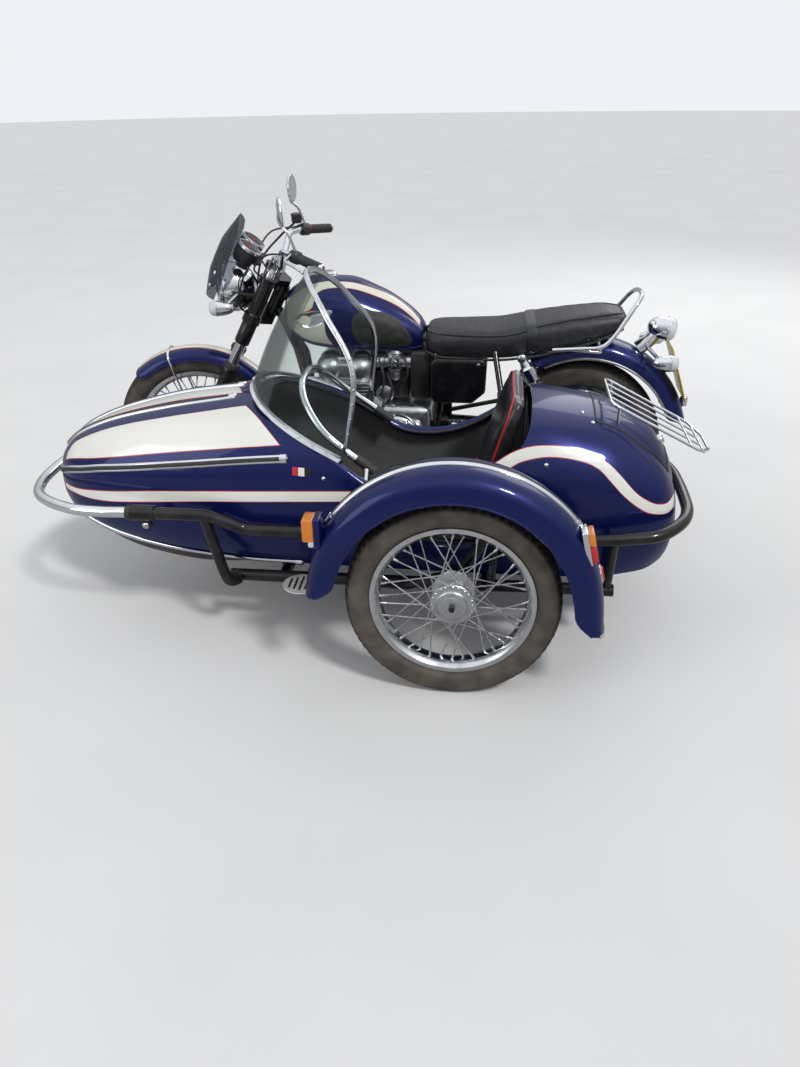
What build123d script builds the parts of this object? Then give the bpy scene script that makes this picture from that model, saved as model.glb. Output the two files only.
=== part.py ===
from build123d import *
import os
from math import atan2, cos, degrees, radians, sin, sqrt

# Sidecar outfit: a parallel-twin roadster with a single-seat sidecar on its left.
# Millimetres. While the pieces are made, X = 0 is the rear axle, Y = 0 the motorcycle's
# centre plane and Z = 0 the ground; +X is forward and +Y is the sidecar's side.
# Each piece is moved by ORIGIN_X, ORIGIN_Y as it is written, so that the row's origin
# is on the ground under the middle of the whole outfit's box.
ORIGIN_X = 709.0
ORIGIN_Y = 475.0

# Running gear
WHEELBASE = 1500.0
FRONT_TYRE_R = 331.0
FRONT_TYRE_W = 102.0
FRONT_RIM_R = 254.0
FRONT_RIM_W = 68.0
REAR_TYRE_R = 320.0
REAR_TYRE_W = 130.0
REAR_RIM_R = 231.0
REAR_RIM_W = 88.0
SIDE_TYRE_R = 304.0
SIDE_TYRE_W = 92.0
SIDE_RIM_R = 233.5
SIDE_RIM_W = 62.0
SIDE_WHEEL_LEAD = 415.0
TRACK = 1205.0
SPOKE_R = 2.2
SPOKE_COUNT = 36

# Steering, turned a little to the left as the outfit is parked
RAKE = 28.0
TRAIL = 110.0
PARKED_TURN = 8.0
PARKED_LIFT = 0.2
FORK_HALF_SPREAD = 97.0
AXIS_FOOT_X = WHEELBASE + TRAIL
STEER_UP = (-sin(radians(RAKE)), 0.0, cos(radians(RAKE)))
STEER_AXIS = Axis((AXIS_FOOT_X, 0, 0), STEER_UP)

# Sidecar hull
HULL_Y = 700.0
HULL_WALL = 6.0
HULL_TAIL_X = -235.0
BULKHEAD_X = 205.0
COCKPIT_REAR_X = 205.0
COAMING_LIP = 34.0
LID_HALF_W = 130.0
LID_FRONT_X = 20.0
LID_GAP = 5.0
HINGE_R = 4.0

ROOT_NODES = {}
STEERING_NODES = {}


def rod(start, end, radius):
    """A straight round bar between two points."""
    a = Vector(*start)
    b = Vector(*end)
    place = Plane(origin=a, z_dir=b - a)
    return place * Cylinder(radius, (b - a).length, align=(Align.CENTER, Align.CENTER, Align.MIN))


def tube(points, radius, bend):
    """A round tube along straight runs joined by tangent arcs of one bend radius."""
    path = FilletPolyline(*points, radius=bend)
    start = Plane(origin=path @ 0, z_dir=path % 0)
    return sweep(start * Circle(radius), path=path)


def joined(*pieces):
    """One solid out of pieces that overlap."""
    first = pieces[0]
    return first.fuse(*pieces[1:]).clean() if len(pieces) > 1 else first


def largest(piece):
    """The biggest solid of a cut piece, without the slivers a cut leaves."""
    return piece.solids().sort_by(SortBy.VOLUME)[-1]


def block(x0, x1, y0, y1, z0, z1, edge=0.0):
    """A box between limits, with its long edges rounded by edge."""
    size = (x1 - x0, y1 - y0, z1 - z0)
    box = Pos((x0 + x1) / 2, (y0 + y1) / 2, (z0 + z1) / 2) * Box(*size)
    return fillet(box.edges(), edge) if edge else box


def turned(profile_points, centre):
    """A ring turned about a wheel's axle; profile points are (radius, offset along Y)."""
    outline = Polyline(*[(r, y, 0) for r, y in profile_points], close=True)
    ring = revolve(make_face(outline), axis=Axis.Y)
    return Pos(*centre) * ring


# Wheels
def tyre(centre, radius, width, rim_radius, rim_width):
    """A road tyre: round tread, full sidewalls, seated between its rim's lips."""
    half = width / 2
    bead = rim_width / 2 - 4.5
    outline = [
        (rim_radius - 13.5, -bead),
        (rim_radius + 1, -bead),
        (rim_radius + 7, -half * 0.84),
        (radius - 0.42 * (radius - rim_radius), -half),
        (radius - 0.20 * (radius - rim_radius), -half * 0.9),
        (radius - 0.05 * (radius - rim_radius), -half * 0.55),
        (radius, -half * 0.18),
    ]
    outline = outline + [(r, -y) for r, y in reversed(outline)]
    return turned(outline, centre)


def wheel(centre, rim_radius, rim_width, hub_radius, hub_half, disc_radius=0.0, disc_y=0.0):
    """Rim, spokes and hub as one piece, with a brake disc where there is one."""
    half = rim_width / 2
    lip = rim_radius
    bed = rim_radius - 16
    well = rim_radius - 30
    rim = turned(
        [
            (bed, -half), (lip, -half), (lip, -half + 3), (bed + 2, -half + 4),
            (well + 4, -half * 0.35), (well + 4, half * 0.35),
            (bed + 2, half - 4), (lip, half - 3), (lip, half), (bed, half),
            (well, half * 0.45), (well, -half * 0.45),
        ],
        (0, 0, 0),
    )
    flange = hub_radius
    barrel = hub_radius * 0.62
    hub = turned(
        [
            (9, -hub_half), (barrel * 0.7, -hub_half), (flange, -hub_half + 6),
            (flange, -hub_half + 12), (barrel, -hub_half + 18),
            (barrel, hub_half - 18), (flange, hub_half - 12),
            (flange, hub_half - 6), (barrel * 0.7, hub_half), (9, hub_half),
        ],
        (0, 0, 0),
    )
    spokes = []
    for i in range(SPOKE_COUNT):
        side = 1 if i % 2 else -1
        lean = 1 if (i // 2) % 2 else -1
        rim_turn = radians(360.0 / SPOKE_COUNT * i)
        hub_turn = rim_turn + lean * radians(38)
        r_hub = flange - 5
        r_rim = well + 2
        foot = (r_hub * cos(hub_turn), side * (hub_half - 9), r_hub * sin(hub_turn))
        head = (r_rim * cos(rim_turn), side * 6, r_rim * sin(rim_turn))
        spokes.append(rod(foot, head, SPOKE_R))
    extra = []
    if disc_radius:
        disc = turned(
            [
                (disc_radius * 0.62, disc_y - 2.5), (disc_radius, disc_y - 2.5),
                (disc_radius, disc_y + 2.5), (disc_radius * 0.62, disc_y + 2.5),
            ],
            (0, 0, 0),
        )
        reach = disc_y / abs(disc_y)
        inner = (hub_half - 10) * reach
        carrier = turned(
            [
                (barrel * 0.6, inner), (disc_radius * 0.66, disc_y - 2.4 * reach),
                (disc_radius * 0.66, disc_y + 2.4 * reach), (barrel * 0.6, inner + 8 * reach),
            ],
            (0, 0, 0),
        )
        extra = [disc, carrier]
    return Pos(*centre) * joined(rim, hub, *spokes, *extra)


FRONT_AXLE = (WHEELBASE, 0, FRONT_TYRE_R + PARKED_LIFT)
REAR_AXLE = (0, 0, REAR_TYRE_R)
SIDE_AXLE = (SIDE_WHEEL_LEAD, TRACK, SIDE_TYRE_R)

front_tyre = tyre(FRONT_AXLE, FRONT_TYRE_R, FRONT_TYRE_W, FRONT_RIM_R, FRONT_RIM_W)
front_wheel = wheel(FRONT_AXLE, FRONT_RIM_R, FRONT_RIM_W, 48, 46, 155, -58)
rear_tyre = tyre(REAR_AXLE, REAR_TYRE_R, REAR_TYRE_W, REAR_RIM_R, REAR_RIM_W)
rear_wheel = wheel(REAR_AXLE, REAR_RIM_R, REAR_RIM_W, 62, 58, 127, -72)
sidecar_tyre = tyre(SIDE_AXLE, SIDE_TYRE_R, SIDE_TYRE_W, SIDE_RIM_R, SIDE_RIM_W)
sidecar_wheel = wheel(SIDE_AXLE, SIDE_RIM_R, SIDE_RIM_W, 70, 52)


# Steering assembly, made with the wheel straight ahead
def along_fork(distance, y=0.0, ahead=0.0):
    """A point on the fork's line, distance up from the axle, ahead across it."""
    x = FRONT_AXLE[0] + distance * STEER_UP[0] + ahead * cos(radians(RAKE))
    z = FRONT_AXLE[2] + distance * STEER_UP[2] + ahead * sin(radians(RAKE))
    return (x, y, z)


FORK_TOP = 735.0
LOWER_YOKE = 545.0
UPPER_YOKE = 700.0
STEM_SETBACK = TRAIL * cos(radians(RAKE)) - FRONT_TYRE_R * sin(radians(RAKE))
ACROSS_FORK = (cos(radians(RAKE)), 0.0, sin(radians(RAKE)))

fork_sides = []
for side in (-1, 1):
    y = side * FORK_HALF_SPREAD
    slider = rod(along_fork(-18, y), along_fork(330, y), 28)
    stanchion = rod(along_fork(320, y), along_fork(FORK_TOP, y), 20.5)
    shroud = rod(along_fork(372, y), along_fork(LOWER_YOKE - 16, y), 29)
    collar = rod(along_fork(326, y), along_fork(372, y), 33)
    lug = rod((WHEELBASE, y - side * 30, FRONT_AXLE[2]), (WHEELBASE, y + side * 26, FRONT_AXLE[2]), 17)
    fork_sides.append(joined(slider, stanchion, shroud, collar, lug))
axle_bar = rod((WHEELBASE, -128, FRONT_AXLE[2]), (WHEELBASE, 128, FRONT_AXLE[2]), 8.5)
caliper = block(1376, 1436, -122, -52, 395, 470, 8)
caliper_slot = block(1360, 1452, -66, -50, 350, 500)
front_fork = joined(fork_sides[0], fork_sides[1], axle_bar, caliper - caliper_slot)
STEERING_NODES["front_fork"] = front_fork

yoke_parts = []
for height, depth in ((LOWER_YOKE, 32), (UPPER_YOKE, 24)):
    for side in (-1, 1):
        y = side * FORK_HALF_SPREAD
        yoke_parts.append(rod(along_fork(height - depth / 2, y), along_fork(height + depth / 2, y), 34))
    middle = Plane(origin=along_fork(height, 0, -31), x_dir=ACROSS_FORK, z_dir=STEER_UP)
    plan = Polyline((53, -97), (53, 97), (15, 97), (-47, 22), (-47, -22), (15, -97), close=True)
    yoke_parts.append(middle * Pos(0, 0, -depth / 2) * extrude(make_face(plan), amount=depth))
stem = rod(along_fork(LOWER_YOKE, 0, STEM_SETBACK), along_fork(UPPER_YOKE, 0, STEM_SETBACK), 15)
yokes = joined(stem, *yoke_parts)
fork_holes = [rod(along_fork(0, s * FORK_HALF_SPREAD), along_fork(900, s * FORK_HALF_SPREAD), 20.6) for s in (-1, 1)]
yokes = yokes - fork_holes[0] - fork_holes[1]
STEERING_NODES["fork_yokes"] = yokes

BAR_CLAMP = (1128.0, 42.0, 985.0)
BAR_R = 11.1
bar_half = [
    (BAR_CLAMP[0], 0, BAR_CLAMP[2]),
    (BAR_CLAMP[0], 66, BAR_CLAMP[2]),
    (1106, 150, 1064),
    (1068, 200, 1064),
    (962, 305, 1044),
]
bar_route = [(x, -y, z) for x, y, z in reversed(bar_half[1:])] + bar_half[1:]
handlebar = tube(bar_route, BAR_R, 30)
risers = []
for side in (-1, 1):
    y = side * BAR_CLAMP[1]
    foot = along_fork(UPPER_YOKE + 8, y, -18)
    risers.append(rod(foot, (BAR_CLAMP[0], y, BAR_CLAMP[2]), 15))
    risers.append(rod((BAR_CLAMP[0], y - 13, BAR_CLAMP[2]), (BAR_CLAMP[0], y + 13, BAR_CLAMP[2]), 19))
handlebar = largest(joined(handlebar, *risers) - yokes)
STEERING_NODES["handlebar"] = handlebar

# Grips run along the bar's last straight; levers, switches and the brake reservoir sit inboard
GRIP_IN = Vector(1068, 200, 1064)
GRIP_OUT = Vector(962, 305, 1044)
grip_way = (GRIP_OUT - GRIP_IN).normalized()


def on_grip(distance, side, across=(0, 0, 0)):
    """A point along one grip, distance from its inner end, moved by across."""
    p = GRIP_IN + grip_way * distance
    return (p.X + across[0], side * (p.Y + across[1]), p.Z + across[2])


controls = []
for side in (-1, 1):
    grip = rod(on_grip(40, side), on_grip(152, side), 17)
    housing = rod(on_grip(4, side), on_grip(40, side), 23)
    lever = tube(
        [on_grip(20, side, (20, 12, 6)), on_grip(50, side, (52, 36, 4)), on_grip(142, side, (50, 36, -8))],
        5.5,
        12,
    )
    perch = rod(on_grip(22, side, (8, 6, 0)), on_grip(20, side, (26, 18, 6)), 9)
    set_of_parts = [housing, grip, perch, lever]
    if side < 0:
        reservoir = Pos(*on_grip(10, side, (22, 14, 40))) * Cylinder(20, 34)
        set_of_parts.append(reservoir)
        set_of_parts.append(rod(on_grip(14, side, (8, 6, 8)), on_grip(10, side, (20, 14, 34)), 10))
    bar_space = rod(on_grip(-20, side), on_grip(170, side), BAR_R + 0.1)
    controls.append(largest(joined(*set_of_parts) - bar_space - handlebar))
STEERING_NODES["hand_controls"] = Compound(children=controls)

mirror_pair = []
MIRROR_R = 50.0
for side in (-1, 1):
    root_point = on_grip(24, side, (0, 0, 20))
    head = (1096, side * 220, 1212)
    stalk = tube(
        [root_point, (root_point[0] + 22, root_point[1], root_point[2] + 60), (head[0] + 4, head[1] - side * 18, head[2] - 40), head],
        5,
        22,
    )
    face = Plane(origin=head, z_dir=(-1, -side * 0.20, 0.06))
    shell = face * Pos(0, 0, -2) * Cylinder(MIRROR_R, 14)
    mirror_pair.append(joined(stalk, shell))
mirror_pair = [largest(mirror - controls[0] - controls[1]) for mirror in mirror_pair]
STEERING_NODES["mirrors"] = Compound(children=mirror_pair)

HEADLIGHT = (1318.0, 0.0, 905.0)
LAMP_R = 92.0
bucket = Pos(*HEADLIGHT) * Sphere(LAMP_R)
front_cut = Pos(HEADLIGHT[0] + 40 + 200, 0, HEADLIGHT[2]) * Box(400, 400, 400)
rim_ring = Pos(HEADLIGHT[0] + 34, 0, HEADLIGHT[2]) * Rot(0, 90, 0) * Cylinder(96, 20)
lens = Pos(HEADLIGHT[0] + 46, 0, HEADLIGHT[2]) * Rot(0, 90, 0) * Cylinder(84, 12)
headlight = joined(bucket - front_cut, rim_ring, lens)
STEERING_NODES["headlight"] = headlight

# Two ears hold the lamp to the fork, and carry the front indicators
ears = []
for side in (-1, 1):
    y = side * FORK_HALF_SPREAD
    sleeve = rod(along_fork(566, y), along_fork(686, y), 27)
    arm = rod(along_fork(628, y, 20), (HEADLIGHT[0], side * 90, HEADLIGHT[2]), 9)
    ears.append(joined(sleeve, arm) - rod(along_fork(500, y), along_fork(760, y), 20.6))
ears_cut = Pos(*HEADLIGHT) * Sphere(LAMP_R + 0.2)
STEERING_NODES["lamp_brackets"] = Compound(children=[ears[0] - ears_cut, ears[1] - ears_cut])

BULLET_R = 29.0
BULLET_LENGTH = 90.0
indicator_rows = []
for side, ear in zip((-1, 1), ears):
    hub_point = (1334, side * 172, 874)
    stalk = rod((1290, side * 101.4, 902), hub_point, 6)
    bullet = Pos(*hub_point) * Rot(0, 90, 0) * Cylinder(BULLET_R, BULLET_LENGTH)
    indicator_rows.append(largest(joined(stalk, bullet) - ear))
STEERING_NODES["front_indicators"] = Compound(children=indicator_rows)

DIAL_R = 46.0
DIAL_TILT = 52.0
dials = []
for side in (-1, 1):
    place = Plane(origin=(1244, side * 58, 1045), z_dir=(-cos(radians(DIAL_TILT)), 0, sin(radians(DIAL_TILT))))
    cup = place * Pos(0, 0, -10) * Cylinder(DIAL_R, 70)
    dials.append(cup)
dial_bar = Pos(1212, 0, 1004) * Box(26, 150, 12)
dial_foot = rod((1212, 0, 1004), along_fork(UPPER_YOKE + 12.2, 0, -24), 10)
instruments = joined(dials[0], dials[1], dial_bar, dial_foot)
instruments = largest(instruments - yokes - headlight)
STEERING_NODES["instruments"] = instruments

# Fly screen: a thin smoked sheet, bowed across and raked back, on two stays
SCREEN_FOOT_X = 1418.0
SCREEN_TOP_X = 1262.0
screen_sections = []
# columns: x of the middle, z, half width, how far the sides sweep back
for mid_x, z, half_w, sweep_back in (
    (SCREEN_FOOT_X, 890, 118, 42),
    (1382, 985, 150, 70),
    (1328, 1085, 128, 58),
    (SCREEN_TOP_X, 1166, 62, 16),
):
    outer = ThreePointArc((mid_x - sweep_back, -half_w, z), (mid_x, 0, z), (mid_x - sweep_back, half_w, z))
    inner = ThreePointArc((mid_x - sweep_back - 4, half_w, z), (mid_x - 4, 0, z), (mid_x - sweep_back - 4, -half_w, z))
    ends = [
        Line((mid_x - sweep_back, half_w, z), (mid_x - sweep_back - 4, half_w, z)),
        Line((mid_x - sweep_back - 4, -half_w, z), (mid_x - sweep_back, -half_w, z)),
    ]
    screen_sections.append(make_face(outer + ends[0] + inner + ends[1]))
fly_screen = loft(screen_sections)
STEERING_NODES["fly_screen"] = fly_screen

# Front mudguard: a curved strip over the tyre, with two stays to the fork
def guard(centre, crown_r, edge_r, half_w, start, end, wall):
    """A mudguard swept round a wheel between two angles, measured up from straight ahead."""
    outer = [(edge_r, -half_w), (crown_r - 12, -half_w * 0.93), (crown_r - 2, -half_w * 0.5), (crown_r, 0)]
    outer = outer + [(r, -y) for r, y in reversed(outer[:-1])]
    inner = [(r - wall, y * (half_w - wall) / half_w) for r, y in outer]
    inner[0] = (edge_r, inner[0][1])
    inner[-1] = (edge_r, inner[-1][1])
    outline = outer + list(reversed(inner))
    face = make_face(Polyline(*[(r, y, 0) for r, y in outline], close=True))
    part = revolve(face, axis=Axis.Y, revolution_arc=end - start)
    return Pos(*centre) * Rot(0, -start, 0) * part.rotate(Axis.Y, -(end - start))


FRONT_GUARD = dict(crown_r=347, edge_r=305, half_w=62, start=48, end=150, wall=2.5)
front_guard = guard(FRONT_AXLE, **FRONT_GUARD)
stays = []
for side in (-1, 1):
    for turn in (74, 140):
        t = radians(turn)
        top = (WHEELBASE + 322 * cos(t), side * 61, FRONT_AXLE[2] + 322 * sin(t))
        foot = (WHEELBASE + 14 * cos(t), side * 73, FRONT_AXLE[2] + 14 * sin(t))
        stays.append(rod(foot, top, 4))
    stays.append(rod(along_fork(330, side * 57), along_fork(330, side * (FORK_HALF_SPREAD - 26)), 7))
front_mudguard = joined(front_guard, *stays)
front_mudguard = largest(front_mudguard - front_fork)
STEERING_NODES["front_mudguard"] = front_mudguard

# Hydraulic hose from the right-hand reservoir down to the front caliper
hose_route = [
    on_grip(8, -1, (30, 12, 22)),
    (1150, -200, 1040),
    (1225, -165, 960),
    (1262, -142, 820),
    (1330, -140, 640),
    (1410, -134, 530),
    (1408, -118, 474),
]
hose = tube(hose_route, 4, 24)
STEERING_NODES["front_brake_hose"] = largest(hose - front_fork - yokes - controls[0])

FRONT_WHEEL_NODES = {"front_tyre": front_tyre, "front_wheel": front_wheel}

# Motorcycle frame
def neck(distance, ahead=0.0, y=0.0):
    """A point on the steering head's line, measured as along_fork but on the axis itself."""
    return along_fork(distance, y, STEM_SETBACK + ahead)


HEAD_LOW = LOWER_YOKE + 20
HEAD_HIGH = UPPER_YOKE - 16
head_tube = rod(neck(HEAD_LOW), neck(HEAD_HIGH), 27) - rod(neck(HEAD_LOW - 5), neck(HEAD_HIGH + 5), 16)
frame_parts = [head_tube]
spine = tube([neck(650, -20), (980, 0, 862), (640, 0, 742), (600, 0, 730)], 20, 60)
frame_parts.append(spine)
for side in (-1, 1):
    seat_rail = tube([(640, side * 40, 738), (520, side * 112, 722), (260, side * 118, 722), (-40, side * 112, 758)], 13, 60)
    cradle = tube(
        [neck(590, -20, side * 6), (1066, side * 40, 640), (1030, side * 90, 236), (560, side * 105, 222), (505, side * 105, 700)],
        15,
        70,
    )
    stub = rod((505, side * 108, 690), (505, side * 114, 722), 13)
    plate = block(492, 560, side * 105 - 6, side * 105 + 6, 300, 420)
    frame_parts = frame_parts + [seat_rail, cradle, stub, plate]
frame_parts.append(rod((640, -48, 738), (640, 48, 738), 14))
frame_parts.append(rod((505, -105, 610), (505, 105, 610), 13))
frame_parts.append(rod((528, -112, 360), (528, 112, 360), 14))
frame_parts.append(rod((1036, -85, 300), (1036, 85, 300), 12))
frame_parts.append(rod((20, -114, 748), (20, 114, 748), 9))
motorcycle_frame = joined(*frame_parts) - rod(neck(HEAD_LOW - 60), neck(HEAD_HIGH + 60), 16)
motorcycle_frame = largest(motorcycle_frame)
ROOT_NODES["motorcycle_frame"] = motorcycle_frame

# Engine
crankcase = block(590, 985, -150, 150, 245, 430, 28)
gearbox = block(560, 760, -128, 128, 300, 478, 30)
cover_left = Pos(690, 175, 362) * Rot(90, 0, 0) * Cylinder(96, 64)
cover_left_front = Pos(870, 172, 348) * Rot(90, 0, 0) * Cylinder(82, 58)
cover_right = Pos(735, -178, 352) * Rot(90, 0, 0) * Cylinder(106, 66)
cover_right_front = Pos(890, -170, 350) * Rot(90, 0, 0) * Cylinder(78, 52)
engine_cases = joined(crankcase, gearbox, cover_left, cover_left_front, cover_right, cover_right_front)
engine_cases = largest(engine_cases - motorcycle_frame)
ROOT_NODES["engine_cases"] = engine_cases

FIN_PITCH = 13.0
top_parts = [block(812, 962, -128, 128, 428, 640)]
for row in range(8):
    z = 470 + row * FIN_PITCH
    top_parts.append(block(794, 980, -150, 150, z, z + 4))
top_parts.append(block(800, 972, -118, 118, 640, 668))
for x in (828, 944):
    for y in (-78, 78):
        top_parts.append(Pos(x, y, 662) * Cylinder(40, 40))
cylinder_block = largest(joined(*top_parts) - engine_cases - motorcycle_frame)
ROOT_NODES["cylinder_block"] = cylinder_block

carb_parts = []
for side in (-1, 1):
    y = side * 70
    body = rod((700, y, 610), (700, y, 690), 30)
    throat = rod((640, y, 640), (793, y, 640), 24)
    bowl = rod((700, y, 574), (700, y, 612), 26)
    carb_parts = carb_parts + [body, throat, bowl]
carb_parts.append(rod((700, -70, 640), (700, 70, 640), 9))
airbox = block(560, 642, -95, 95, 500, 686, 14)
carb_parts.append(airbox)
carburettors = largest(joined(*carb_parts) - cylinder_block - motorcycle_frame)
ROOT_NODES["carburettors"] = carburettors

exhaust_rows = []
for side in (-1, 1):
    y0 = side * 88
    header = tube(
        [(968, y0, 560), (1074, y0, 560), (1086, side * 128, 330), (1020, side * 176, 222), (640, side * 182, 222), (420, side * 186, 250)],
        19,
        44,
    )
    silencer = rod((430, side * 186, 250), (-120, side * 204, 290), 43)
    tip = rod((-118, side * 204, 289.8), (-168, side * 205.6, 293.5), 30)
    exhaust_rows.append(largest(joined(header, silencer, tip) - engine_cases - cylinder_block))
ROOT_NODES["exhausts"] = Compound(children=exhaust_rows)

# Fuel tank: sections across the bike, each a flat bottom, full sides and a domed top
def crowned_section(x, centre_y, half_bottom, half_wide, half_top, z_bottom, z_wide, z_shoulder, z_top):
    """A closed section at x: flat bottom, bowed flanks, shoulders and an arched top."""
    z_low = z_bottom + 0.35 * (z_wide - z_bottom)
    edges = Line((x, centre_y - half_bottom, z_bottom), (x, centre_y + half_bottom, z_bottom))
    for side in (1, -1):
        flank = ThreePointArc(
            (x, centre_y + side * half_bottom, z_bottom),
            (x, centre_y + side * (half_bottom + 0.72 * (half_wide - half_bottom)), z_low),
            (x, centre_y + side * half_wide, z_wide),
        )
        wide_mid = half_top + 0.76 * (half_wide - half_top)
        shoulder = ThreePointArc(
            (x, centre_y + side * half_wide, z_wide),
            (x, centre_y + side * wide_mid, z_wide + 0.62 * (z_shoulder - z_wide)),
            (x, centre_y + side * half_top, z_shoulder),
        )
        edges = edges + flank + shoulder
    crown = ThreePointArc((x, centre_y - half_top, z_shoulder), (x, centre_y, z_top), (x, centre_y + half_top, z_shoulder))
    return make_face(edges + crown)


TANK_ROWS = (
    # x, half_bottom, half_wide, half_top, z_bottom, z_wide, z_shoulder, z_top
    (1118, 40, 62, 34, 790, 836, 864, 874),
    (1090, 92, 112, 66, 762, 834, 888, 902),
    (1000, 118, 142, 92, 718, 820, 918, 944),
    (880, 114, 140, 88, 702, 796, 910, 942),
    (760, 98, 122, 72, 696, 772, 868, 902),
    (650, 86, 104, 60, 696, 750, 806, 834),
    (592, 72, 86, 50, 704, 736, 764, 778),
)
tank_sections = [crowned_section(row[0], 0, *row[1:]) for row in TANK_ROWS]
fuel_tank = loft(tank_sections)
tank_slot = block(560, 1150, -22, 22, 690, 760)
fuel_tank = largest(fuel_tank - motorcycle_frame - tank_slot - rod(neck(500), neck(800), 36))
ROOT_NODES["fuel_tank"] = fuel_tank

# Dual seat: padded solid, wide and flat, a little raised for the pillion
SEAT_ROWS = (
    # x, half_bottom, half_wide, half_top, z_bottom, z_wide, z_shoulder, z_top
    (598, 90, 100, 62, 714, 742, 766, 776),
    (520, 128, 136, 98, 700, 744, 768, 780),
    (330, 137, 146, 112, 697, 746, 774, 786),
    (205, 135, 146, 114, 708, 760, 794, 805),
    (20, 122, 136, 104, 744, 784, 822, 834),
    (-118, 94, 108, 82, 786, 806, 834, 843),
    (-152, 74, 82, 62, 800, 812, 828, 834),
)
dual_seat = loft([crowned_section(row[0], 0, *row[1:]) for row in SEAT_ROWS])
dual_seat = largest(dual_seat - motorcycle_frame - fuel_tank)
ROOT_NODES["dual_seat"] = dual_seat

panel_rows = []
for side in (-1, 1):
    shape = block(352, 560, min(side * 128, side * 156), max(side * 128, side * 156), 506, 676, 12)
    panel_rows.append(shape)
panel_link = block(480, 530, -129, 129, 640, 660)
side_panels = largest(joined(panel_rows[0], panel_rows[1], panel_link) - motorcycle_frame - carburettors)
ROOT_NODES["side_panels"] = side_panels

# Swinging arm with the rear axle, and its two spring units
arm_parts = [rod((528, -98, 360), (528, 98, 360), 22)]
for side in (-1, 1):
    arm_parts.append(tube([(528, side * 92, 360), (400, side * 96, 352), (0, side * 112, REAR_TYRE_R)], 17, 60))
    arm_parts.append(rod((0, side * 96, REAR_TYRE_R), (0, side * 130, REAR_TYRE_R), 22))
arm_parts.append(rod((0, -146, REAR_TYRE_R), (0, 146, REAR_TYRE_R), 8.5))
caliper_body = block(70, 118, -98, -59, 350, 456, 6)
arm_parts.append(caliper_body - block(60, 130, -79, -65, 340, 446))
arm_parts.append(block(60, 100, -112, -96, 330, 380))
swinging_arm = largest(joined(*arm_parts) - motorcycle_frame)
ROOT_NODES["swinging_arm"] = swinging_arm

shock_rows = []
SHOCK_TOP = (228, 684)
SHOCK_FOOT = (48, 350)
for side in (-1, 1):
    y = side * 150
    way = Vector(SHOCK_TOP[0] - SHOCK_FOOT[0], 0, SHOCK_TOP[1] - SHOCK_FOOT[1])
    foot = Vector(SHOCK_FOOT[0], y, SHOCK_FOOT[1])

    def at(fraction):
        return tuple(foot + way * fraction)

    spring = rod(at(0.16), at(0.78), 27)
    cap = rod(at(0.72), at(0.90), 30)
    shaft = rod(at(0.0), at(1.0), 9)
    low_eye = rod((SHOCK_FOOT[0], side * 129.5, SHOCK_FOOT[1]), (SHOCK_FOOT[0], side * 166, SHOCK_FOOT[1]), 16)
    top_eye = rod((SHOCK_TOP[0], side * 131, SHOCK_TOP[1]), (SHOCK_TOP[0], side * 166, SHOCK_TOP[1]), 16)
    shock_rows.append(joined(spring, cap, shaft, low_eye, top_eye))
ROOT_NODES["rear_shocks"] = Compound(children=shock_rows)

# Rear chain on the left-hand side: its outline as one flat loop that runs into the engine's cover
CHAIN_Y = 76.0
chain_outer = make_hull(
    (Pos(0, REAR_TYRE_R) * Circle(88)).edges() + (Pos(618, 372) * Circle(42)).edges()
)
chain_inner = make_hull(
    (Pos(0, REAR_TYRE_R) * Circle(78)).edges() + (Pos(618, 372) * Circle(32)).edges()
)
chain_face = chain_outer - chain_inner
drive_chain = Pos(0, CHAIN_Y, 0) * extrude(Plane.XZ * chain_face, amount=5, both=True)
ROOT_NODES["drive_chain"] = largest(drive_chain - engine_cases - swinging_arm)

# Rear mudguard, tail lamp, indicators, number plate, grab rail
REAR_GUARD_MIDDLE = (-12.0, 0.0, 332.0)
REAR_GUARD = dict(crown_r=402, edge_r=332, half_w=86, start=58, end=165, wall=2.5)
rear_guard = guard(REAR_GUARD_MIDDLE, **REAR_GUARD)
guard_stays = []
for side in (-1, 1):
    guard_stays.append(rod((-40, side * 99.8, 752), (-60, side * 80, 690), 7))
    guard_stays.append(tube([(200, side * 120, 700), (60, side * 96, 700), (-60, side * 82, 690)], 6, 30))
rear_mudguard = largest(joined(rear_guard, *guard_stays) - motorcycle_frame - swinging_arm)
ROOT_NODES["rear_mudguard"] = rear_mudguard

TAIL = (-279.0, 0.0, 764.0)
lamp_shell = Pos(*TAIL) * Rot(0, 80, 0) * Cylinder(46, 100)
lamp_neck = rod((-262, 0, 740), (-196, 0, 672), 26)
tail_lamp = joined(lamp_shell, lamp_neck) - (Pos(*REAR_GUARD_MIDDLE) * Rot(90, 0, 0) * Cylinder(REAR_GUARD["crown_r"] + 0.6, 300))
ROOT_NODES["tail_lamp"] = tail_lamp

rear_blinkers = []
for side in (-1, 1):
    stalk = rod((-236, side * 12, 694), (-262, side * 170, 684), 6)
    bullet = Pos(-275, side * 175, 682) * Rot(0, 90, 0) * Cylinder(BULLET_R, BULLET_LENGTH)
    rear_blinkers.append(largest(joined(stalk, bullet) - tail_lamp))
ROOT_NODES["rear_indicators"] = Compound(children=rear_blinkers)

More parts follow.
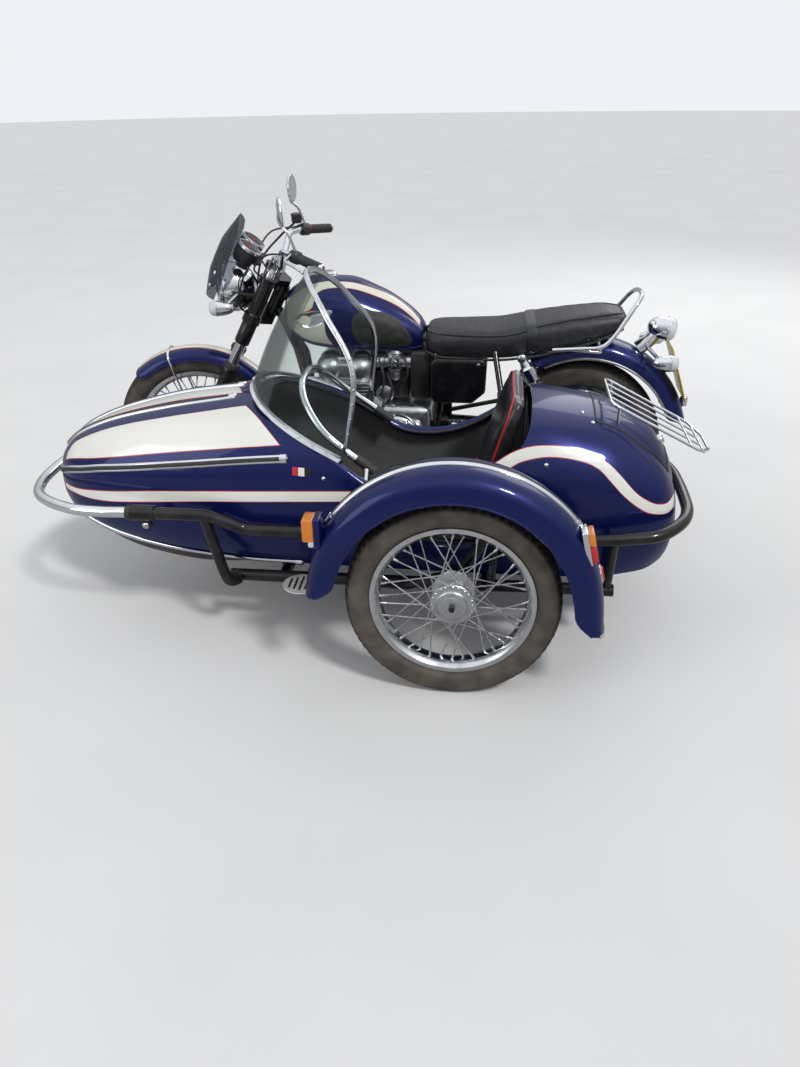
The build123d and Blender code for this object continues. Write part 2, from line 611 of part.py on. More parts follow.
PLATE_W = 203.0
PLATE_TOP = (-312.0, 716.0)
PLATE_FOOT = (-386.0, 506.0)
plate_lean = degrees(atan2(PLATE_TOP[0] - PLATE_FOOT[0], PLATE_TOP[1] - PLATE_FOOT[1]))
plate_mid = ((PLATE_TOP[0] + PLATE_FOOT[0]) / 2, 0, (PLATE_TOP[1] + PLATE_FOOT[1]) / 2)
PLATE_H = sqrt((PLATE_TOP[0] - PLATE_FOOT[0]) ** 2 + (PLATE_TOP[1] - PLATE_FOOT[1]) ** 2)
plate = Pos(*plate_mid) * Rot(0, plate_lean, 0) * Box(3, PLATE_W, PLATE_H)
PLATE_HOLE_Y = 38.0
for y in (-PLATE_HOLE_Y, PLATE_HOLE_Y):
    hole = Pos(*plate_mid) * Rot(0, plate_lean, 0) * Pos(0, y, 60) * Rot(0, 90, 0) * Cylinder(3, 20)
    plate = plate - hole
holder = rod((-310, 0, 606), (-348, 0, 610), 11)
plate_lamp = Pos(-396, 0, 487) * Cylinder(15, 42)
number_plate = largest(joined(plate, holder, plate_lamp) - rear_guard - tail_lamp)
ROOT_NODES["number_plate"] = number_plate

rail_route = [
    (120, 152, 716), (-60, 152, 726), (-166, 96, 866), (-190, 52, 890),
    (-190, -52, 890), (-166, -96, 866), (-60, -152, 726), (120, -152, 716),
]
grab_rail = tube(rail_route, 8, 30)
for side in (-1, 1):
    grab_rail = grab_rail.fuse(rod((60, side * 125, 719), (60, side * 152, 719), 6))
ROOT_NODES["grab_rail"] = grab_rail

footrest_parts = []
for side in (-1, 1):
    hanger = tube([(528, side * 118, 330), (528, side * 190, 322), (600, side * 236, 318), (600, side * 250, 318)], 8, 12)
    peg = rod((600, side * 240, 318), (600, side * 320, 318), 12)
    footrest_parts.append(joined(hanger, peg))
# The pillion's peg is on the right only: a strut passes where the left one would be
pillion = rod((300, -200, 400), (300, -290, 400), 11)
carrier = rod((500, -112, 388), (300, -205, 400), 9)
footrest_parts.append(largest(joined(pillion, carrier) - motorcycle_frame))
footrests = Compound(children=footrest_parts)
ROOT_NODES["footrests"] = footrests

# Sidecar hull
HULL_ROWS = (
    # x, half_bottom, half_wide, half_top, z_bottom, z_wide, z_shoulder, z_top
    (1742, 22, 40, 20, 400, 440, 480, 488),
    (1715, 74, 104, 62, 356, 440, 526, 540),
    (1640, 132, 168, 106, 318, 448, 580, 600),
    (1480, 186, 230, 146, 282, 456, 634, 662),
    (1250, 226, 272, 176, 262, 462, 680, 712),
    (1000, 248, 290, 200, 252, 466, 702, 738),
    (600, 256, 296, 212, 246, 470, 704, 742),
    (200, 252, 290, 206, 240, 472, 700, 738),
    (0, 236, 276, 176, 238, 466, 676, 716),
    (-140, 200, 248, 132, 244, 446, 606, 650),
    (-215, 150, 200, 88, 270, 420, 522, 560),
    (HULL_TAIL_X, 110, 160, 60, 300, 404, 480, 506),
)


def hull_loft(inset, x_from, x_to):
    """The hull's outer skin, or the same form inset on every side, between two stations."""
    faces = []
    for x, half_bottom, half_wide, half_top, z_bottom, z_wide, z_shoulder, z_top in HULL_ROWS:
        if x_from <= x <= x_to:
            faces.append(
                crowned_section(
                    x, HULL_Y, half_bottom - inset, half_wide - inset, half_top - inset,
                    z_bottom + inset, z_wide, z_shoulder - inset, z_top - inset,
                )
            )
    return loft(faces)


REAR_EDGE_TOP = 748.0
REAR_EDGE_FOOT = (232.0, 640.0)


def coaming_cutter(drop):
    """Everything above the coaming line, lowered by drop; its rear edge stands steep behind the backrest."""
    rear_top = REAR_EDGE_FOOT[1] - drop if drop else REAR_EDGE_TOP
    line = [
        (COCKPIT_REAR_X, 900), (COCKPIT_REAR_X, rear_top), (REAR_EDGE_FOOT[0], REAR_EDGE_FOOT[1] - drop),
        (268, 590 - drop), (372, 548 - drop), (470, 508 - drop), (640, 508 - drop), (720, 574 - drop),
        (780, 605 - drop), (1082, 756 - drop), (1082, 900),
    ]
    profile = make_face(Polyline(*[(x, z) for x, z in line], close=True))
    return Pos(0, HULL_Y - 400, 0) * extrude(Plane.XZ * profile, amount=-800)


def plan_prism(points, z0, z1):
    """An upright prism over a plan outline."""
    face = make_face(Polyline(*[(x, y, 0) for x, y in points], close=True))
    return Pos(0, 0, z0) * extrude(face, amount=z1 - z0)


hull_outer = hull_loft(0, -999, 1999)
hull_inner = hull_loft(HULL_WALL, HULL_TAIL_X + 10, 1730)
fore_room = block(BULKHEAD_X + HULL_WALL, 1800, 300, 1100, 100, 900)
boot_room = block(-300, BULKHEAD_X - HULL_WALL, 300, 1100, 100, 900)
cockpit_air = (hull_inner & fore_room) - coaming_cutter(HULL_WALL)
boot_air = hull_inner & boot_room
shell = hull_outer - coaming_cutter(0)
mouth_half = 290 - COAMING_LIP
MOUTH_REAR_X = BULKHEAD_X + 10
mouth = plan_prism(
    [
        (MOUTH_REAR_X, HULL_Y - mouth_half), (760, HULL_Y - mouth_half),
        (900, HULL_Y - mouth_half + 34), (990, HULL_Y - 160), (1036, HULL_Y - 80), (1048, HULL_Y),
        (1036, HULL_Y + 80), (990, HULL_Y + 160), (900, HULL_Y + mouth_half - 34),
        (760, HULL_Y + mouth_half), (MOUTH_REAR_X, HULL_Y + mouth_half),
    ],
    430, 900,
)
LID_REAR_X = -205.0
LID_REAR_HALF = 96.0


def lid_outline(gap):
    """The boot lid's outline in plan, grown by gap."""
    return [
        (LID_FRONT_X + gap, HULL_Y - LID_HALF_W - gap), (LID_FRONT_X + gap, HULL_Y + LID_HALF_W + gap),
        (-120, HULL_Y + LID_HALF_W + gap), (LID_REAR_X - gap, HULL_Y + LID_REAR_HALF + gap),
        (LID_REAR_X - gap, HULL_Y - LID_REAR_HALF - gap), (-120, HULL_Y - LID_HALF_W - gap),
    ]


lid_hole = plan_prism(lid_outline(LID_GAP), 500, 900)
lid_prism = plan_prism(lid_outline(0), 500, 900)
sidecar_body = shell - cockpit_air - boot_air - mouth - lid_hole
boot_skin = hull_outer - hull_inner
boot_lid = boot_skin & lid_prism

HINGE = (LID_FRONT_X + 3.0, 738.0)
lid_knuckles = []
body_knuckles = []
for y in (HULL_Y - 84, HULL_Y + 84):
    lid_knuckles.append(rod((HINGE[0], y - 11, HINGE[1]), (HINGE[0], y + 11, HINGE[1]), HINGE_R + 3))
    lid_knuckles.append(block(HINGE[0] - 34, HINGE[0], y - 11, y + 11, HINGE[1] - 6, HINGE[1] - 1))
    lid_knuckles.append(block(HINGE[0] - 34, HINGE[0] - 20, y - 11, y + 11, HINGE[1] - 30, HINGE[1] - 3))
    body_knuckles.append(rod((HINGE[0], y - 26, HINGE[1]), (HINGE[0], y + 26, HINGE[1]), HINGE_R))
    for edge in (y - 20, y + 20):
        body_knuckles.append(rod((HINGE[0], edge - 6, HINGE[1]), (HINGE[0], edge + 6, HINGE[1]), HINGE_R + 3))
        body_knuckles.append(block(HINGE[0], HINGE[0] + 34, edge - 6, edge + 6, HINGE[1] - 6, HINGE[1] - 1))
        body_knuckles.append(block(HINGE[0] + 18, HINGE[0] + 34, edge - 6, edge + 6, HINGE[1] - 28, HINGE[1] - 3))

sidecar_body = joined(sidecar_body, *body_knuckles)
ROOT_NODES["sidecar_body"] = sidecar_body

# Luggage rack on the lid: a loop of rod, three slats and four feet
RACK_R = 4.5


def rack_point(x, y_off):
    """A point on the rack's sloping plane."""
    slope = (751.0 - 606.0) / (-20.0 + 300.0)
    return (x, HULL_Y + y_off, 751.0 + slope * (x + 20.0))


loop = tube(
    [
        rack_point(-160, -122), rack_point(-20, -122), rack_point(-20, 122), rack_point(-290, 122),
        rack_point(-326, 60), rack_point(-326, -60), rack_point(-290, -122), rack_point(-160.5, -122),
    ],
    RACK_R,
    24,
)
rack_parts = [loop]
for y in (-62, 0, 62):
    rack_parts.append(rod(rack_point(-20, y), rack_point(-300, y), RACK_R - 1))
for x in (-300, -262):
    rack_parts.append(rod(rack_point(x, -118), rack_point(x, 118), RACK_R - 1))
for x, y in ((-44, -118), (-44, 118), (-168, -96), (-168, 96)):
    top = rack_point(x, y)
    rack_parts.append(rod(top, (x, HULL_Y + y * 0.86, top[2] - 90), RACK_R))
rack_raw = joined(*rack_parts)
luggage_rack = largest(rack_raw - hull_outer)
lid_with_knuckles = joined(boot_lid, *lid_knuckles) - rod((HINGE[0], 560, HINGE[1]), (HINGE[0], 840, HINGE[1]), HINGE_R + 0.3)

# Windscreen: a clear sheet bowed round the cockpit's front, between two alloy rims.
# Both lines are given for one side, from the middle outwards; the same row of each belongs together.
SCREEN_BASE = (
    # x, y offset, z
    (1068, 0, 762),
    (1040, 120, 746),
    (966, 205, 708),
    (868, 250, 659),
    (762, 268, 608),
)
SCREEN_EDGE = (
    (884, 0, 1098),
    (862, 74, 1080),
    (806, 160, 1010),
    (722, 226, 860),
    (748, 262, 672),
)
SHEET = 4.0
RIM_R = 8.0
SHEET_MARGIN = 14.0


def both_sides(rows):
    """A row of points given for one side, run from the far side over the middle to the near one."""
    far = [Vector(x, HULL_Y - y, z) for x, y, z in reversed(rows)]
    near = [Vector(x, HULL_Y + y, z) for x, y, z in rows[1:]]
    return far + near


def inset_line(line, other):
    """A line of points moved square to itself, towards the other line, by the sheet's margin."""
    last = len(line) - 1
    moved = []
    for i, point in enumerate(line):
        along = (line[min(i + 1, last)] - line[max(i - 1, 0)]).normalized()
        aim = other[min(max(i, 1), last - 1)] - point
        inward = (aim - along * aim.dot(along)).normalized()
        moved.append(point + inward * SHEET_MARGIN)
    return moved


def screen_facets():
    """The clear sheet as flat facets that stop a little short of both rims."""
    base = inset_line(both_sides(SCREEN_BASE), both_sides(SCREEN_EDGE))
    edge = inset_line(both_sides(SCREEN_EDGE), both_sides(SCREEN_BASE))
    panes = []
    for i in range(len(base) - 1):
        for tri in ((base[i], base[i + 1], edge[i + 1]), (base[i], edge[i + 1], edge[i])):
            a, b, c = tri
            normal = (b - a).cross(c - a).normalized()
            face = make_face(Polyline(a, b, c, close=True))
            panes.append(extrude(face, amount=SHEET / 2, dir=normal))
            panes.append(extrude(face, amount=SHEET / 2, dir=-normal))
    return panes


windscreen = joined(*screen_facets())
RIM_BEND = 26.0
RIM_GAP = 22.0
edge_points = both_sides(SCREEN_EDGE)
edge_points[0] = edge_points[0] + (edge_points[1] - edge_points[0]).normalized() * RIM_GAP
edge_points[-1] = edge_points[-1] + (edge_points[-2] - edge_points[-1]).normalized() * RIM_GAP
edge_bar = tube(edge_points, RIM_R, RIM_BEND)
base_bar = tube(both_sides(SCREEN_BASE), RIM_R, RIM_BEND)
ROOT_NODES["windscreen"] = largest(windscreen - edge_bar - base_bar)
ROOT_NODES["windscreen_rim"] = Compound(children=[edge_bar, base_bar])

# Grab hoop behind the screen
grab_hoop = tube(
    [
        (672, HULL_Y + 222, 560), (812, HULL_Y + 214, 662), (905, HULL_Y + 132, 778),
        (905, HULL_Y - 132, 778), (812, HULL_Y - 214, 662), (672, HULL_Y - 222, 560),
    ],
    11,
    70,
)
hoop_feet = []
for side in (-1, 1):
    hoop_feet.append(rod((690, HULL_Y + side * 221, 572), (690, HULL_Y + side * 284, 520), 9))
grab_hoop = joined(grab_hoop, *hoop_feet) - sidecar_body
ROOT_NODES["grab_hoop"] = grab_hoop

# Cockpit trim: floor mat, seat cushion and backrest
MAT_TOP = 276.0
floor_mat = block(240, 1240, HULL_Y - 196, HULL_Y + 196, 230, MAT_TOP) - sidecar_body - block(200, 1300, 300, 1100, 200, 244)
ROOT_NODES["floor_mat"] = largest(floor_mat)
seat_base = block(330, 780, HULL_Y - 205, HULL_Y + 205, MAT_TOP + 0.5, 372, 24)
ROOT_NODES["sidecar_seat"] = seat_base
BACK_LEAN = 17.0
backrest = Pos(298, HULL_Y, 588) * Rot(0, -BACK_LEAN, 0) * fillet(Box(66, 420, 404).edges(), 22)
backrest = backrest - block(100, 700, 300, 1100, 200, 372.5) - sidecar_body
ROOT_NODES["sidecar_backrest"] = largest(backrest)

# A narrower pan closes the hull's underside at the front
KEEL_ROWS = (
    # x, half_top, half_bottom, z_top, z_bottom
    (1700, 64, 40, 380, 318),
    (1600, 126, 84, 330, 222),
    (1450, 166, 120, 300, 172),
    (1250, 186, 142, 280, 148),
    (1010, 190, 150, 270, 164),
)
keel_faces = []
for x, half_top, half_bottom, z_top, z_bottom in KEEL_ROWS:
    corners = [
        (x, HULL_Y - half_bottom, z_bottom), (x, HULL_Y + half_bottom, z_bottom),
        (x, HULL_Y + half_top, z_top), (x, HULL_Y - half_top, z_top),
    ]
    keel_faces.append(make_face(Polyline(*corners, close=True)))
keel_pan = largest(loft(keel_faces) - hull_outer)
ROOT_NODES["keel_pan"] = keel_pan

# Sidecar chassis: two long rails, three cross tubes, body pads and the wheel arm's pivot
RAIL_Z = 205.0
RAIL_R = 19.0
OUTER_RAIL_Y = 962.0
INNER_RAIL_Y = 438.0
chassis_parts = []
for y in (INNER_RAIL_Y, OUTER_RAIL_Y):
    chassis_parts.append(rod((-60, y, RAIL_Z), (1130, y, RAIL_Z), RAIL_R))
for x in (-40, 330, 700, 960):
    chassis_parts.append(rod((x, INNER_RAIL_Y, RAIL_Z), (x, OUTER_RAIL_Y, RAIL_Z), RAIL_R - 1))
for x in (-20, 330, 700, 960):
    for y in (HULL_Y - 190, HULL_Y + 190):
        chassis_parts.append(Pos(x, y, 228) * Cylinder(22, 40))
chassis_parts.append(rod((700, OUTER_RAIL_Y, RAIL_Z), (700, 1060, 250), 15))
tower = tube([(330, OUTER_RAIL_Y, RAIL_Z), (312, 1030, 250), (296, 1030, 500)], 13, 30)
chassis_parts.append(tower)
sidecar_chassis = joined(*chassis_parts) - hull_outer
ROOT_NODES["sidecar_chassis"] = sidecar_chassis

arm_tube = tube([(700, 1052, 256), (560, 1072, 262), (SIDE_WHEEL_LEAD, 1080, SIDE_TYRE_R)], 17, 60)
pivot_boss = rod((700, 1030, 256), (700, 1078, 256), 26)
stub_axle = rod((SIDE_WHEEL_LEAD, 1062, SIDE_TYRE_R), (SIDE_WHEEL_LEAD, TRACK + 66, SIDE_TYRE_R), 8.5)
knuckle = rod((SIDE_WHEEL_LEAD, 1062, SIDE_TYRE_R), (SIDE_WHEEL_LEAD, 1130, SIDE_TYRE_R), 26)
damper = rod((SIDE_WHEEL_LEAD - 20, 1080, 322), (300, 1080, 486), 19)
damper_eye = rod((300, 1034, 486), (300, 1092, 486), 14)
wheel_arm = joined(arm_tube, pivot_boss, stub_axle, knuckle, damper, damper_eye) - sidecar_chassis
ROOT_NODES["wheel_arm"] = wheel_arm

# Four struts tie the chassis to the motorcycle's frame
STRUT_ROWS = (
    # where it meets the motorcycle's frame, where it meets the inner rail, radius
    ((1041, 75, 360), (1010, INNER_RAIL_Y, RAIL_Z), 14),
    ((526, 106, 392), (90, INNER_RAIL_Y, RAIL_Z), 14),
    ((1095, 29, 700), (860, INNER_RAIL_Y, RAIL_Z), 11),
    ((330, 116, 722), (220, INNER_RAIL_Y, RAIL_Z), 11),
)
cut_struts = []
for bike_end, car_end, radius in STRUT_ROWS:
    clamp = rod((car_end[0] - 24, car_end[1], car_end[2]), (car_end[0] + 24, car_end[1], car_end[2]), RAIL_R + 7)
    strut = joined(rod(bike_end, car_end, radius), clamp)
    cut_struts.append(largest(strut - sidecar_chassis - motorcycle_frame))
sidecar_struts = Compound(children=cut_struts)
ROOT_NODES["sidecar_struts"] = sidecar_struts
# The upper rear strut passes through a notch in the seat's base
ROOT_NODES["dual_seat"] = largest(dual_seat - cut_struts[3])

# Sidecar mudguard over its wheel, with two stays to the side bar
side_guard = guard(SIDE_AXLE, 412, 330, 88, 4, 188, 3)
guard_arms = []
BAR_Y = 1030.0
for x, z in ((700, 424), (96, 424)):
    guard_arms.append(rod((x, BAR_Y + 10, 424), (x + (8 if x > 400 else 0), TRACK - 84, z + 36), 9))
sidecar_mudguard = joined(side_guard, *guard_arms)

# Side bar, front hoop and rear bar
side_bar = tube(
    [
        (1400, BAR_Y, 446), (1160, BAR_Y, 446), (1040, BAR_Y, 402), (20, BAR_Y, 410),
        (-170, BAR_Y - 22, 424), (-275, 905, 430), (-275, 495, 430), (-170, 400, 424), (-20, 400, 260), (-20, INNER_RAIL_Y, 214),
    ],
    19,
    60,
)
leg = tube([(1172, BAR_Y, 440), (1122, BAR_Y - 6, 206), (1096, OUTER_RAIL_Y, RAIL_Z)], 17, 34)
rear_leg = rod((-40, OUTER_RAIL_Y, RAIL_Z), (-40, BAR_Y, 409), 13)
side_bar = largest(joined(side_bar, leg, rear_leg) - sidecar_chassis)
sidecar_mudguard = largest(sidecar_mudguard - side_bar)
ROOT_NODES["side_bar"] = side_bar
ROOT_NODES["sidecar_mudguard"] = sidecar_mudguard

front_hoop = tube(
    [
        (1400, BAR_Y, 446), (1590, BAR_Y - 18, 440), (1745, 915, 434), (1796, 790, 432), (1796, 610, 432),
        (1745, 485, 432), (1590, 384, 432), (1420, 372, 400), (1160, 400, 230), (1120, INNER_RAIL_Y, 210),
    ],
    17,
    90,
)
sleeve = rod((1330, BAR_Y, 446), (1410, BAR_Y, 446), 22) - rod((1300, BAR_Y, 446), (1400.2, BAR_Y, 446), 19.05)
front_hoop = largest(joined(front_hoop, sleeve) - sidecar_chassis - side_bar)
ROOT_NODES["front_hoop"] = front_hoop

step_plate = Pos(884, 1050, 232) * Cylinder(56, 6)
step_stay = rod((884, OUTER_RAIL_Y, 212), (884, 1040, 228), 8)
step = largest(joined(step_plate, step_stay) - sidecar_chassis)
ROOT_NODES["step_plate"] = step

lamp_rows = []
for x, z, half_len in ((788, 520, 18), (60, 508, 14)):
    lamp_rows.append(block(x - half_len, x + half_len, TRACK + 6, TRACK + 66, z - 42, z + 42, 5))
sidecar_lamps = Compound(children=[largest(lamp - side_guard) for lamp in lamp_rows])
ROOT_NODES["sidecar_lamps"] = sidecar_lamps


def whole(piece):
    """The piece as one shape, also where a cut left it as a list of solids."""
    if isinstance(piece, (list, ShapeList)):
        return Compound(children=list(piece)) if len(piece) > 1 else piece[0]
    return piece


NODES = {}
for name, piece in ROOT_NODES.items():
    NODES[name] = whole(piece)
for name, piece in {**STEERING_NODES, **FRONT_WHEEL_NODES}.items():
    NODES[name] = whole(piece).rotate(STEER_AXIS, PARKED_TURN)
NODES["rear_tyre"] = rear_tyre
NODES["rear_wheel"] = rear_wheel
NODES["sidecar_tyre"] = sidecar_tyre
NODES["sidecar_wheel"] = sidecar_wheel
NODES["boot_lid"] = lid_with_knuckles
NODES["luggage_rack"] = luggage_rack

os.makedirs("parts", exist_ok=True)
for name, piece in NODES.items():
    placed = whole(piece).moved(Location((-ORIGIN_X, -ORIGIN_Y, 0)))
    export_step(placed, "parts/" + name + ".step")
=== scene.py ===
# %% [markdown]
# A motorcycle with a sidecar, dressed around its construction model.
# The model that this script loads already has every piece at its real size and every joint.
# What is missing is what the eye looks for: lacquer, chrome, tread, spokes, stitched vinyl.
# Each step below says what the real thing is, and why it is made the way it is.

# %% Load the frame
from math import acos, atan2, cos, pi, radians, sin, sqrt, tan

import bmesh
import bpy
import numpy as np
from mathutils import Matrix, Vector


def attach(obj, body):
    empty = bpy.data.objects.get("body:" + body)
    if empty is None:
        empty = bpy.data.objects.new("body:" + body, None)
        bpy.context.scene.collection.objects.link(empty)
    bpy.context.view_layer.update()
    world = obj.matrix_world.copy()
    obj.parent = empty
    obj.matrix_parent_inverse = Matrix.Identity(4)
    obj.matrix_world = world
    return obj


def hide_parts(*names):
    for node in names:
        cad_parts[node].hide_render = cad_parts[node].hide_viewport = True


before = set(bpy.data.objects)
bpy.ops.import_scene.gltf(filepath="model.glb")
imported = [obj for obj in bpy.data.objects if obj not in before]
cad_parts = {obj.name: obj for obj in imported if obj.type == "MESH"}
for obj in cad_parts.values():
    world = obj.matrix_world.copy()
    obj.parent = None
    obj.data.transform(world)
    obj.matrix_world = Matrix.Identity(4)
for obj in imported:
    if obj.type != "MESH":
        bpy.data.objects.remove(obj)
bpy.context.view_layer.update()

# %% [markdown]
# All places below are in metres from one easy point: the ground under the rear axle,
# with X forward, Y towards the sidecar and Z up. The frame's own origin is elsewhere,
# so every mesh is moved by one fixed step as it is made. The outfit is parked with its
# bars turned a little to the left, so what steers is drawn straight and then turned.

# %% Places and the steering axis
ORIGIN = np.array([0.709, 0.475, 0.0])
WHEELBASE = 1.500
RAKE = radians(28)
TRAIL = 0.110
PARKED_TURN = radians(8)
AXIS_FOOT = Vector((WHEELBASE + TRAIL, 0, 0))
AXIS_UP = Vector((-sin(RAKE), 0, cos(RAKE)))
STEER = (
    Matrix.Translation(AXIS_FOOT)
    @ Matrix.Rotation(PARKED_TURN, 4, AXIS_UP)
    @ Matrix.Translation(-AXIS_FOOT)
)
FRONT_AXLE = (WHEELBASE, 0.0, 0.3312)
REAR_AXLE = (0.0, 0.0, 0.320)
SIDE_AXLE = (0.415, 1.205, 0.304)
HULL_Y = 0.700
SIDES = ((-1, "far"), (1, "near"))

# %% [markdown]
# A shape here is a list of points and a list of faces, kept apart from Blender until it is
# whole. That makes it easy to add shapes up. Four ways of making them cover most of the
# machine: turning an outline about an axle, running a pipe along a path, skinning a row of
# rings, and a block with soft edges.

# %% Shapes: turning, pipes and skins
def as_array(points):
    return np.array([tuple(p) for p in points], dtype=float)


def together(*shapes):
    """Several shapes as one."""
    points, faces = [], []
    for some_points, some_faces in shapes:
        start = sum(len(p) for p in points)
        points.append(as_array(some_points))
        faces += [tuple(i + start for i in f) for f in some_faces]
    return np.vstack(points), faces


def skin(rings, around=True, ends=True, loop=False):
    """Faces between rings of equal length; around closes each ring, loop joins the last to the first."""
    count = len(rings[0])
    points = np.vstack([as_array(r) for r in rings])
    faces = []
    last = len(rings) if loop else len(rings) - 1
    for i in range(last):
        k = (i + 1) % len(rings)
        for j in range(count if around else count - 1):
            m = (j + 1) % count
            faces.append((i * count + j, i * count + m, k * count + m, k * count + j))
    if ends and around and not loop:
        faces.append(tuple(reversed(range(count))))
        faces.append(tuple((len(rings) - 1) * count + j for j in range(count)))
    return points, faces


def turned(profile, centre, axis=(0, 1, 0), steps=64, ring=False):
    """An outline of (along the axis, radius) turned about it; ring closes the outline on itself."""
    way = Vector(axis).normalized()
    side = way.orthogonal().normalized()
    other = way.cross(side)
    rings = []
    for i in range(steps):
        a = 2 * pi * i / steps
        out = side * cos(a) + other * sin(a)
        rings.append([Vector(centre) + way * s + out * r for s, r in profile])
    return skin(rings, around=ring, ends=False, loop=True)


def rounded(points, bend, turn_step=radians(9)):
    """Straight runs joined by arcs of one radius, as a bent tube has them."""
    pts = [Vector(p) for p in points]
    path = [pts[0]]
    for a, b, c in zip(pts, pts[1:], pts[2:]):
        to_a, to_c = (a - b).normalized(), (c - b).normalized()
        turn = pi - to_a.angle(to_c)
        reach = min(bend * tan(turn / 2), 0.49 * (a - b).length, 0.49 * (c - b).length)
        radius = reach / max(tan(turn / 2), 1e-6)
        middle = b + (to_a + to_c).normalized() * sqrt(reach**2 + radius**2)
        if turn < 0.02:
            path.append(b)
            continue
        first, final = b + to_a * reach - middle, b + to_c * reach - middle
        count = max(2, int(turn / turn_step))
        for i in range(count + 1):
            a = turn * i / count
            path.append(middle + (first * sin(turn - a) + final * sin(a)) / sin(turn))
    path.append(pts[-1])
    return path


def curve_through(points, count):
    """A smooth path through points, evenly many samples a span."""
    pts = as_array(points)
    padded_points = np.vstack([2 * pts[0] - pts[1], pts, 2 * pts[-1] - pts[-2]])
    path = []
    for i in range(1, len(padded_points) - 2):
        p0, p1, p2, p3 = padded_points[i - 1 : i + 3]
        for t in np.linspace(0, 1, count, endpoint=False):
            path.append(
                0.5 * (2 * p1 + (p2 - p0) * t + (2 * p0 - 5 * p1 + 4 * p2 - p3) * t**2
                       + (3 * p1 - p0 - 3 * p2 + p3) * t**3)
            )
    path.append(pts[-1])
    return np.array(path)


def frames_along(path, upright=None):
    """At each point of a path, its direction and two directions across it that don't twist."""
    pts = as_array(path)
    ways = np.gradient(pts, axis=0)
    ways /= np.linalg.norm(ways, axis=1)[:, None]
    side = np.cross(ways[0], upright if upright is not None else (0.13, 0.31, 0.94))
    rows = []
    for way in ways:
        if upright is not None:
            side = np.cross(way, upright)
        side = side - way * np.dot(side, way)
        side = side / np.linalg.norm(side)
        rows.append((way, side, np.cross(side, way)))
    return pts, rows


def pipe(path, radius, sides=16, loop=False):
    """A round tube along a path; radius is one number or one for each point."""
    pts, rows = frames_along(path)
    radii = np.broadcast_to(radius, len(pts))
    rings = []
    for p, (_, side, up), r in zip(pts, rows, radii):
        turns = [2 * pi * k / sides for k in range(sides)]
        rings.append([p + r * (cos(a) * side + sin(a) * up) for a in turns])
    return skin(rings, loop=loop)


def strip(path, outline, normals):
    """An outline of (across, proud) run along a path on a surface, given the surface's normals."""
    pts = as_array(path)
    ways = np.gradient(pts, axis=0)
    rings = []
    for p, way, n in zip(pts, ways, as_array(normals)):
        way = way / np.linalg.norm(way)
        up = n - way * np.dot(n, way)
        up = up / np.linalg.norm(up)
        across = np.cross(way, up)
        rings.append([p + across * u + up * v for u, v in outline])
    return skin(rings)


def bar(start, end, radius, end_radius=None, sides=24, soft=0.0):
    """A straight round bar, cone or disc between two points, with softened rims."""
    a, b = Vector(start), Vector(end)
    length = (b - a).length
    last = radius if end_radius is None else end_radius
    outline = [(0, 0), (0, radius - soft), (soft, radius), (length - soft, last), (length, last - soft),
               (length, 0)]
    return turned(outline, a, b - a, sides)


def soft_block(low, high, edge=0.004, turn=None):
    """A block between two corners with rounded edges, turned about its middle if asked."""
    mesh = bmesh.new()
    bmesh.ops.create_cube(mesh, size=1)
    low, high = Vector(low), Vector(high)
    for v in mesh.verts:
        v.co = Vector([(low[i] + high[i]) / 2 + v.co[i] * (high[i] - low[i]) for i in range(3)])
    if edge:
        bmesh.ops.bevel(mesh, geom=mesh.edges[:], offset=edge, segments=3, profile=0.5, affect="EDGES")
    middle = (low + high) / 2
    points = [(turn @ (v.co - middle) + middle) if turn else v.co.copy() for v in mesh.verts]
    mesh.verts.index_update()
    faces = [tuple(v.index for v in f.verts) for f in mesh.faces]
    mesh.free()
    return as_array(points), faces


def moved(shape, matrix):
    """A shape carried by a matrix."""
    return np.array([matrix @ Vector(p) for p in shape[0]]), shape[1]


# %% [markdown]
# A shape becomes a piece when it gets a material, a name and a body to ride on. Blender
# could parent each object by hand, but one function that does all of it keeps every piece
# at the origin with its place in its mesh, which the export needs.

# %% Pieces: from a shape to an object that rides on the frame
def piece(name, shape, *materials, turn=False, sharp=radians(38), weld=2e-5):
    """A mesh object at the origin; its points are moved to the frame's own place."""
    mesh = bpy.data.meshes.new(name)
    points, faces = shape
    if turn:
        points = np.array([STEER @ Vector(p) for p in points])
    mesh.from_pydata((as_array(points) - ORIGIN).tolist(), [], faces)
    work = bmesh.new()
    work.from_mesh(mesh)
    bmesh.ops.remove_doubles(work, verts=work.verts, dist=weld)
    bmesh.ops.recalc_face_normals(work, faces=work.faces)
    work.to_mesh(mesh)
    work.free()
    mesh.shade_smooth()
    mesh.set_sharp_from_angle(angle=sharp)
    for m in materials:
        mesh.materials.append(m)
    obj = bpy.data.objects.new(name, mesh)
    bpy.context.scene.collection.objects.link(obj)
    return obj


def settle(obj):
    """Turns an object's modifiers into its mesh, and takes them off."""
    bpy.context.view_layer.update()
    seen = obj.evaluated_get(bpy.context.evaluated_depsgraph_get())
    mesh = bpy.data.meshes.new_from_object(seen)
    old = obj.data
    obj.modifiers.clear()
    obj.data = mesh
    mesh.name = old.name
    bpy.data.meshes.remove(old)
    return obj


def keep(obj, slot, body="root", instead_of=()):
    """Parents a finished piece to the body it rides on and hides the nodes that it stands for; slot is
    not used.
    """
    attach(obj, body)
    if instead_of:
        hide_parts(*instead_of)
    obj.name
    return obj


# %% [markdown]
# The floor and the light are a plain studio. The camera stands where the picture was taken
# from: a person's eye height on the sidecar's side, a little ahead of its wheel, looking
# down at the machine. Its place was fitted to the wheels and to upright posts.

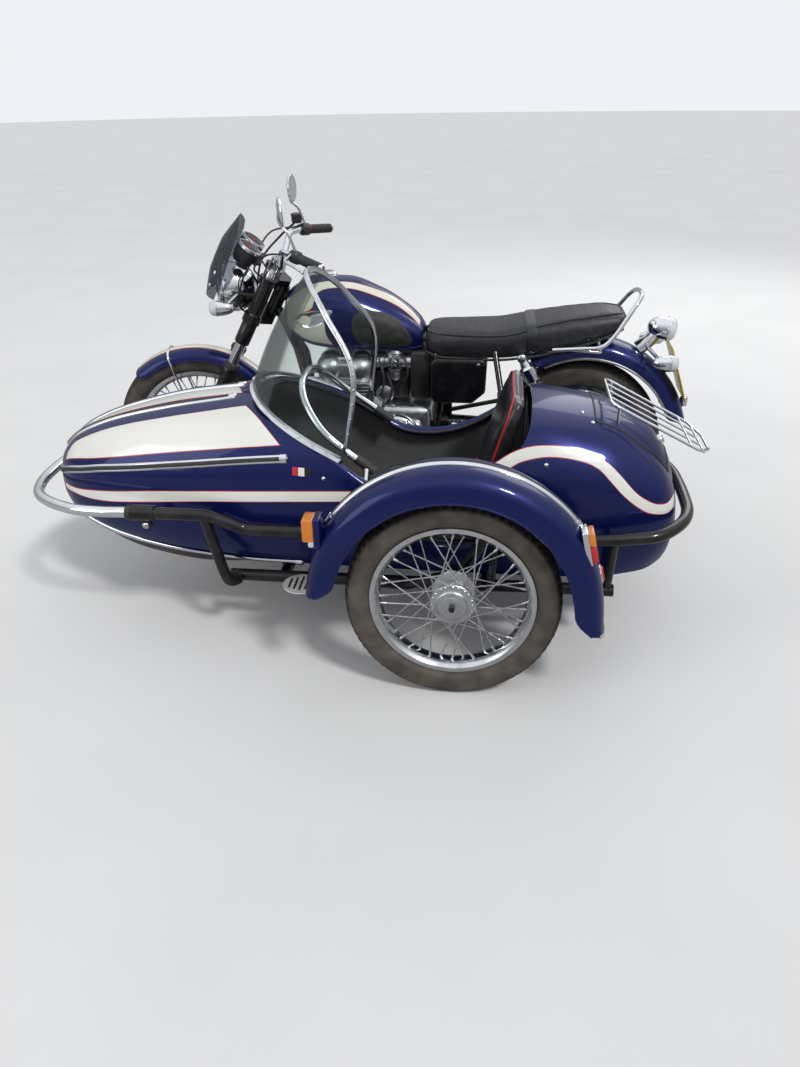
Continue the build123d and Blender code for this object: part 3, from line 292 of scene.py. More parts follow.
# %% Camera, floor and light
EYE = np.array([0.317, 3.312, 1.612])
LOOK = Vector((0.102, -0.880, -0.464)).normalized()
RIGHT = Vector((-0.994, -0.108, -0.014)).normalized()
FRAME_LONG = 1067
FOCAL_PIXELS = 881.2
SENSOR = 36.0

camera_data = bpy.data.cameras.new("camera")
camera_data.sensor_width = SENSOR
camera_data.lens = FOCAL_PIXELS / FRAME_LONG * SENSOR
camera = bpy.data.objects.new("camera", camera_data)
up = RIGHT.cross(LOOK).normalized()
across = LOOK.cross(up).normalized()
turn = Matrix((across, up, -LOOK)).transposed().to_4x4()
camera.matrix_world = Matrix.Translation(Vector(EYE - ORIGIN)) @ turn
bpy.context.scene.collection.objects.link(camera)
bpy.context.scene.camera = camera

FLOOR_R = 40.0
floor_mesh = bpy.data.meshes.new("floor")
floor_ring = [(FLOOR_R * cos(2 * pi * i / 96), FLOOR_R * sin(2 * pi * i / 96), 0.0) for i in range(96)]
floor_mesh.from_pydata(floor_ring, [], [tuple(range(96))])
floor = bpy.data.objects.new("floor", floor_mesh)
bpy.context.scene.collection.objects.link(floor)


def lamp(name, kind, coming_from, strength, spread, size=1.0):
    """A lamp that shines on the machine from a direction: a soft sun, or a square of light."""
    light = bpy.data.lights.new(name, kind)
    light.energy = strength
    obj = bpy.data.objects.new(name, light)
    way = Vector(coming_from)
    if kind == "SUN":
        light.angle = radians(spread)
        obj.location = way.normalized() * 8
    else:
        light.size = size
        obj.location = way
    obj.rotation_euler = (-way).to_track_quat("-Z", "Y").to_euler()
    bpy.context.scene.collection.objects.link(obj)


lamp("sun", "SUN", (-0.52, 0.56, 0.86), 1.55, 9)
lamp("front_fill", "AREA", (4.2, 3.6, 2.6), 60, 0, size=3.0)
lamp("rim", "AREA", (-2.5, -4.5, 3.5), 60, 0, size=3.0)

world = bpy.data.worlds.new("studio")
bpy.context.scene.world = world
world.use_nodes = True
world_nodes, world_links = world.node_tree.nodes, world.node_tree.links
backdrop = world_nodes["Background"]
backdrop.inputs["Color"].default_value = (0.93, 0.95, 1.0, 1)
ray = world_nodes.new("ShaderNodeLightPath")
place = world_nodes.new("ShaderNodeTexCoord")
height = world_nodes.new("ShaderNodeSeparateXYZ")
world_links.new(place.outputs["Generated"], height.inputs[0])
sky = world_nodes.new("ShaderNodeMapRange")
for socket, value in (("From Min", -0.05), ("From Max", 0.75), ("To Min", 0.20), ("To Max", 1.05)):
    sky.inputs[socket].default_value = value
world_links.new(height.outputs["Z"], sky.inputs["Value"])


def chosen(share, low, high):
    """A value that goes from low to high with share; low and high are numbers or outputs."""
    mix = world_nodes.new("ShaderNodeMix")
    world_links.new(share, mix.inputs["Factor"])
    for socket, value in ((mix.inputs["A"], low), (mix.inputs["B"], high)):
        if isinstance(value, float):
            socket.default_value = value
        else:
            world_links.new(value, socket)
    return mix.outputs["Result"]


strength = chosen(ray.outputs["Is Glossy Ray"], 0.50, sky.outputs["Result"])
strength = chosen(ray.outputs["Is Transmission Ray"], strength, 0.92)
strength = chosen(ray.outputs["Is Camera Ray"], strength, 0.92)
world_links.new(strength, backdrop.inputs["Strength"])
bpy.context.scene.view_settings.view_transform = "Standard"
print("lens", round(camera_data.lens, 2), "mm")

# %% [markdown]
# Every finish is a small tree of nodes that reads the object's own coordinates, so its grain
# stays put when a part moves. One function makes the shader, and small helpers add what
# the real surface shows: mottling in the colour, patches that shine less, and a fine bump.

# %% Finishes: helpers
def finish(name, colour, roughness, metallic=0.0, **sockets):
    """A plain shader to start from; sockets holds constants for its other inputs."""
    m = bpy.data.materials.new(name)
    m.use_nodes = True
    shader = m.node_tree.nodes["Principled BSDF"]
    shader.inputs["Base Color"].default_value = (*colour, 1)
    shader.inputs["Roughness"].default_value = roughness
    shader.inputs["Metallic"].default_value = metallic
    for socket, value in sockets.items():
        shader.inputs[socket.replace("_", " ")].default_value = value
    return m


def noise_of(m, size, detail=3.0, kind="ShaderNodeTexNoise", stretch=(1, 1, 1)):
    """A texture node on the object's coordinates; size is its grain in metres."""
    nodes, links = m.node_tree.nodes, m.node_tree.links
    place = nodes.new("ShaderNodeTexCoord")
    mapping = nodes.new("ShaderNodeMapping")
    mapping.inputs["Scale"].default_value = stretch
    texture = nodes.new(kind)
    texture.inputs["Scale"].default_value = 1.0 / size
    if "Detail" in texture.inputs:
        texture.inputs["Detail"].default_value = detail
    links.new(place.outputs["Object"], mapping.inputs["Vector"])
    links.new(mapping.outputs["Vector"], texture.inputs["Vector"])
    return texture


def value_of(texture):
    """The output of a texture node that holds its pattern as one value."""
    return texture.outputs["Distance"] if "Distance" in texture.outputs else texture.outputs[0]


def mottle(m, other, size, low=0.35, high=0.65, detail=3.0, **where):
    """Blends the colour towards another by a soft pattern."""
    nodes, links = m.node_tree.nodes, m.node_tree.links
    shader = nodes["Principled BSDF"]
    ramp = nodes.new("ShaderNodeValToRGB")
    ramp.color_ramp.elements[0].position = low
    ramp.color_ramp.elements[0].color = shader.inputs["Base Color"].default_value
    ramp.color_ramp.elements[1].position = high
    ramp.color_ramp.elements[1].color = (*other, 1)
    links.new(value_of(noise_of(m, size, detail, **where)), ramp.inputs["Fac"])
    links.new(ramp.outputs["Color"], shader.inputs["Base Color"])
    return m


def dull(m, size, low, high, detail=4.0, **where):
    """Lets the roughness wander between two values."""
    nodes, links = m.node_tree.nodes, m.node_tree.links
    span = nodes.new("ShaderNodeMapRange")
    span.inputs["From Min"].default_value = 0.3
    span.inputs["From Max"].default_value = 0.7
    span.inputs["To Min"].default_value = low
    span.inputs["To Max"].default_value = high
    links.new(value_of(noise_of(m, size, detail, **where)), span.inputs["Value"])
    links.new(span.outputs["Result"], nodes["Principled BSDF"].inputs["Roughness"])
    return m


def grain(m, size, depth, kind="ShaderNodeTexNoise", detail=3.0, **where):
    """A bump of a real depth in metres; a second call adds to the first."""
    nodes, links = m.node_tree.nodes, m.node_tree.links
    shader = nodes["Principled BSDF"]
    bump = nodes.new("ShaderNodeBump")
    bump.inputs["Strength"].default_value = 1.0
    bump.inputs["Distance"].default_value = depth
    links.new(value_of(noise_of(m, size, detail, kind, **where)), bump.inputs["Height"])
    target = shader.inputs["Normal"]
    if target.is_linked:
        links.new(target.links[0].from_socket, bump.inputs["Normal"])
    links.new(bump.outputs["Normal"], target)
    return m


# %% [markdown]
# Lacquer is a coloured coat with tiny flakes in it under clear varnish. The flakes are a
# fine cell pattern that changes the colour a little, and the varnish is the shader's coat.
# White and cream areas are solid colour, so they have the varnish but no flakes.

# %% Finishes: lacquer
BLUE = (0.0022, 0.0045, 0.036)
blue_paint = finish("blue_lacquer", BLUE, 0.30, 0.40, Coat_Weight=0.45, Coat_Roughness=0.04,
                    Specular_IOR_Level=0.15)
mottle(blue_paint, (0.005, 0.011, 0.095), 0.0011, 0.55, 0.85, kind="ShaderNodeTexVoronoi")
dull(blue_paint, 0.35, 0.26, 0.38)
grain(blue_paint, 0.012, 0.00002)
white_paint = finish("white_lacquer", (0.80, 0.80, 0.74), 0.28, Coat_Weight=1.0, Coat_Roughness=0.05)
mottle(white_paint, (0.74, 0.73, 0.66), 0.25, 0.45, 0.75)
grain(white_paint, 0.012, 0.00002)
cream_paint = finish("cream_lacquer", (0.80, 0.75, 0.62), 0.28, Coat_Weight=1.0, Coat_Roughness=0.05)
mottle(cream_paint, (0.74, 0.69, 0.55), 0.25, 0.45, 0.75)
red_line = finish("red_line", (0.55, 0.012, 0.022), 0.32, Coat_Weight=0.8, Coat_Roughness=0.06)
mottle(red_line, (0.44, 0.01, 0.02), 0.08)
black_paint = finish("black_lacquer", (0.006, 0.006, 0.007), 0.24, Coat_Weight=0.5, Coat_Roughness=0.06,
                     Specular_IOR_Level=0.2)
mottle(black_paint, (0.022, 0.021, 0.020), 0.05, 0.45, 0.8)
dull(black_paint, 0.06, 0.20, 0.34)
grain(black_paint, 0.010, 0.00003)

# %% [markdown]
# Chrome is a thin, very smooth plate, polished alloy is a little duller, and cast alloy is
# rough from its mould. All are the same shader, fully metallic, and differ in colour, in
# roughness and in the depth of a fine bump.

# %% Finishes: bright metal
chrome = finish("chrome", (0.80, 0.81, 0.83), 0.06, 1.0)
mottle(chrome, (0.70, 0.71, 0.74), 0.05, 0.4, 0.8)
dull(chrome, 0.03, 0.035, 0.11)
polished = finish("polished_alloy", (0.68, 0.69, 0.70), 0.16, 1.0)
mottle(polished, (0.56, 0.57, 0.58), 0.03, 0.4, 0.75)
dull(polished, 0.02, 0.13, 0.26)
grain(polished, 0.004, 0.00001)
satin_alloy = finish("satin_alloy", (0.56, 0.57, 0.58), 0.34, 1.0)
mottle(satin_alloy, (0.42, 0.42, 0.41), 0.02, 0.4, 0.8)
dull(satin_alloy, 0.015, 0.28, 0.46)
grain(satin_alloy, 0.0022, 0.00005)
cast_alloy = finish("cast_alloy", (0.50, 0.50, 0.49), 0.48, 0.9)
mottle(cast_alloy, (0.30, 0.29, 0.27), 0.018, 0.42, 0.8)
grain(cast_alloy, 0.0015, 0.00012)
plated = finish("bright_steel", (0.62, 0.63, 0.64), 0.22, 1.0)
mottle(plated, (0.44, 0.42, 0.40), 0.012, 0.45, 0.85)
dull(plated, 0.01, 0.17, 0.34)

# %% [markdown]
# Rubber, vinyl, plastic and carpet are not metals, and scatter light from their surface.
# A fine bump of a real depth tells them apart: grain on vinyl, tufts on carpet.

# %% Finishes: rubber, vinyl, plastic, carpet
tread_rubber = finish("tread_rubber", (0.030, 0.028, 0.026), 0.72, Specular_IOR_Level=0.35)
mottle(tread_rubber, (0.085, 0.072, 0.058), 0.03, 0.42, 0.78)
grain(tread_rubber, 0.003, 0.0002)
wall_rubber = finish("wall_rubber", (0.050, 0.042, 0.035), 0.60, Specular_IOR_Level=0.4)
mottle(wall_rubber, (0.11, 0.092, 0.074), 0.06, 0.35, 0.75)
grain(wall_rubber, 0.002, 0.0001)
black_rubber = finish("black_rubber", (0.018, 0.018, 0.018), 0.58)
mottle(black_rubber, (0.040, 0.038, 0.036), 0.015, 0.4, 0.8)
grain(black_rubber, 0.0015, 0.00008)
vinyl = finish("black_vinyl", (0.016, 0.017, 0.018), 0.44, Specular_IOR_Level=0.45)
mottle(vinyl, (0.034, 0.034, 0.036), 0.02, 0.4, 0.8)
grain(vinyl, 0.0022, 0.00022, kind="ShaderNodeTexVoronoi")
gloss_vinyl = finish("gloss_vinyl", (0.012, 0.013, 0.015), 0.26, Coat_Weight=0.3, Coat_Roughness=0.2)
mottle(gloss_vinyl, (0.025, 0.026, 0.030), 0.03, 0.4, 0.8)
grain(gloss_vinyl, 0.003, 0.00012, kind="ShaderNodeTexVoronoi")
red_piping = finish("red_piping", (0.42, 0.02, 0.02), 0.42)
mottle(red_piping, (0.30, 0.014, 0.014), 0.006)
# Black plastic. The same finish also paints the shade in the hub's and the discs' holes.
black_plastic = finish("black_plastic", (0.020, 0.020, 0.021), 0.38)
mottle(black_plastic, (0.036, 0.036, 0.036), 0.012, 0.45, 0.8)
grain(black_plastic, 0.0009, 0.00004)
carpet = finish("grey_carpet", (0.060, 0.060, 0.060), 0.95, Sheen_Weight=0.3)
mottle(carpet, (0.14, 0.14, 0.138), 0.0024, 0.35, 0.7)
grain(carpet, 0.0018, 0.0012)

# %% [markdown]
# Clear acrylic a few millimetres thick lets nearly all light through and shows itself by its
# reflections. A mix of a see-through shader and a glossy one, weighed by the viewing
# angle, renders it without noise. Lenses are coloured plastic with fine ribs inside.

# %% Finishes: clear sheet and lenses
def clear_sheet(name, tint, haze, gloss_roughness=0.02):
    """A thin see-through sheet: tint is what passes, haze the share that doesn't."""
    m = bpy.data.materials.new(name)
    m.use_nodes = True
    nodes, links = m.node_tree.nodes, m.node_tree.links
    shader = nodes["Principled BSDF"]
    shader.inputs["Base Color"].default_value = (0.12, 0.13, 0.13, 1)
    shader.inputs["Roughness"].default_value = gloss_roughness
    shader.inputs["IOR"].default_value = 1.49
    through = nodes.new("ShaderNodeBsdfTransparent")
    through.inputs["Color"].default_value = (*tint, 1)
    facing = nodes.new("ShaderNodeLayerWeight")
    facing.inputs["Blend"].default_value = 0.22
    share = nodes.new("ShaderNodeMapRange")
    share.inputs["To Min"].default_value = haze
    share.inputs["To Max"].default_value = min(1.0, haze + 0.55)
    mix = nodes.new("ShaderNodeMixShader")
    links.new(facing.outputs["Fresnel"], share.inputs["Value"])
    links.new(share.outputs["Result"], mix.inputs["Fac"])
    links.new(through.outputs[0], mix.inputs[1])
    links.new(shader.outputs[0], mix.inputs[2])
    links.new(mix.outputs[0], nodes["Material Output"].inputs["Surface"])
    return m


clear_acrylic = clear_sheet("clear_acrylic", (0.94, 0.97, 0.96), 0.05)
smoked_acrylic = clear_sheet("smoked_acrylic", (0.62, 0.63, 0.67), 0.10)


def lens(name, colour, rib=0.004, direction="Z"):
    """Ribbed coloured plastic."""
    m = finish(name, colour, 0.16, Coat_Weight=0.6, Coat_Roughness=0.04, Transmission_Weight=0.25)
    nodes, links = m.node_tree.nodes, m.node_tree.links
    place = nodes.new("ShaderNodeTexCoord")
    wave = nodes.new("ShaderNodeTexWave")
    wave.bands_direction = direction
    wave.inputs["Scale"].default_value = 0.314 / rib
    bump = nodes.new("ShaderNodeBump")
    bump.inputs["Strength"].default_value = 1.0
    bump.inputs["Distance"].default_value = 0.0007
    links.new(place.outputs["Object"], wave.inputs["Vector"])
    links.new(wave.outputs["Fac"], bump.inputs["Height"])
    links.new(bump.outputs["Normal"], nodes["Principled BSDF"].inputs["Normal"])
    return m


amber_lens = lens("amber_lens", (0.85, 0.26, 0.015))
red_lens = lens("red_lens", (0.62, 0.012, 0.015))
clear_lens = lens("clear_lens", (0.80, 0.82, 0.84))
plate_yellow = finish("plate_yellow", (0.86, 0.62, 0.03), 0.35, Coat_Weight=0.4)
mottle(plate_yellow, (0.76, 0.53, 0.03), 0.03)
mirror_glass = finish("mirror_glass", (0.86, 0.88, 0.90), 0.02, 1.0)
dull(mirror_glass, 0.05, 0.015, 0.04)
dial_face = finish("dial_face", (0.012, 0.012, 0.013), 0.5)
mottle(dial_face, (0.02, 0.02, 0.02), 0.01)
pale_floor = finish("pale_floor", (0.80, 0.80, 0.79), 0.75)
mottle(pale_floor, (0.77, 0.77, 0.76), 0.6)
floor_tree = pale_floor.node_tree
floor_ray = floor_tree.nodes.new("ShaderNodeLightPath")
floor_seen = floor_tree.nodes.new("ShaderNodeMixShader")
floor_dark = floor_tree.nodes.new("ShaderNodeBsdfDiffuse")
floor_dark.inputs["Color"].default_value = (0.42, 0.42, 0.42, 1)
floor_tree.links.new(floor_ray.outputs["Is Glossy Ray"], floor_seen.inputs["Fac"])
floor_tree.links.new(floor_tree.nodes["Principled BSDF"].outputs[0], floor_seen.inputs[1])
floor_tree.links.new(floor_dark.outputs[0], floor_seen.inputs[2])
floor_tree.links.new(floor_seen.outputs[0], floor_tree.nodes["Material Output"].inputs["Surface"])
floor_mesh.materials.append(pale_floor)
print(len(bpy.data.materials), "finishes")

# %% [markdown]
# A wheel is full of things that repeat: spokes, nipples, screws. Geometry Nodes copy one
# group of them round the axle. The tree takes the object's own mesh, places it on a row of
# points, turns each copy by its number, and makes the copies real. Two more trees of the
# same kind set copies along a straight line and along a path.

# %% Geometry Nodes: three ways to repeat
def new_tree(name, **inputs):
    """An empty geometry tree with named inputs; returns the tree, its input and its output."""
    tree = bpy.data.node_groups.new(name, "GeometryNodeTree")
    tree.interface.new_socket("Geometry", in_out="INPUT", socket_type="NodeSocketGeometry")
    for label, kind in inputs.items():
        tree.interface.new_socket(label, in_out="INPUT", socket_type=kind)
    tree.interface.new_socket("Geometry", in_out="OUTPUT", socket_type="NodeSocketGeometry")
    return tree, tree.nodes.new("NodeGroupInput"), tree.nodes.new("NodeGroupOutput")


def end_tree(tree, instances, given, out):
    """Realize the instances and set the material."""
    real = tree.nodes.new("GeometryNodeRealizeInstances")
    clad = tree.nodes.new("GeometryNodeSetMaterial")
    tree.links.new(instances, real.inputs[0])
    tree.links.new(real.outputs[0], clad.inputs["Geometry"])
    tree.links.new(given.outputs["Material"], clad.inputs["Material"])
    tree.links.new(clad.outputs[0], out.inputs[0])


FLOAT, WHOLE, ARROW = "NodeSocketFloat", "NodeSocketInt", "NodeSocketVector"
around_tree, given, out = new_tree(
    "copies_around", Count=WHOLE, Step=ARROW, Centre=ARROW, Material="NodeSocketMaterial"
)
nodes, links = around_tree.nodes, around_tree.links
line = nodes.new("GeometryNodeMeshLine")
links.new(given.outputs["Count"], line.inputs["Count"])
line.inputs["Offset"].default_value = (0, 0, 0)
shift = nodes.new("GeometryNodeSetPosition")
links.new(line.outputs[0], shift.inputs["Geometry"])
links.new(given.outputs["Centre"], shift.inputs["Position"])
number = nodes.new("GeometryNodeInputIndex")
spin = nodes.new("ShaderNodeVectorMath")
spin.operation = "SCALE"
links.new(given.outputs["Step"], spin.inputs[0])
links.new(number.outputs[0], spin.inputs["Scale"])
copies = nodes.new("GeometryNodeInstanceOnPoints")
links.new(shift.outputs[0], copies.inputs["Points"])
links.new(given.outputs["Geometry"], copies.inputs["Instance"])
links.new(spin.outputs[0], copies.inputs["Rotation"])
end_tree(around_tree, copies.outputs[0], given, out)

row_tree, given, out = new_tree("copies_in_a_row", Count=WHOLE, Step=ARROW, Material="NodeSocketMaterial")
nodes, links = row_tree.nodes, row_tree.links
line = nodes.new("GeometryNodeMeshLine")
links.new(given.outputs["Count"], line.inputs["Count"])
links.new(given.outputs["Step"], line.inputs["Offset"])
copies = nodes.new("GeometryNodeInstanceOnPoints")
links.new(line.outputs[0], copies.inputs["Points"])
links.new(given.outputs["Geometry"], copies.inputs["Instance"])
end_tree(row_tree, copies.outputs[0], given, out)

path_tree, given, out = new_tree(
    "domes_along_a_path", Count=WHOLE, Radius=FLOAT, Flatness=FLOAT, Material="NodeSocketMaterial"
)
nodes, links = path_tree.nodes, path_tree.links
as_curve = nodes.new("GeometryNodeMeshToCurve")
links.new(given.outputs["Geometry"], as_curve.inputs[0])
even = nodes.new("GeometryNodeResampleCurve")
links.new(as_curve.outputs[0], even.inputs["Curve"])
links.new(given.outputs["Count"], even.inputs["Count"])
upright = nodes.new("GeometryNodeInputNamedAttribute")
upright.data_type = "FLOAT_VECTOR"
upright.inputs["Name"].default_value = "upright"
aim = nodes.new("FunctionNodeAlignRotationToVector")
aim.axis = "Z"
links.new(upright.outputs[0], aim.inputs["Vector"])
dome = nodes.new("GeometryNodeMeshUVSphere")
dome.inputs["Segments"].default_value = 12
dome.inputs["Rings"].default_value = 6
links.new(given.outputs["Radius"], dome.inputs["Radius"])
flat = nodes.new("ShaderNodeCombineXYZ")
flat.inputs["X"].default_value = 1.0
flat.inputs["Y"].default_value = 1.0
links.new(given.outputs["Flatness"], flat.inputs["Z"])
copies = nodes.new("GeometryNodeInstanceOnPoints")
links.new(even.outputs[0], copies.inputs["Points"])
links.new(dome.outputs[0], copies.inputs["Instance"])
links.new(aim.outputs[0], copies.inputs["Rotation"])
links.new(flat.outputs[0], copies.inputs["Scale"])
end_tree(path_tree, copies.outputs[0], given, out)


def grow(obj, tree, **values):
    """Runs a tree on an object with named inputs, and makes the result its mesh."""
    modifier = obj.modifiers.new(tree.name, "NODES")
    modifier.node_group = tree
    for item in tree.interface.items_tree:
        if item.in_out == "INPUT" and item.name in values:
            modifier[item.identifier] = values[item.name]
    settle(obj)
    obj.data.shade_smooth()
    obj.data.set_sharp_from_angle(angle=radians(38))
    return obj


def copies_around(name, shape, count, centre, material, axis=(0, 1, 0), whole_turn=2 * pi, turn=False):
    """A shape drawn about the origin, repeated about an axis of the frame through centre."""
    obj = piece(name, (as_array(shape[0]) + ORIGIN, shape[1]), material)
    step = tuple(a * whole_turn / count for a in axis)
    grow(obj, around_tree, Count=count, Step=step, Centre=tuple(as_array([centre])[0] - ORIGIN),
         Material=material)
    if turn:
        to_row = Matrix.Translation(-Vector(ORIGIN))
        obj.data.transform(to_row @ STEER @ to_row.inverted())
    return obj


def domes_along(name, path, normals, count, radius, material, flatness=0.5):
    """Screw heads at even distances along a path on a surface."""
    mesh = bpy.data.meshes.new(name)
    pts = as_array(path) - ORIGIN
    mesh.from_pydata(pts.tolist(), [(i, i + 1) for i in range(len(pts) - 1)], [])
    upright = mesh.attributes.new("upright", "FLOAT_VECTOR", "POINT")
    upright.data.foreach_set("vector", as_array(normals).ravel())
    obj = bpy.data.objects.new(name, mesh)
    bpy.context.scene.collection.objects.link(obj)
    return grow(obj, path_tree, Count=count, Radius=radius, Flatness=flatness, Material=material)


# %% [markdown]
# A road tyre is one outline turned about the axle. The tread is cut into it by lowering
# points in a pattern: zigzag grooves round the tyre and short ones across its shoulders.
# The sidewall is lighter from dust, so it gets a finish of its own.

# %% Tyres
GROOVE = 0.0045


def tread_depth(turn_share, across, blocks, style):
    """How far the tread is cut at a place; across runs from -1 to 1 over the tyre's width."""
    phase = (turn_share * blocks) % 1.0
    sideways = abs(across)
    if style == "rib":
        zigzag = 0.03 * (1 if phase < 0.5 else -1)
        lines = (0.0, 0.26, 0.52)
        cut = any(abs(sideways - line - zigzag) < 0.035 for line in lines)
        return GROOVE if cut or (sideways > 0.60 and phase < 0.25 and sideways < 0.86) else 0.0
    if style == "block":
        zigzag = 0.04 * (1 if phase < 0.5 else -1)
        cut = any(abs(sideways - line - zigzag) < 0.04 for line in (0.17, 0.46))
        return GROOVE if cut or (0.5 < sideways < 0.90 and phase < 0.34) else 0.0
    slant = (phase + sideways * 0.8) % 1.0
    return GROOVE if slant < 0.13 and 0.08 < sideways < 0.84 or sideways < 0.02 else 0.0


def tyre(name, axle, radius, width, rim_radius, rim_width, blocks, style, body, slot, node, turn=False):
    """A tyre about the axle at its real size, tread and sidewalls as one mesh with two finishes."""
    half = width / 2
    height = radius - rim_radius
    bead = rim_width / 2 - 0.0045
    side = [
        (-bead, rim_radius - 0.0115), (-bead, rim_radius + 0.001), (-bead - 0.004, rim_radius + 0.005),
        (-half * 0.84, rim_radius + 0.010), (-half * 0.95, rim_radius + 0.26 * height),
        (-half * 0.99, rim_radius + 0.42 * height), (-half * 0.995, rim_radius + 0.55 * height),
        (-half * 0.96, rim_radius + 0.70 * height), (-half * 0.925, rim_radius + 0.79 * height),
    ]
    crown_from = side[-1]
    angles = np.linspace(-1, 1, 33)
    crown = []
    for a in angles:
        y = half * 0.925 * a
        level = sqrt(max(0.0, 1 - (abs(a) ** 2.3) * 0.985))
        drop = (radius - crown_from[1]) * (1 - level) / (1 - sqrt(0.015))
        crown.append((y, radius - drop, a))
    outline = [(y, r, None) for y, r in side] + crown[1:-1] + [(-y, r, None) for y, r in reversed(side)]
    steps = blocks * 5
    rings = []
    for i in range(steps):
        t = 2 * pi * i / steps
        ring = []
        for y, r, a in outline:
            cut = tread_depth(i / steps, a, blocks, style) if a is not None else 0.0
            rr = r - cut
            ring.append((axle[0] + rr * cos(t), axle[1] + y, axle[2] + rr * sin(t)))
        rings.append(ring)
    shape = skin(rings, around=True, ends=False, loop=True)
    obj = piece(name, shape, wall_rubber, tread_rubber, turn=turn, sharp=radians(50))
    centre = STEER @ Vector(axle) if turn else Vector(axle)
    tread_from = crown_from[1] - 0.002
    spin_axis = (STEER.to_3x3() @ Vector((0, 1, 0))) if turn else Vector((0, 1, 0))
    for f in obj.data.polygons:
        arm = Vector(f.center) + Vector(ORIGIN) - centre
        out = (arm - spin_axis * arm.dot(spin_axis)).length
        f.material_index = 1 if out > tread_from else 0
    return keep(obj, slot, body, [node])


tyre("front_tyre_tread", FRONT_AXLE, 0.331, 0.102, 0.254, 0.068, 72, "rib",
     "front_wheel_body", "tyre_rubber", "front_tyre", turn=True)
tyre("rear_tyre_tread", REAR_AXLE, 0.320, 0.130, 0.231, 0.088, 48, "chevron",
     "rear_wheel_body", "tyre_rubber", "rear_tyre")
tyre("sidecar_tyre_tread", SIDE_AXLE, 0.304, 0.092, 0.2335, 0.062, 72, "block",
     "sidecar_wheel_body", "tyre_rubber", "sidecar_tyre")
print("tyres made")

# %% [markdown]
# The rim is a rolled hoop with a dropped middle. Spokes cross on their way to the hub, so
# that some pull forwards and some backwards: four of them make a group, and the group
# repeats ten times. Each ends in a nipple that sits in the rim.

# %% Rims, hubs and spokes
SPOKE_GROUPS = 10
SPOKE_LEAN = radians(56)
WIRE_R = 0.0021


def rim_outline(rim_radius, rim_width):
    """A rolled rim's section as (across, radius)."""
    half = rim_width / 2
    edge, bed, well = rim_radius, rim_radius - 0.014, rim_radius - 0.026
    return [
        (-half, edge - 0.001), (-half + 0.0015, edge), (-half + 0.003, edge - 0.001),
        (-half + 0.004, bed + 0.002),
        (-half * 0.45, well + 0.003), (half * 0.45, well + 0.003),
        (half - 0.004, bed + 0.002), (half - 0.003, edge - 0.001), (half - 0.0015, edge),
        (half, edge - 0.001),
        (half + 0.0002, bed), (half - 0.004, bed - 0.003), (half * 0.55, well - 0.0008),
        (half * 0.30, well - 0.002), (-half * 0.30, well - 0.002), (-half * 0.55, well - 0.0008),
        (-half + 0.004, bed - 0.003), (-half - 0.0002, bed),
    ]


def spoke_group(hub_radius, hub_half, rim_radius):
    """Four crossing spokes with their nipples, drawn about the origin."""
    parts = []
    well = rim_radius - 0.028
    for k, (side, lean) in enumerate(((1, 1), (-1, 1), (1, -1), (-1, -1))):
        rim_turn = 2 * pi / SPOKE_GROUPS * k / 4
        hub_turn = rim_turn + lean * SPOKE_LEAN
        foot = Vector((hub_radius * cos(hub_turn), side * hub_half, hub_radius * sin(hub_turn)))
        head = Vector((well * cos(rim_turn), side * 0.007, well * sin(rim_turn)))
        way = (head - foot).normalized()
        parts.append(bar(foot, head, WIRE_R, sides=8))
        parts.append(bar(head - way * 0.016, head + way * 0.002, 0.0034, 0.0040, sides=10, soft=0.0006))
        elbow = Vector((foot.x, side * (hub_half + 0.004), foot.z))
        parts.append(bar(foot - Vector((0, side * 0.002, 0)), elbow, 0.0036, sides=8, soft=0.001))
    return together(*parts)


def wheel(prefix, axle, rim, hub, flange, hub_half, body, node, turn=False):
    """Rim, hub and spokes; hub is an outline of (along the axle, radius)."""
    parts = []
    rim_shape = turned(rim_outline(*rim), axle, steps=160, ring=True)
    parts.append((piece(prefix + "_rim", rim_shape, polished, turn=turn), "alloy"))
    hub_shape = turned(hub, axle, steps=72)
    parts.append((piece(prefix + "_hub", hub_shape, satin_alloy, turn=turn, sharp=radians(30)), "alloy"))
    group = spoke_group(flange, hub_half, rim[0])
    spokes = copies_around(prefix + "_spokes", group, SPOKE_GROUPS, axle, plated, turn=turn)
    parts.append((spokes, "bright_steel"))
    for k, (obj, slot) in enumerate(parts):
        keep(obj, slot, body, [node] if k == 0 else [])


SIDE_HUB = [
    (-0.052, 0), (-0.052, 0.040), (-0.046, 0.060), (-0.040, 0.064), (-0.033, 0.062), (-0.026, 0.044),
    (0.010, 0.042),
    (0.020, 0.050), (0.026, 0.060), (0.030, 0.063), (0.036, 0.063), (0.0385, 0.061), (0.040, 0.054),
    (0.041, 0.046),
    (0.044, 0.042), (0.047, 0.0405), (0.049, 0.036), (0.0485, 0.031), (0.050, 0.028), (0.0515, 0.022),
    (0.0518, 0),
]
wheel("sidecar_wheel", SIDE_AXLE, (0.2335, 0.062), SIDE_HUB, 0.056, 0.036, "sidecar_wheel_body",
      "sidecar_wheel")
FRONT_HUB = [
    (-0.044, 0), (-0.044, 0.024), (-0.036, 0.026), (-0.034, 0.046), (-0.026, 0.046), (-0.020, 0.028),
    (0.020, 0.028), (0.026, 0.046), (0.034, 0.046), (0.036, 0.026), (0.044, 0.024), (0.044, 0),
]
wheel("front_wheel", FRONT_AXLE, (0.254, 0.068), FRONT_HUB, 0.040, 0.030, "front_wheel_body",
      "front_wheel", turn=True)
REAR_HUB = [
    (-0.058, 0), (-0.058, 0.030), (-0.048, 0.032), (-0.046, 0.060), (-0.036, 0.060), (-0.028, 0.040),
    (0.028, 0.040), (0.036, 0.060), (0.046, 0.060), (0.048, 0.032), (0.058, 0.030), (0.058, 0),
]
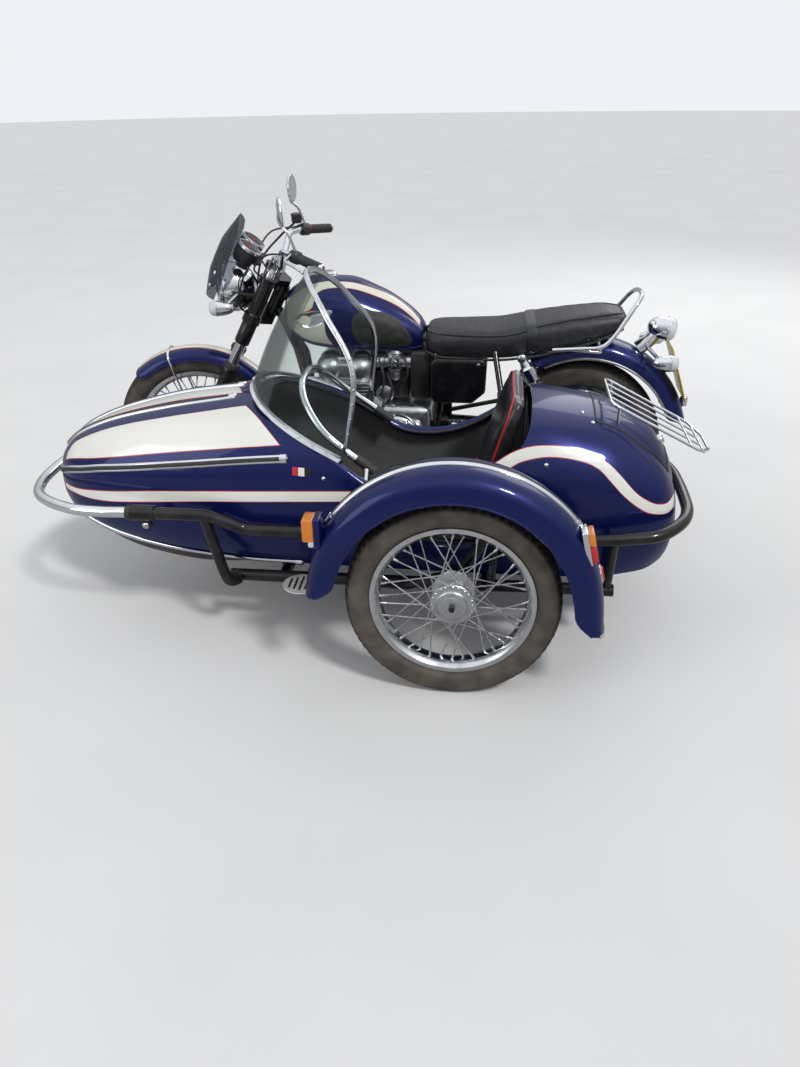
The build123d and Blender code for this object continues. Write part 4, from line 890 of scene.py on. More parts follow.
wheel("rear_wheel", REAR_AXLE, (0.231, 0.088), REAR_HUB, 0.052, 0.040, "rear_wheel_body", "rear_wheel")

# %% [markdown]
# The sidecar wheel shows a bright hub with a ring of holes and studs, and the other two
# carry a drilled brake disc. Real holes would need a cut each. At this size a dark plug, painted
# shade for the inside of a hole, reads the same, so one is modelled and Geometry Nodes repeats it about
# the axle.

# %% The sidecar hub's face, and the brake discs
# Each hole in the hub's face is a dark plug: painted shade.
hole = bar((0.0505, 0.0355, 0), (0.0505, 0.0392, 0), 0.0034, sides=12, soft=0.0004)
holes = copies_around("sidecar_hub_holes", hole, 10, SIDE_AXLE, black_plastic)
keep(holes, "black_rubber", "sidecar_wheel_body")
stud = bar((0.034, 0.047, 0), (0.034, 0.0505, 0), 0.0030, sides=6, soft=0.0006)
studs = copies_around("sidecar_hub_studs", stud, 6, SIDE_AXLE, plated)
keep(studs, "bright_steel", "sidecar_wheel_body")


def brake_disc(name, axle, radius, y, carrier_from, body, turn=False):
    """A disc on a dished carrier; dark plugs, painted shade, stand for its drillings."""
    reach = 1 if y > 0 else -1
    ring = turned([(y - 0.0025, radius * 0.64), (y - 0.0025, radius), (y + 0.0025, radius),
                   (y + 0.0025, radius * 0.64)],
                  axle, steps=96, ring=True)
    keep(piece(name, ring, satin_alloy, turn=turn), "bright_steel", body)
    dish = turned([(carrier_from, 0.028), (y - 0.002 * reach, radius * 0.60),
                   (y - 0.002 * reach, radius * 0.68),
                   (y + 0.002 * reach, radius * 0.68), (y + 0.002 * reach, radius * 0.60),
                   (carrier_from + 0.006 * reach, 0.028)],
                  axle, steps=72, ring=True)
    keep(piece(name + "_carrier", dish, black_paint, turn=turn), "black_paint", body)
    # The drillings are dark plugs: painted shade in the holes.
    drilled = [bar((radius * (0.72 + 0.09 * k) * cos(a), y - 0.0031, radius * (0.72 + 0.09 * k) * sin(a)),
                   (radius * (0.72 + 0.09 * k) * cos(a), y + 0.0031, radius * (0.72 + 0.09 * k) * sin(a)),
                   0.0036, sides=10)
               for k, a in enumerate((0.0, 0.10, 0.20))]
    spots = copies_around(name + "_holes", together(*drilled), 16, axle, black_plastic, turn=turn)
    keep(spots, "black_rubber", body)


brake_disc("front_disc", FRONT_AXLE, 0.155, -0.058, -0.036, "front_wheel_body", turn=True)
brake_disc("rear_disc", REAR_AXLE, 0.127, -0.072, -0.048, "rear_wheel_body")
print("wheels made")

# %% [markdown]
# The hull is a boat-like shell of glass fibre. Twelve sections across it carry its form:
# a flat bottom, a bowed flank up to the widest line, a shoulder, and an arched deck.
# Each section is drawn with arcs, and between sections the sizes follow smooth curves, so
# the lacquer shows no ripple. Stripes and strips later ask this same form where they lie.

# %% The hull's form
HULL_ROWS = as_array((
    # x, half bottom, half wide, half top, z bottom, z wide, z shoulder, z top
    (1.742, 0.022, 0.040, 0.020, 0.400, 0.440, 0.480, 0.488),
    (1.715, 0.074, 0.104, 0.062, 0.356, 0.440, 0.526, 0.540),
    (1.640, 0.132, 0.168, 0.106, 0.318, 0.448, 0.580, 0.600),
    (1.480, 0.186, 0.230, 0.146, 0.282, 0.456, 0.634, 0.662),
    (1.250, 0.226, 0.272, 0.176, 0.262, 0.462, 0.680, 0.712),
    (1.000, 0.248, 0.290, 0.200, 0.252, 0.466, 0.702, 0.738),
    (0.600, 0.256, 0.296, 0.212, 0.246, 0.470, 0.704, 0.742),
    (0.200, 0.252, 0.290, 0.206, 0.240, 0.472, 0.700, 0.738),
    (0.000, 0.236, 0.276, 0.176, 0.238, 0.466, 0.676, 0.716),
    (-0.140, 0.200, 0.248, 0.132, 0.244, 0.446, 0.606, 0.650),
    (-0.215, 0.150, 0.200, 0.088, 0.270, 0.420, 0.522, 0.560),
    (-0.235, 0.110, 0.160, 0.060, 0.300, 0.404, 0.480, 0.506),
))[::-1]
HULL_WALL = 0.006


def smooth_column(xs, values, x):
    """A curve through a column of values that never overshoots between two of them."""
    steps = np.diff(values) / np.diff(xs)
    slopes = np.concatenate([[steps[0]], np.where(
        steps[:-1] * steps[1:] > 0,
        2 * steps[:-1] * steps[1:] / np.where(steps[:-1] + steps[1:] == 0, 1, steps[:-1] + steps[1:]),
        0.0,
    ), [steps[-1]]])
    i = int(np.clip(np.searchsorted(xs, x) - 1, 0, len(xs) - 2))
    span = xs[i + 1] - xs[i]
    t = float(np.clip((x - xs[i]) / span, 0, 1))
    return (
        values[i] * (1 + 2 * t) * (1 - t) ** 2 + values[i + 1] * t * t * (3 - 2 * t)
        + span * (slopes[i] * t * (1 - t) ** 2 - slopes[i + 1] * t * t * (1 - t))
    )


def arc_points(a, b, c, count):
    """Points on the arc through three points in a plane."""
    a, b, c = (np.array(p, dtype=float) for p in (a, b, c))
    d = 2 * (a[0] * (b[1] - c[1]) + b[0] * (c[1] - a[1]) + c[0] * (a[1] - b[1]))
    if abs(d) < 1e-9:
        return [a + (c - a) * t for t in np.linspace(0, 1, count)]
    squares = [float(np.dot(p, p)) for p in (a, b, c)]
    mid = np.array([
        (squares[0] * (b[1] - c[1]) + squares[1] * (c[1] - a[1]) + squares[2] * (a[1] - b[1])) / d,
        (squares[0] * (c[0] - b[0]) + squares[1] * (a[0] - c[0]) + squares[2] * (b[0] - a[0])) / d,
    ])
    radius = np.linalg.norm(a - mid)
    first = atan2(*(a - mid)[::-1])
    through = (atan2(*(b - mid)[::-1]) - first) % (2 * pi)
    last = (atan2(*(c - mid)[::-1]) - first) % (2 * pi)
    if through > last:
        last -= 2 * pi
    return [mid + radius * np.array([cos(first + last * t), sin(first + last * t)])
            for t in np.linspace(0, 1, count)]


def half_section(row, inset=0.0, counts=(7, 11, 15, 11)):
    """Half of a section at one station: (y off the middle, z) from the keel up to the deck's middle."""
    bottom, wide, top, z_bottom, z_wide, z_shoulder, z_top = row
    bottom, wide, top = bottom - inset, wide - inset, top - inset
    z_bottom, z_shoulder, z_top = z_bottom + inset, z_shoulder - inset, z_top - inset
    flank_mid = (bottom + 0.72 * (wide - bottom), z_bottom + 0.35 * (z_wide - z_bottom))
    shoulder_mid = (top + 0.76 * (wide - top), z_wide + 0.62 * (z_shoulder - z_wide))
    floor_line = [np.array([bottom * t, z_bottom]) for t in np.linspace(0, 1, counts[0])]
    flank = arc_points((bottom, z_bottom), flank_mid, (wide, z_wide), counts[1])
    shoulder = arc_points((wide, z_wide), shoulder_mid, (top, z_shoulder), counts[2])
    crown = arc_points((top, z_shoulder), (0, z_top), (-top, z_shoulder), 2 * counts[3] - 1)[: counts[3]]
    return np.array(floor_line + flank[1:] + shoulder[1:] + crown[1:])


BILGE, WIDEST, DECK_MIDDLE = 6, 16, 40


class Form:
    """A long body given by rows of seven sizes; a place on its skin is (x, girth), where girth counts
    the section's points from the keel (0) over the widest line (16) to the top's middle (40), and
    on down the far side (80)."""

    def __init__(self, rows, centre_y, stations):
        self.rows, self.centre_y = rows, centre_y
        self.stations = np.linspace(rows[0, 0], rows[-1, 0], stations)
        self.sections = np.array([half_section(self.row(x)) for x in self.stations])

    def row(self, x):
        """The seven sizes of the section at x."""
        return [smooth_column(self.rows[:, 0], self.rows[:, k], x) for k in range(1, 8)]

    def section(self, x):
        """The half section at x, read between two of the table's stations."""
        step = self.stations[1] - self.stations[0]
        t = float(np.clip((x - self.stations[0]) / step, 0, len(self.stations) - 1.001))
        i = int(t)
        return self.sections[i] * (1 - t + i) + self.sections[i + 1] * (t - i)

    def on(self, x, girth, proud=0.0):
        """A point on the skin, moved out by proud, and the direction out of it."""
        far = girth > DECK_MIDDLE
        g = 2 * DECK_MIDDLE - girth if far else girth
        steps = np.arange(2 * BILGE + 29)

        def at(some_x, some_g):
            half = self.section(some_x)
            return np.array([some_x, np.interp(some_g, steps, half[:, 0]),
                             np.interp(some_g, steps, half[:, 1])])

        here = at(x, g)
        out = np.cross(at(x, min(g + 0.4, DECK_MIDDLE)) - at(x, g - 0.4),
                       at(x + 0.006, g) - at(x - 0.006, g))
        out /= max(np.linalg.norm(out), 1e-9)
        flip = (1, -1, 1) if far else (1, 1, 1)
        return (here + out * proud) * flip + (0, self.centre_y, 0), out * flip

    def side_girth(self, x, z):
        """Where on the section a height of the side is."""
        half = self.section(x)
        low = z < half[WIDEST, 1]
        part = half[BILGE:WIDEST + 1] if low else half[WIDEST:]
        return float(np.interp(z, part[:, 1], np.arange(len(part)))) + (BILGE if low else WIDEST)

    def top_girth(self, x, off):
        """Where on the section a distance from the middle plane is, above the widest line."""
        part = self.section(x)[WIDEST:][::-1]
        g = DECK_MIDDLE - float(np.interp(abs(off), part[:, 0], np.arange(len(part))))
        return g if off >= 0 else 2 * DECK_MIDDLE - g

    def side_y(self, x, z):
        """How far out the side is at a height."""
        return float(self.on(x, self.side_girth(x, z))[0][1]) - self.centre_y

    def top_z(self, x, off):
        """How high the top is at a distance from the middle plane."""
        return float(self.on(x, self.top_girth(x, off))[0][2])

    def skin(self, inset, x_from, x_to, stations):
        """The form, inset by a wall, as a closed skin."""
        rings = []
        for x in np.linspace(x_from, x_to, stations):
            half = half_section(self.row(x), inset)
            rings.append([(x, self.centre_y + y, z) for y, z in half]
                         + [(x, self.centre_y - y, z) for y, z in half[-2:0:-1]])
        return skin(rings)


hull = Form(HULL_ROWS, HULL_Y, 660)
on_hull = hull.on


def on_side_line(points):
    """A line given as (x, z) on the side, as (x, girth)."""
    return [(x, hull.side_girth(x, z)) for x, z in points]


def on_deck_line(points):
    """A line given as (x, distance off the middle plane) on the deck, as (x, girth)."""
    return [(x, hull.top_girth(x, off)) for x, off in points]


print("hull at the seat", [round(v, 3) for v in hull.row(0.6)])

# %% [markdown]
# The shell is cut by the coaming line, which dips along the doorless side and climbs to the
# windscreen, and by the boot lid's outline. Cutting is a job for Boolean modifiers: a thick
# shell, less the cockpit's opening, less the gap round the lid.

# %% The shell and its openings
COAMING = (
    (0.205, 0.752), (0.214, 0.706), (0.234, 0.664), (0.268, 0.624), (0.320, 0.582), (0.388, 0.541),
    (0.470, 0.512),
    (0.555, 0.502), (0.640, 0.514), (0.715, 0.560), (0.780, 0.602), (0.900, 0.664), (1.000, 0.716),
    (1.082, 0.757),
)
LID = dict(front=0.020, rear=-0.205, half_front=0.130, half_rear=0.096, knee=-0.120, gap=0.005)


def prism(outline, low, high, across="y"):
    """An upright or sideways prism over an outline of (x, z) or (x, y) pairs."""
    rings = []
    for level in (low, high):
        rings.append([(a, level, b) if across == "y" else (a, b, level) for a, b in outline])
    return skin(rings)


def cut(obj, cutter, how="DIFFERENCE"):
    """One Boolean step, applied at once; the cutter is a shape and is thrown away."""
    tool = piece("cutter", cutter)
    modifier = obj.modifiers.new("cut", "BOOLEAN")
    modifier.operation = how
    modifier.solver = "EXACT"
    modifier.object = tool
    settle(obj)
    bpy.data.objects.remove(tool)
    return obj


def smooth_line(points, per_span=8):
    """A soft outline through points, for a cutter or a trim that follows it."""
    return curve_through(points, per_span)


coaming_line = smooth_line([(x, 0, z) for x, z in COAMING])[:, [0, 2]]


def mouth_outline(half, front=1.048):
    """The cockpit's mouth seen from above, as (x, y) pairs."""
    near = [(0.215, half), (0.480, half), (0.760, half), (0.900, half - 0.034), (0.990, 0.160),
            (1.036, 0.080), (front, 0.0)]
    side = curve_through([(x, y, 0) for x, y in near], 8)[:, :2]
    return [(x, HULL_Y + y) for x, y in side] + [(x, HULL_Y - y) for x, y in side[::-1][1:]]


def lid_outline(gap):
    """The boot lid seen from above, grown by gap."""
    f, r, hf, hr, k = LID["front"], LID["rear"], LID["half_front"], LID["half_rear"], LID["knee"]
    return [
        (f + gap, HULL_Y - hf - gap), (f + gap, HULL_Y + hf + gap), (k, HULL_Y + hf + gap),
        (r - gap, HULL_Y + hr + gap), (r - gap, HULL_Y - hr - gap), (k, HULL_Y - hf - gap),
    ]


shell = piece("hull_shell", hull.skin(0, -0.235, 1.742, 150), blue_paint)
inside = hull.skin(HULL_WALL, -0.227, 1.730, 120)
over_coaming = [(0.205, 0.95), *[(x, z) for x, z in coaming_line], (1.082, 0.95)]
cut(shell, prism(over_coaming, 0.3, 1.1))
cut(shell, inside)
cut(shell, prism(lid_outline(LID["gap"]), 0.50, 0.90, across="z"))
shell.data.shade_smooth()
shell.data.set_sharp_from_angle(angle=radians(30))
keep(shell, "deep_blue_paint", "root", ["sidecar_body"])
print("hull shell", len(shell.data.polygons), "faces")

# %% [markdown]
# The lid is pressed to the hull's own curve. It could be modelled apart and fitted, but
# cutting it out of the same form gives it the hull's curve exactly.

# %% The boot lid, cut out of the same form
lid = piece("boot_lid_panel", hull.skin(0, -0.232, 0.10, 60), blue_paint)
cut(lid, hull.skin(HULL_WALL, -0.228, 0.11, 60))
cut(lid, prism(lid_outline(0), 0.50, 0.90, across="z"), how="INTERSECT")
lid.data.shade_smooth()
lid.data.set_sharp_from_angle(angle=radians(30))
keep(lid, "deep_blue_paint", "boot_lid_body", ["boot_lid"])
print("boot lid", len(lid.data.polygons), "faces")

# %% [markdown]
# Colour on the hull comes in bands with a red hairline round them. Each band is a thin skin
# of paint laid between two edges on the hull's side or deck. The red line is the same band,
# a little wider, underneath.

# %% Painted bands
def evenly(line, samples, soft=True):
    """A line of pairs, made smooth and sampled at even steps."""
    path = curve_through([(a, b * 0.01, 0) for a, b in line], 24)[:, :2] if soft else as_array(line)
    run = np.concatenate([[0], np.cumsum(np.linalg.norm(np.diff(path, axis=0), axis=1))])
    at = np.linspace(0, run[-1], samples)
    return np.column_stack([np.interp(at, run, path[:, 0]), np.interp(at, run, path[:, 1]) * 100])


def band(name, low_line, high_line, material, proud, slot, grow_by=0.0, form=None, across=16,
         samples=110):
    """A skin of paint between two lines of (x, girth) that run from the same end."""
    form = form or hull
    low, high = evenly(low_line, samples), evenly(high_line, samples)
    sheet = []
    for a, b in zip(low, high):
        sheet.append([form.on(*(a + (b - a) * t), proud)[0] for t in np.linspace(0, 1, across)])
    sheet = np.array(sheet)
    if grow_by:
        for edge, inner in ((0, 1), (-1, -2)):
            way = sheet[:, edge] - sheet[:, inner]
            sheet[:, edge] += way / np.maximum(np.linalg.norm(way, axis=1), 1e-6)[:, None] * grow_by
        for edge, inner in ((0, 1), (-1, -2)):
            way = sheet[edge] - sheet[inner]
            sheet[edge] += way / np.maximum(np.linalg.norm(way, axis=1), 1e-6)[:, None] * grow_by
    down = np.array([[form.on(*(a + (b - a) * t), 0)[1] for t in (0.0, 0.5, 1.0)]
                     for a, b in zip(low, high)])
    sunk = sheet - np.repeat(down[:, 1:2], across, axis=1) * 0.0016
    rings = [list(o) + list(reversed(i)) for o, i in zip(sheet, sunk)]
    return keep(piece(name, skin(rings), material, sharp=radians(60)), slot)


def lined_band(name, low_line, high_line, material=white_paint, slot="white_paint", form=None):
    """A band with a red hairline round it."""
    band(name, low_line, high_line, material, 0.0015, slot, form=form)
    band(name + "_line", low_line, high_line, red_line, 0.0009, "red_lens", grow_by=0.0026, form=form)


def mirrored(line):
    """The same line on the hull's other side."""
    return [(x, 2 * DECK_MIDDLE - g) for x, g in line]


FLASH_LOW = on_side_line([
    (1.684, 0.522), (1.620, 0.544), (1.536, 0.562), (1.355, 0.596), (1.190, 0.620), (1.034, 0.638),
    (0.943, 0.646),
])
FLASH_HIGH = on_deck_line([
    (1.678, 0.108), (1.649, 0.103), (1.571, 0.113), (1.470, 0.123), (1.323, 0.137), (1.188, 0.136),
    (1.071, 0.128),
])
STRIPE_LOW = on_side_line([
    (1.697, 0.427), (1.614, 0.424), (1.526, 0.428), (1.368, 0.448), (1.200, 0.466), (1.039, 0.477),
    (0.748, 0.492),
])
STRIPE_HIGH = on_side_line([
    (1.702, 0.440), (1.631, 0.444), (1.520, 0.461), (1.361, 0.484), (1.200, 0.499), (1.035, 0.510),
    (0.730, 0.524),
])
WAVE_LOW = on_side_line([
    (0.330, 0.578), (0.271, 0.605), (0.236, 0.622), (0.177, 0.634), (0.117, 0.632), (0.057, 0.619),
    (0.016, 0.600),
    (-0.018, 0.568), (-0.057, 0.527), (-0.105, 0.486), (-0.145, 0.463), (-0.195, 0.450), (-0.226, 0.452),
])
WAVE_HIGH = on_side_line([
    (0.345, 0.596), (0.312, 0.616), (0.257, 0.646), (0.198, 0.660), (0.118, 0.658), (0.058, 0.646),
    (-0.004, 0.616),
    (-0.045, 0.581), (-0.089, 0.534), (-0.124, 0.506), (-0.161, 0.486), (-0.198, 0.478), (-0.226, 0.480),
])
lined_band("side_flash", FLASH_LOW, FLASH_HIGH)
lined_band("waist_stripe", STRIPE_LOW, STRIPE_HIGH)
lined_band("rear_wave", WAVE_LOW, WAVE_HIGH)
lined_band("far_side_flash", mirrored(FLASH_LOW), mirrored(FLASH_HIGH))
lined_band("far_waist_stripe", mirrored(STRIPE_LOW), mirrored(STRIPE_HIGH))
lined_band("far_rear_wave", mirrored(WAVE_LOW[1:]), mirrored(WAVE_HIGH[2:]))
lined_band(
    "deck_flash",
    on_deck_line([(1.700, -0.022), (1.586, -0.034), (1.509, -0.036), (1.363, -0.040), (1.220, -0.042),
                  (1.140, -0.042)]),
    on_deck_line([(1.700, 0.016), (1.586, 0.026), (1.509, 0.030), (1.363, 0.034), (1.220, 0.036),
                  (1.106, 0.036)]),
)

# %% [markdown]
# Bright strips guard the hull: a channel of polished metal with a black insert, and a small
# cast cap at its end. Two sweeps along the same line on the hull make one strip.

# %% Guard strips
def half_round(width, height, count=9):
    """A low arched outline of (across, proud) with a flat foot sunk into the surface."""
    arch = [(width / 2 * cos(a), height * sin(a)) for a in np.linspace(0, pi, count)]
    return arch + [(-width / 2, -0.0015), (width / 2, -0.0015)]


def guard_strip(name, line, width=0.026, cap=True, insert=True):
    """A bright channel with a black insert along a line of (x, girth)."""
    points, ways = zip(*[on_hull(a, b) for a, b in evenly(line, 70)])
    keep(piece(name, strip(points, half_round(width, 0.0065), ways), chrome), "chrome")
    if insert:
        raised = [p + n * 0.0040 for p, n in zip(points, ways)]
        keep(piece(name + "_insert", strip(raised, half_round(width * 0.52, 0.0040), ways), black_rubber),
             "black_rubber")
    if cap:
        way = points[-1] - points[-2]
        way = way / np.linalg.norm(way)
        places = [points[-1] - way * 0.014, points[-1] - way * 0.004, points[-1] + way * 0.006,
                  points[-1] + way * 0.010]
        across = np.cross(way, ways[-1])
        rings = []
        for p, size in zip(places, (1.10, 1.18, 1.14, 0.7)):
            rings.append([p + across * u * size + ways[-1] * v * size
                        for u, v in half_round(width, 0.0085)])
        keep(piece(name + "_cap", skin(rings), chrome), "chrome")


WAIST = on_side_line([
    (1.718, 0.482), (1.706, 0.484), (1.620, 0.512), (1.534, 0.533), (1.444, 0.548), (1.253, 0.576),
    (1.002, 0.605), (0.926, 0.611),
])
DECK_STRIP = on_deck_line([
    (1.706, 0.038), (1.651, 0.044), (1.569, 0.052), (1.492, 0.058), (1.340, 0.068), (1.204, 0.066),
    (1.126, 0.060),
])
SILL = on_side_line([
    (1.640, 0.333), (1.550, 0.306), (1.450, 0.284), (1.412, 0.278), (1.240, 0.263), (1.072, 0.256),
    (0.905, 0.254),
])
guard_strip("waist_strip", WAIST)
guard_strip("far_waist_strip", mirrored(WAIST))
guard_strip("deck_strip", DECK_STRIP)
guard_strip("far_deck_strip", mirrored(DECK_STRIP))
guard_strip("sill_strip", SILL, width=0.022, insert=False)
print("bands and strips made")

# %% [markdown]
# Round the cockpit runs a padded roll in the body's colour. It bridges the gap between the
# hull's cut edge outside and the mouth inside, so each ring of it starts at one and ends at
# the other, with an arch between. A dark bead closes the seam towards the carpet.

# %% The coaming roll
MOUTH_HALF = 0.256


def coaming_z(x):
    """The height of the cut edge at x."""
    return float(np.interp(x, coaming_line[:, 0], coaming_line[:, 1]))


mouth = list(mouth_outline(MOUTH_HALF))
roll_rings, bead_path = [], []
mouth_far_first = [p for p in mouth[::-1] if p[0] > 0.285]
for x, y in mouth_far_first:
    off = y - HULL_Y
    side = 1 if off >= 0 else -1
    top = min(coaming_z(x), hull.top_z(x, off))
    edge = hull.side_y(x, top) if coaming_z(x) < hull.top_z(x, off) else abs(off) + 0.016
    width = float(np.clip(edge - abs(off), 0.012, 0.040))
    plan = np.array([0.0, side, 0.0])
    if x > 0.90:
        plan = np.array([x - 0.76, off * 0.9, 0.0])
        plan /= np.linalg.norm(plan)
    inner = np.array([x, y, top])
    ring = []
    for u in np.linspace(0, 1, 11):
        lift = 0.011 * sin(pi * u) ** 0.7 - 0.004 * abs(1 - 2 * u) ** 3
        ring.append(inner + plan * width * (1 - u) + (0, 0, lift))
    ring += [inner + (0, 0, -0.014), inner + plan * 0.006 + (0, 0, -0.014),
             inner + plan * (width - 0.003) + (0, 0, -0.010)]
    roll_rings.append(ring)
    bead_path.append(inner - plan * 0.003 + (0, 0, -0.001))
keep(piece("coaming_roll", skin(roll_rings), blue_paint, sharp=radians(70)), "deep_blue_paint")
keep(piece("coaming_bead", pipe(bead_path, 0.0055, 10), black_rubber), "black_rubber")
print("coaming of", len(roll_rings), "rings")

# %% [markdown]
# Inside, grey carpet is glued to the wall. It is a thin second skin, a little inside the
# first, that stops under the coaming and becomes a full tunnel where the legs go.

# %% Carpet lining, bulkhead, toe board and mat
lining = []
for x in np.linspace(0.218, 1.50, 70):
    reach = DECK_MIDDLE - 0.6
    if x < 1.06:
        top = min(coaming_z(x) - 0.012, hull.top_z(x, 0.0) - 0.01)
        reach = min(reach, hull.side_girth(x, top))
    girths = np.linspace(-reach, reach, 61)
    outer, inner = [], []
    for g in girths:
        for layer, depth in ((outer, -0.0072), (inner, -0.0105)):
            point = on_hull(x, abs(g), depth)[0]
            layer.append((point[0], HULL_Y + (point[1] - HULL_Y) * (1 if g >= 0 else -1), point[2]))
    lining.append(outer + inner[::-1])
keep(piece("carpet_lining", skin(lining), carpet, sharp=radians(80)), "grey_carpet")


def cross_plate(name, x, thick, inset, top, material, slot):
    """An upright plate across the hull, shaped to its section."""
    half = hull.section(x)
    half = half[half[:, 1] <= top]
    outline = [(HULL_Y + y * (1 - inset / 0.25), z + inset * 0.5) for y, z in half]
    outline += [(HULL_Y - y * (1 - inset / 0.25), z + inset * 0.5) for y, z in half[::-1]]
    rings = [[(x + dx, y, z) for y, z in outline] for dx in (0, thick)]
    keep(piece(name, skin(rings), material), slot)


cross_plate("bulkhead_lining", 0.2125, 0.003, 0.010, 0.66, carpet, "grey_carpet")
cross_plate("toe_board", 1.42, 0.006, 0.014, 0.64, carpet, "grey_carpet")
mat = soft_block((0.245, HULL_Y - 0.192, 0.262), (1.235, HULL_Y + 0.192, 0.2758), 0.005)
keep(piece("rubber_floor_mat", mat, black_rubber), "grey_carpet", "root", ["floor_mat"])
print("lining made")

# %% [markdown]
# The backrest and the cushions are vinyl over foam. A real pad is tight at its seams and
# crowned between them. To get that, each pad starts as a slightly small soft block, is
# remeshed to an even grid, and the cloth solver blows it up a little. Points may only move a
# few millimetres, so the pad stays in the room that its solid in the frame has.

# %% Blowing up a pad
def puffed(name, shape, material, slot, nodes, voxel=0.006, pressure=4.0, cap=0.008,
           turn=False):
    """A pad from a closed shape: remeshed, blown up with cloth, capped and smoothed."""
    start = piece(name + "_start", shape, turn=turn)
    remesh = start.modifiers.new("even", "REMESH")
    remesh.mode = "VOXEL"
    remesh.voxel_size = voxel
    settle(start)
    rest = np.array([v.co[:] for v in start.data.vertices])
    cloth = start.modifiers.new("air", "CLOTH")
    cloth.settings.use_pressure = True
    cloth.settings.uniform_pressure_force = pressure
    cloth.settings.tension_stiffness = 18
    cloth.settings.bending_stiffness = 0.6
    cloth.settings.effector_weights.gravity = 0
    cloth.point_cache.frame_start = 1
    cloth.point_cache.frame_end = 20
    for frame_number in range(1, 21):
        bpy.context.scene.frame_set(frame_number)
    settle(start)
    bpy.context.scene.frame_set(1)
    now = np.array([v.co[:] for v in start.data.vertices])
    step = now - rest
    size = np.maximum(np.linalg.norm(step, axis=1), 1e-9)[:, None]
    now = rest + step / size * np.minimum(size, cap)
    start.data.vertices.foreach_set("co", now.ravel())
    relax = start.modifiers.new("relax", "SMOOTH")
    relax.iterations = 4
    finer = start.modifiers.new("finer", "SUBSURF")
    finer.levels = finer.render_levels = 1
    settle(start)
    start.name = name
    start.data.materials.clear()
    start.data.materials.append(material)
    start.data.shade_smooth()
    keep(start, slot, "root", nodes)
    print(name, len(start.data.polygons), "faces, most moved", round(float(size.max()), 4))
    return start


BACK_LEAN = radians(17)


def onto(obj, points, proud=0.0):
    """Points laid onto the nearest place of a finished mesh, and the directions out of it there."""
    places, ways = [], []
    for p in points:
        _, place_on, normal, _ = obj.closest_point_on_mesh(Vector(as_array([p])[0] - ORIGIN))
        places.append(np.array(place_on) + ORIGIN + np.array(normal) * proud)
        ways.append(np.array(normal))
    return np.array(places), np.array(ways)


def pad_form(half_w, height, thick, waist=0.02):
    """A backrest's outline: rounded top, sides that pull in a little, crowned front."""
    rings = []
    for v in np.linspace(0, 1, 15):
        z = height * (v - 0.5)
        corner = max(0.0, (v - 0.72) / 0.28)
        w = half_w * (1 - 0.10 * corner**2.2 - waist * sin(pi * v) * 0.6)
        t = thick * (0.72 + 0.28 * sin(pi * min(1, v * 1.02)) ** 0.5) * (1 - 0.30 * corner**3)
        ring = []
        for k in range(36):
            a = 2 * pi * k / 36
            sx, sy = cos(a), sin(a)
            ring.append((t / 2 * np.sign(sx) * abs(sx) ** 0.45, w * np.sign(sy) * abs(sy) ** 0.30,
                         z - 0.020 * corner**2 * abs(sy)))
        rings.append(ring)
    return skin(rings)


def leaning(shape, place, lean):
    """A shape drawn upright about the origin, leaned back and carried to its place."""
    return moved(shape, Matrix.Translation(place) @ Matrix.Rotation(-lean, 4, "Y"))


back_place = (0.300, HULL_Y, 0.592)
back_pad = puffed("backrest_pad", leaning(pad_form(0.196, 0.388, 0.052), back_place, BACK_LEAN),
                  gloss_vinyl, "black_vinyl",
       ["sidecar_backrest"], voxel=0.007, cap=0.006)

# %% [markdown]
# Piping is a cord sewn into the seam where two covers meet. A straight tube would float
# or sink, so its path is laid on the blown-up pad, point by point.

# %% Red piping round the backrest's front face
piping = []
for a in np.linspace(-0.42 * pi, 1.42 * pi, 90):
    sy, sz = cos(a), sin(a)
    y = 0.193 * np.sign(sy) * abs(sy) ** 0.42
    z = 0.186 * np.sign(sz) * abs(sz) ** 0.42
    if z < -0.175:
        continue
    piping.append((0.0265, y, z))
red_cord = leaning((as_array(piping), []), back_place, BACK_LEAN)[0]
red_cord, _ = onto(back_pad, red_cord, 0.0012)
keep(piece("backrest_piping", pipe(red_cord, 0.0042, 10), red_piping), "red_lens")

cushion = soft_block((0.340, HULL_Y - 0.196, 0.284), (0.770, HULL_Y + 0.196, 0.364), 0.026)
cushion_pad = puffed("seat_cushion", cushion, gloss_vinyl, "black_vinyl", ["sidecar_seat"], voxel=0.007,
                     cap=0.007)
seam = [(0.775 - 0.026 * (1 - abs(cos(a))), HULL_Y + 0.190 * np.sign(sin(a)) * abs(sin(a)) ** 0.3, 0.352)
        for a in np.linspace(-pi / 2, pi / 2, 30)]
seam, _ = onto(cushion_pad, seam, 0.0010)
keep(piece("cushion_piping", pipe(seam, 0.0035, 10), red_piping), "red_lens")

# %% [markdown]
# The windscreen is one clear sheet, bowed round the cockpit's front. It is skinned between
# two smooth lines: its foot on the hull and its free edge. A channel of bright alloy covers
# the free edge, with small screws all along, and a flat strip holds the foot down.

# %% The windscreen
SCREEN_BASE = ((1.068, 0, 0.764), (1.054, 0.086, 0.757), (1.014, 0.160, 0.735), (0.954, 0.212, 0.704),
               (0.868, 0.250, 0.661),
               (0.762, 0.268, 0.610))
SCREEN_EDGE = ((0.882, 0, 1.097), (0.873, 0.056, 1.090), (0.846, 0.112, 1.060), (0.800, 0.164, 1.000),
               (0.722, 0.226, 0.860),
               (0.742, 0.262, 0.650))


def screen_line(rows, count=14):
    """One line of the screen, from the far side over the middle to the near one."""
    points = [(x, HULL_Y - y, z) for x, y, z in reversed(rows)] + [(x, HULL_Y + y, z)
                        for x, y, z in rows[1:]]
    return curve_through(points, count)


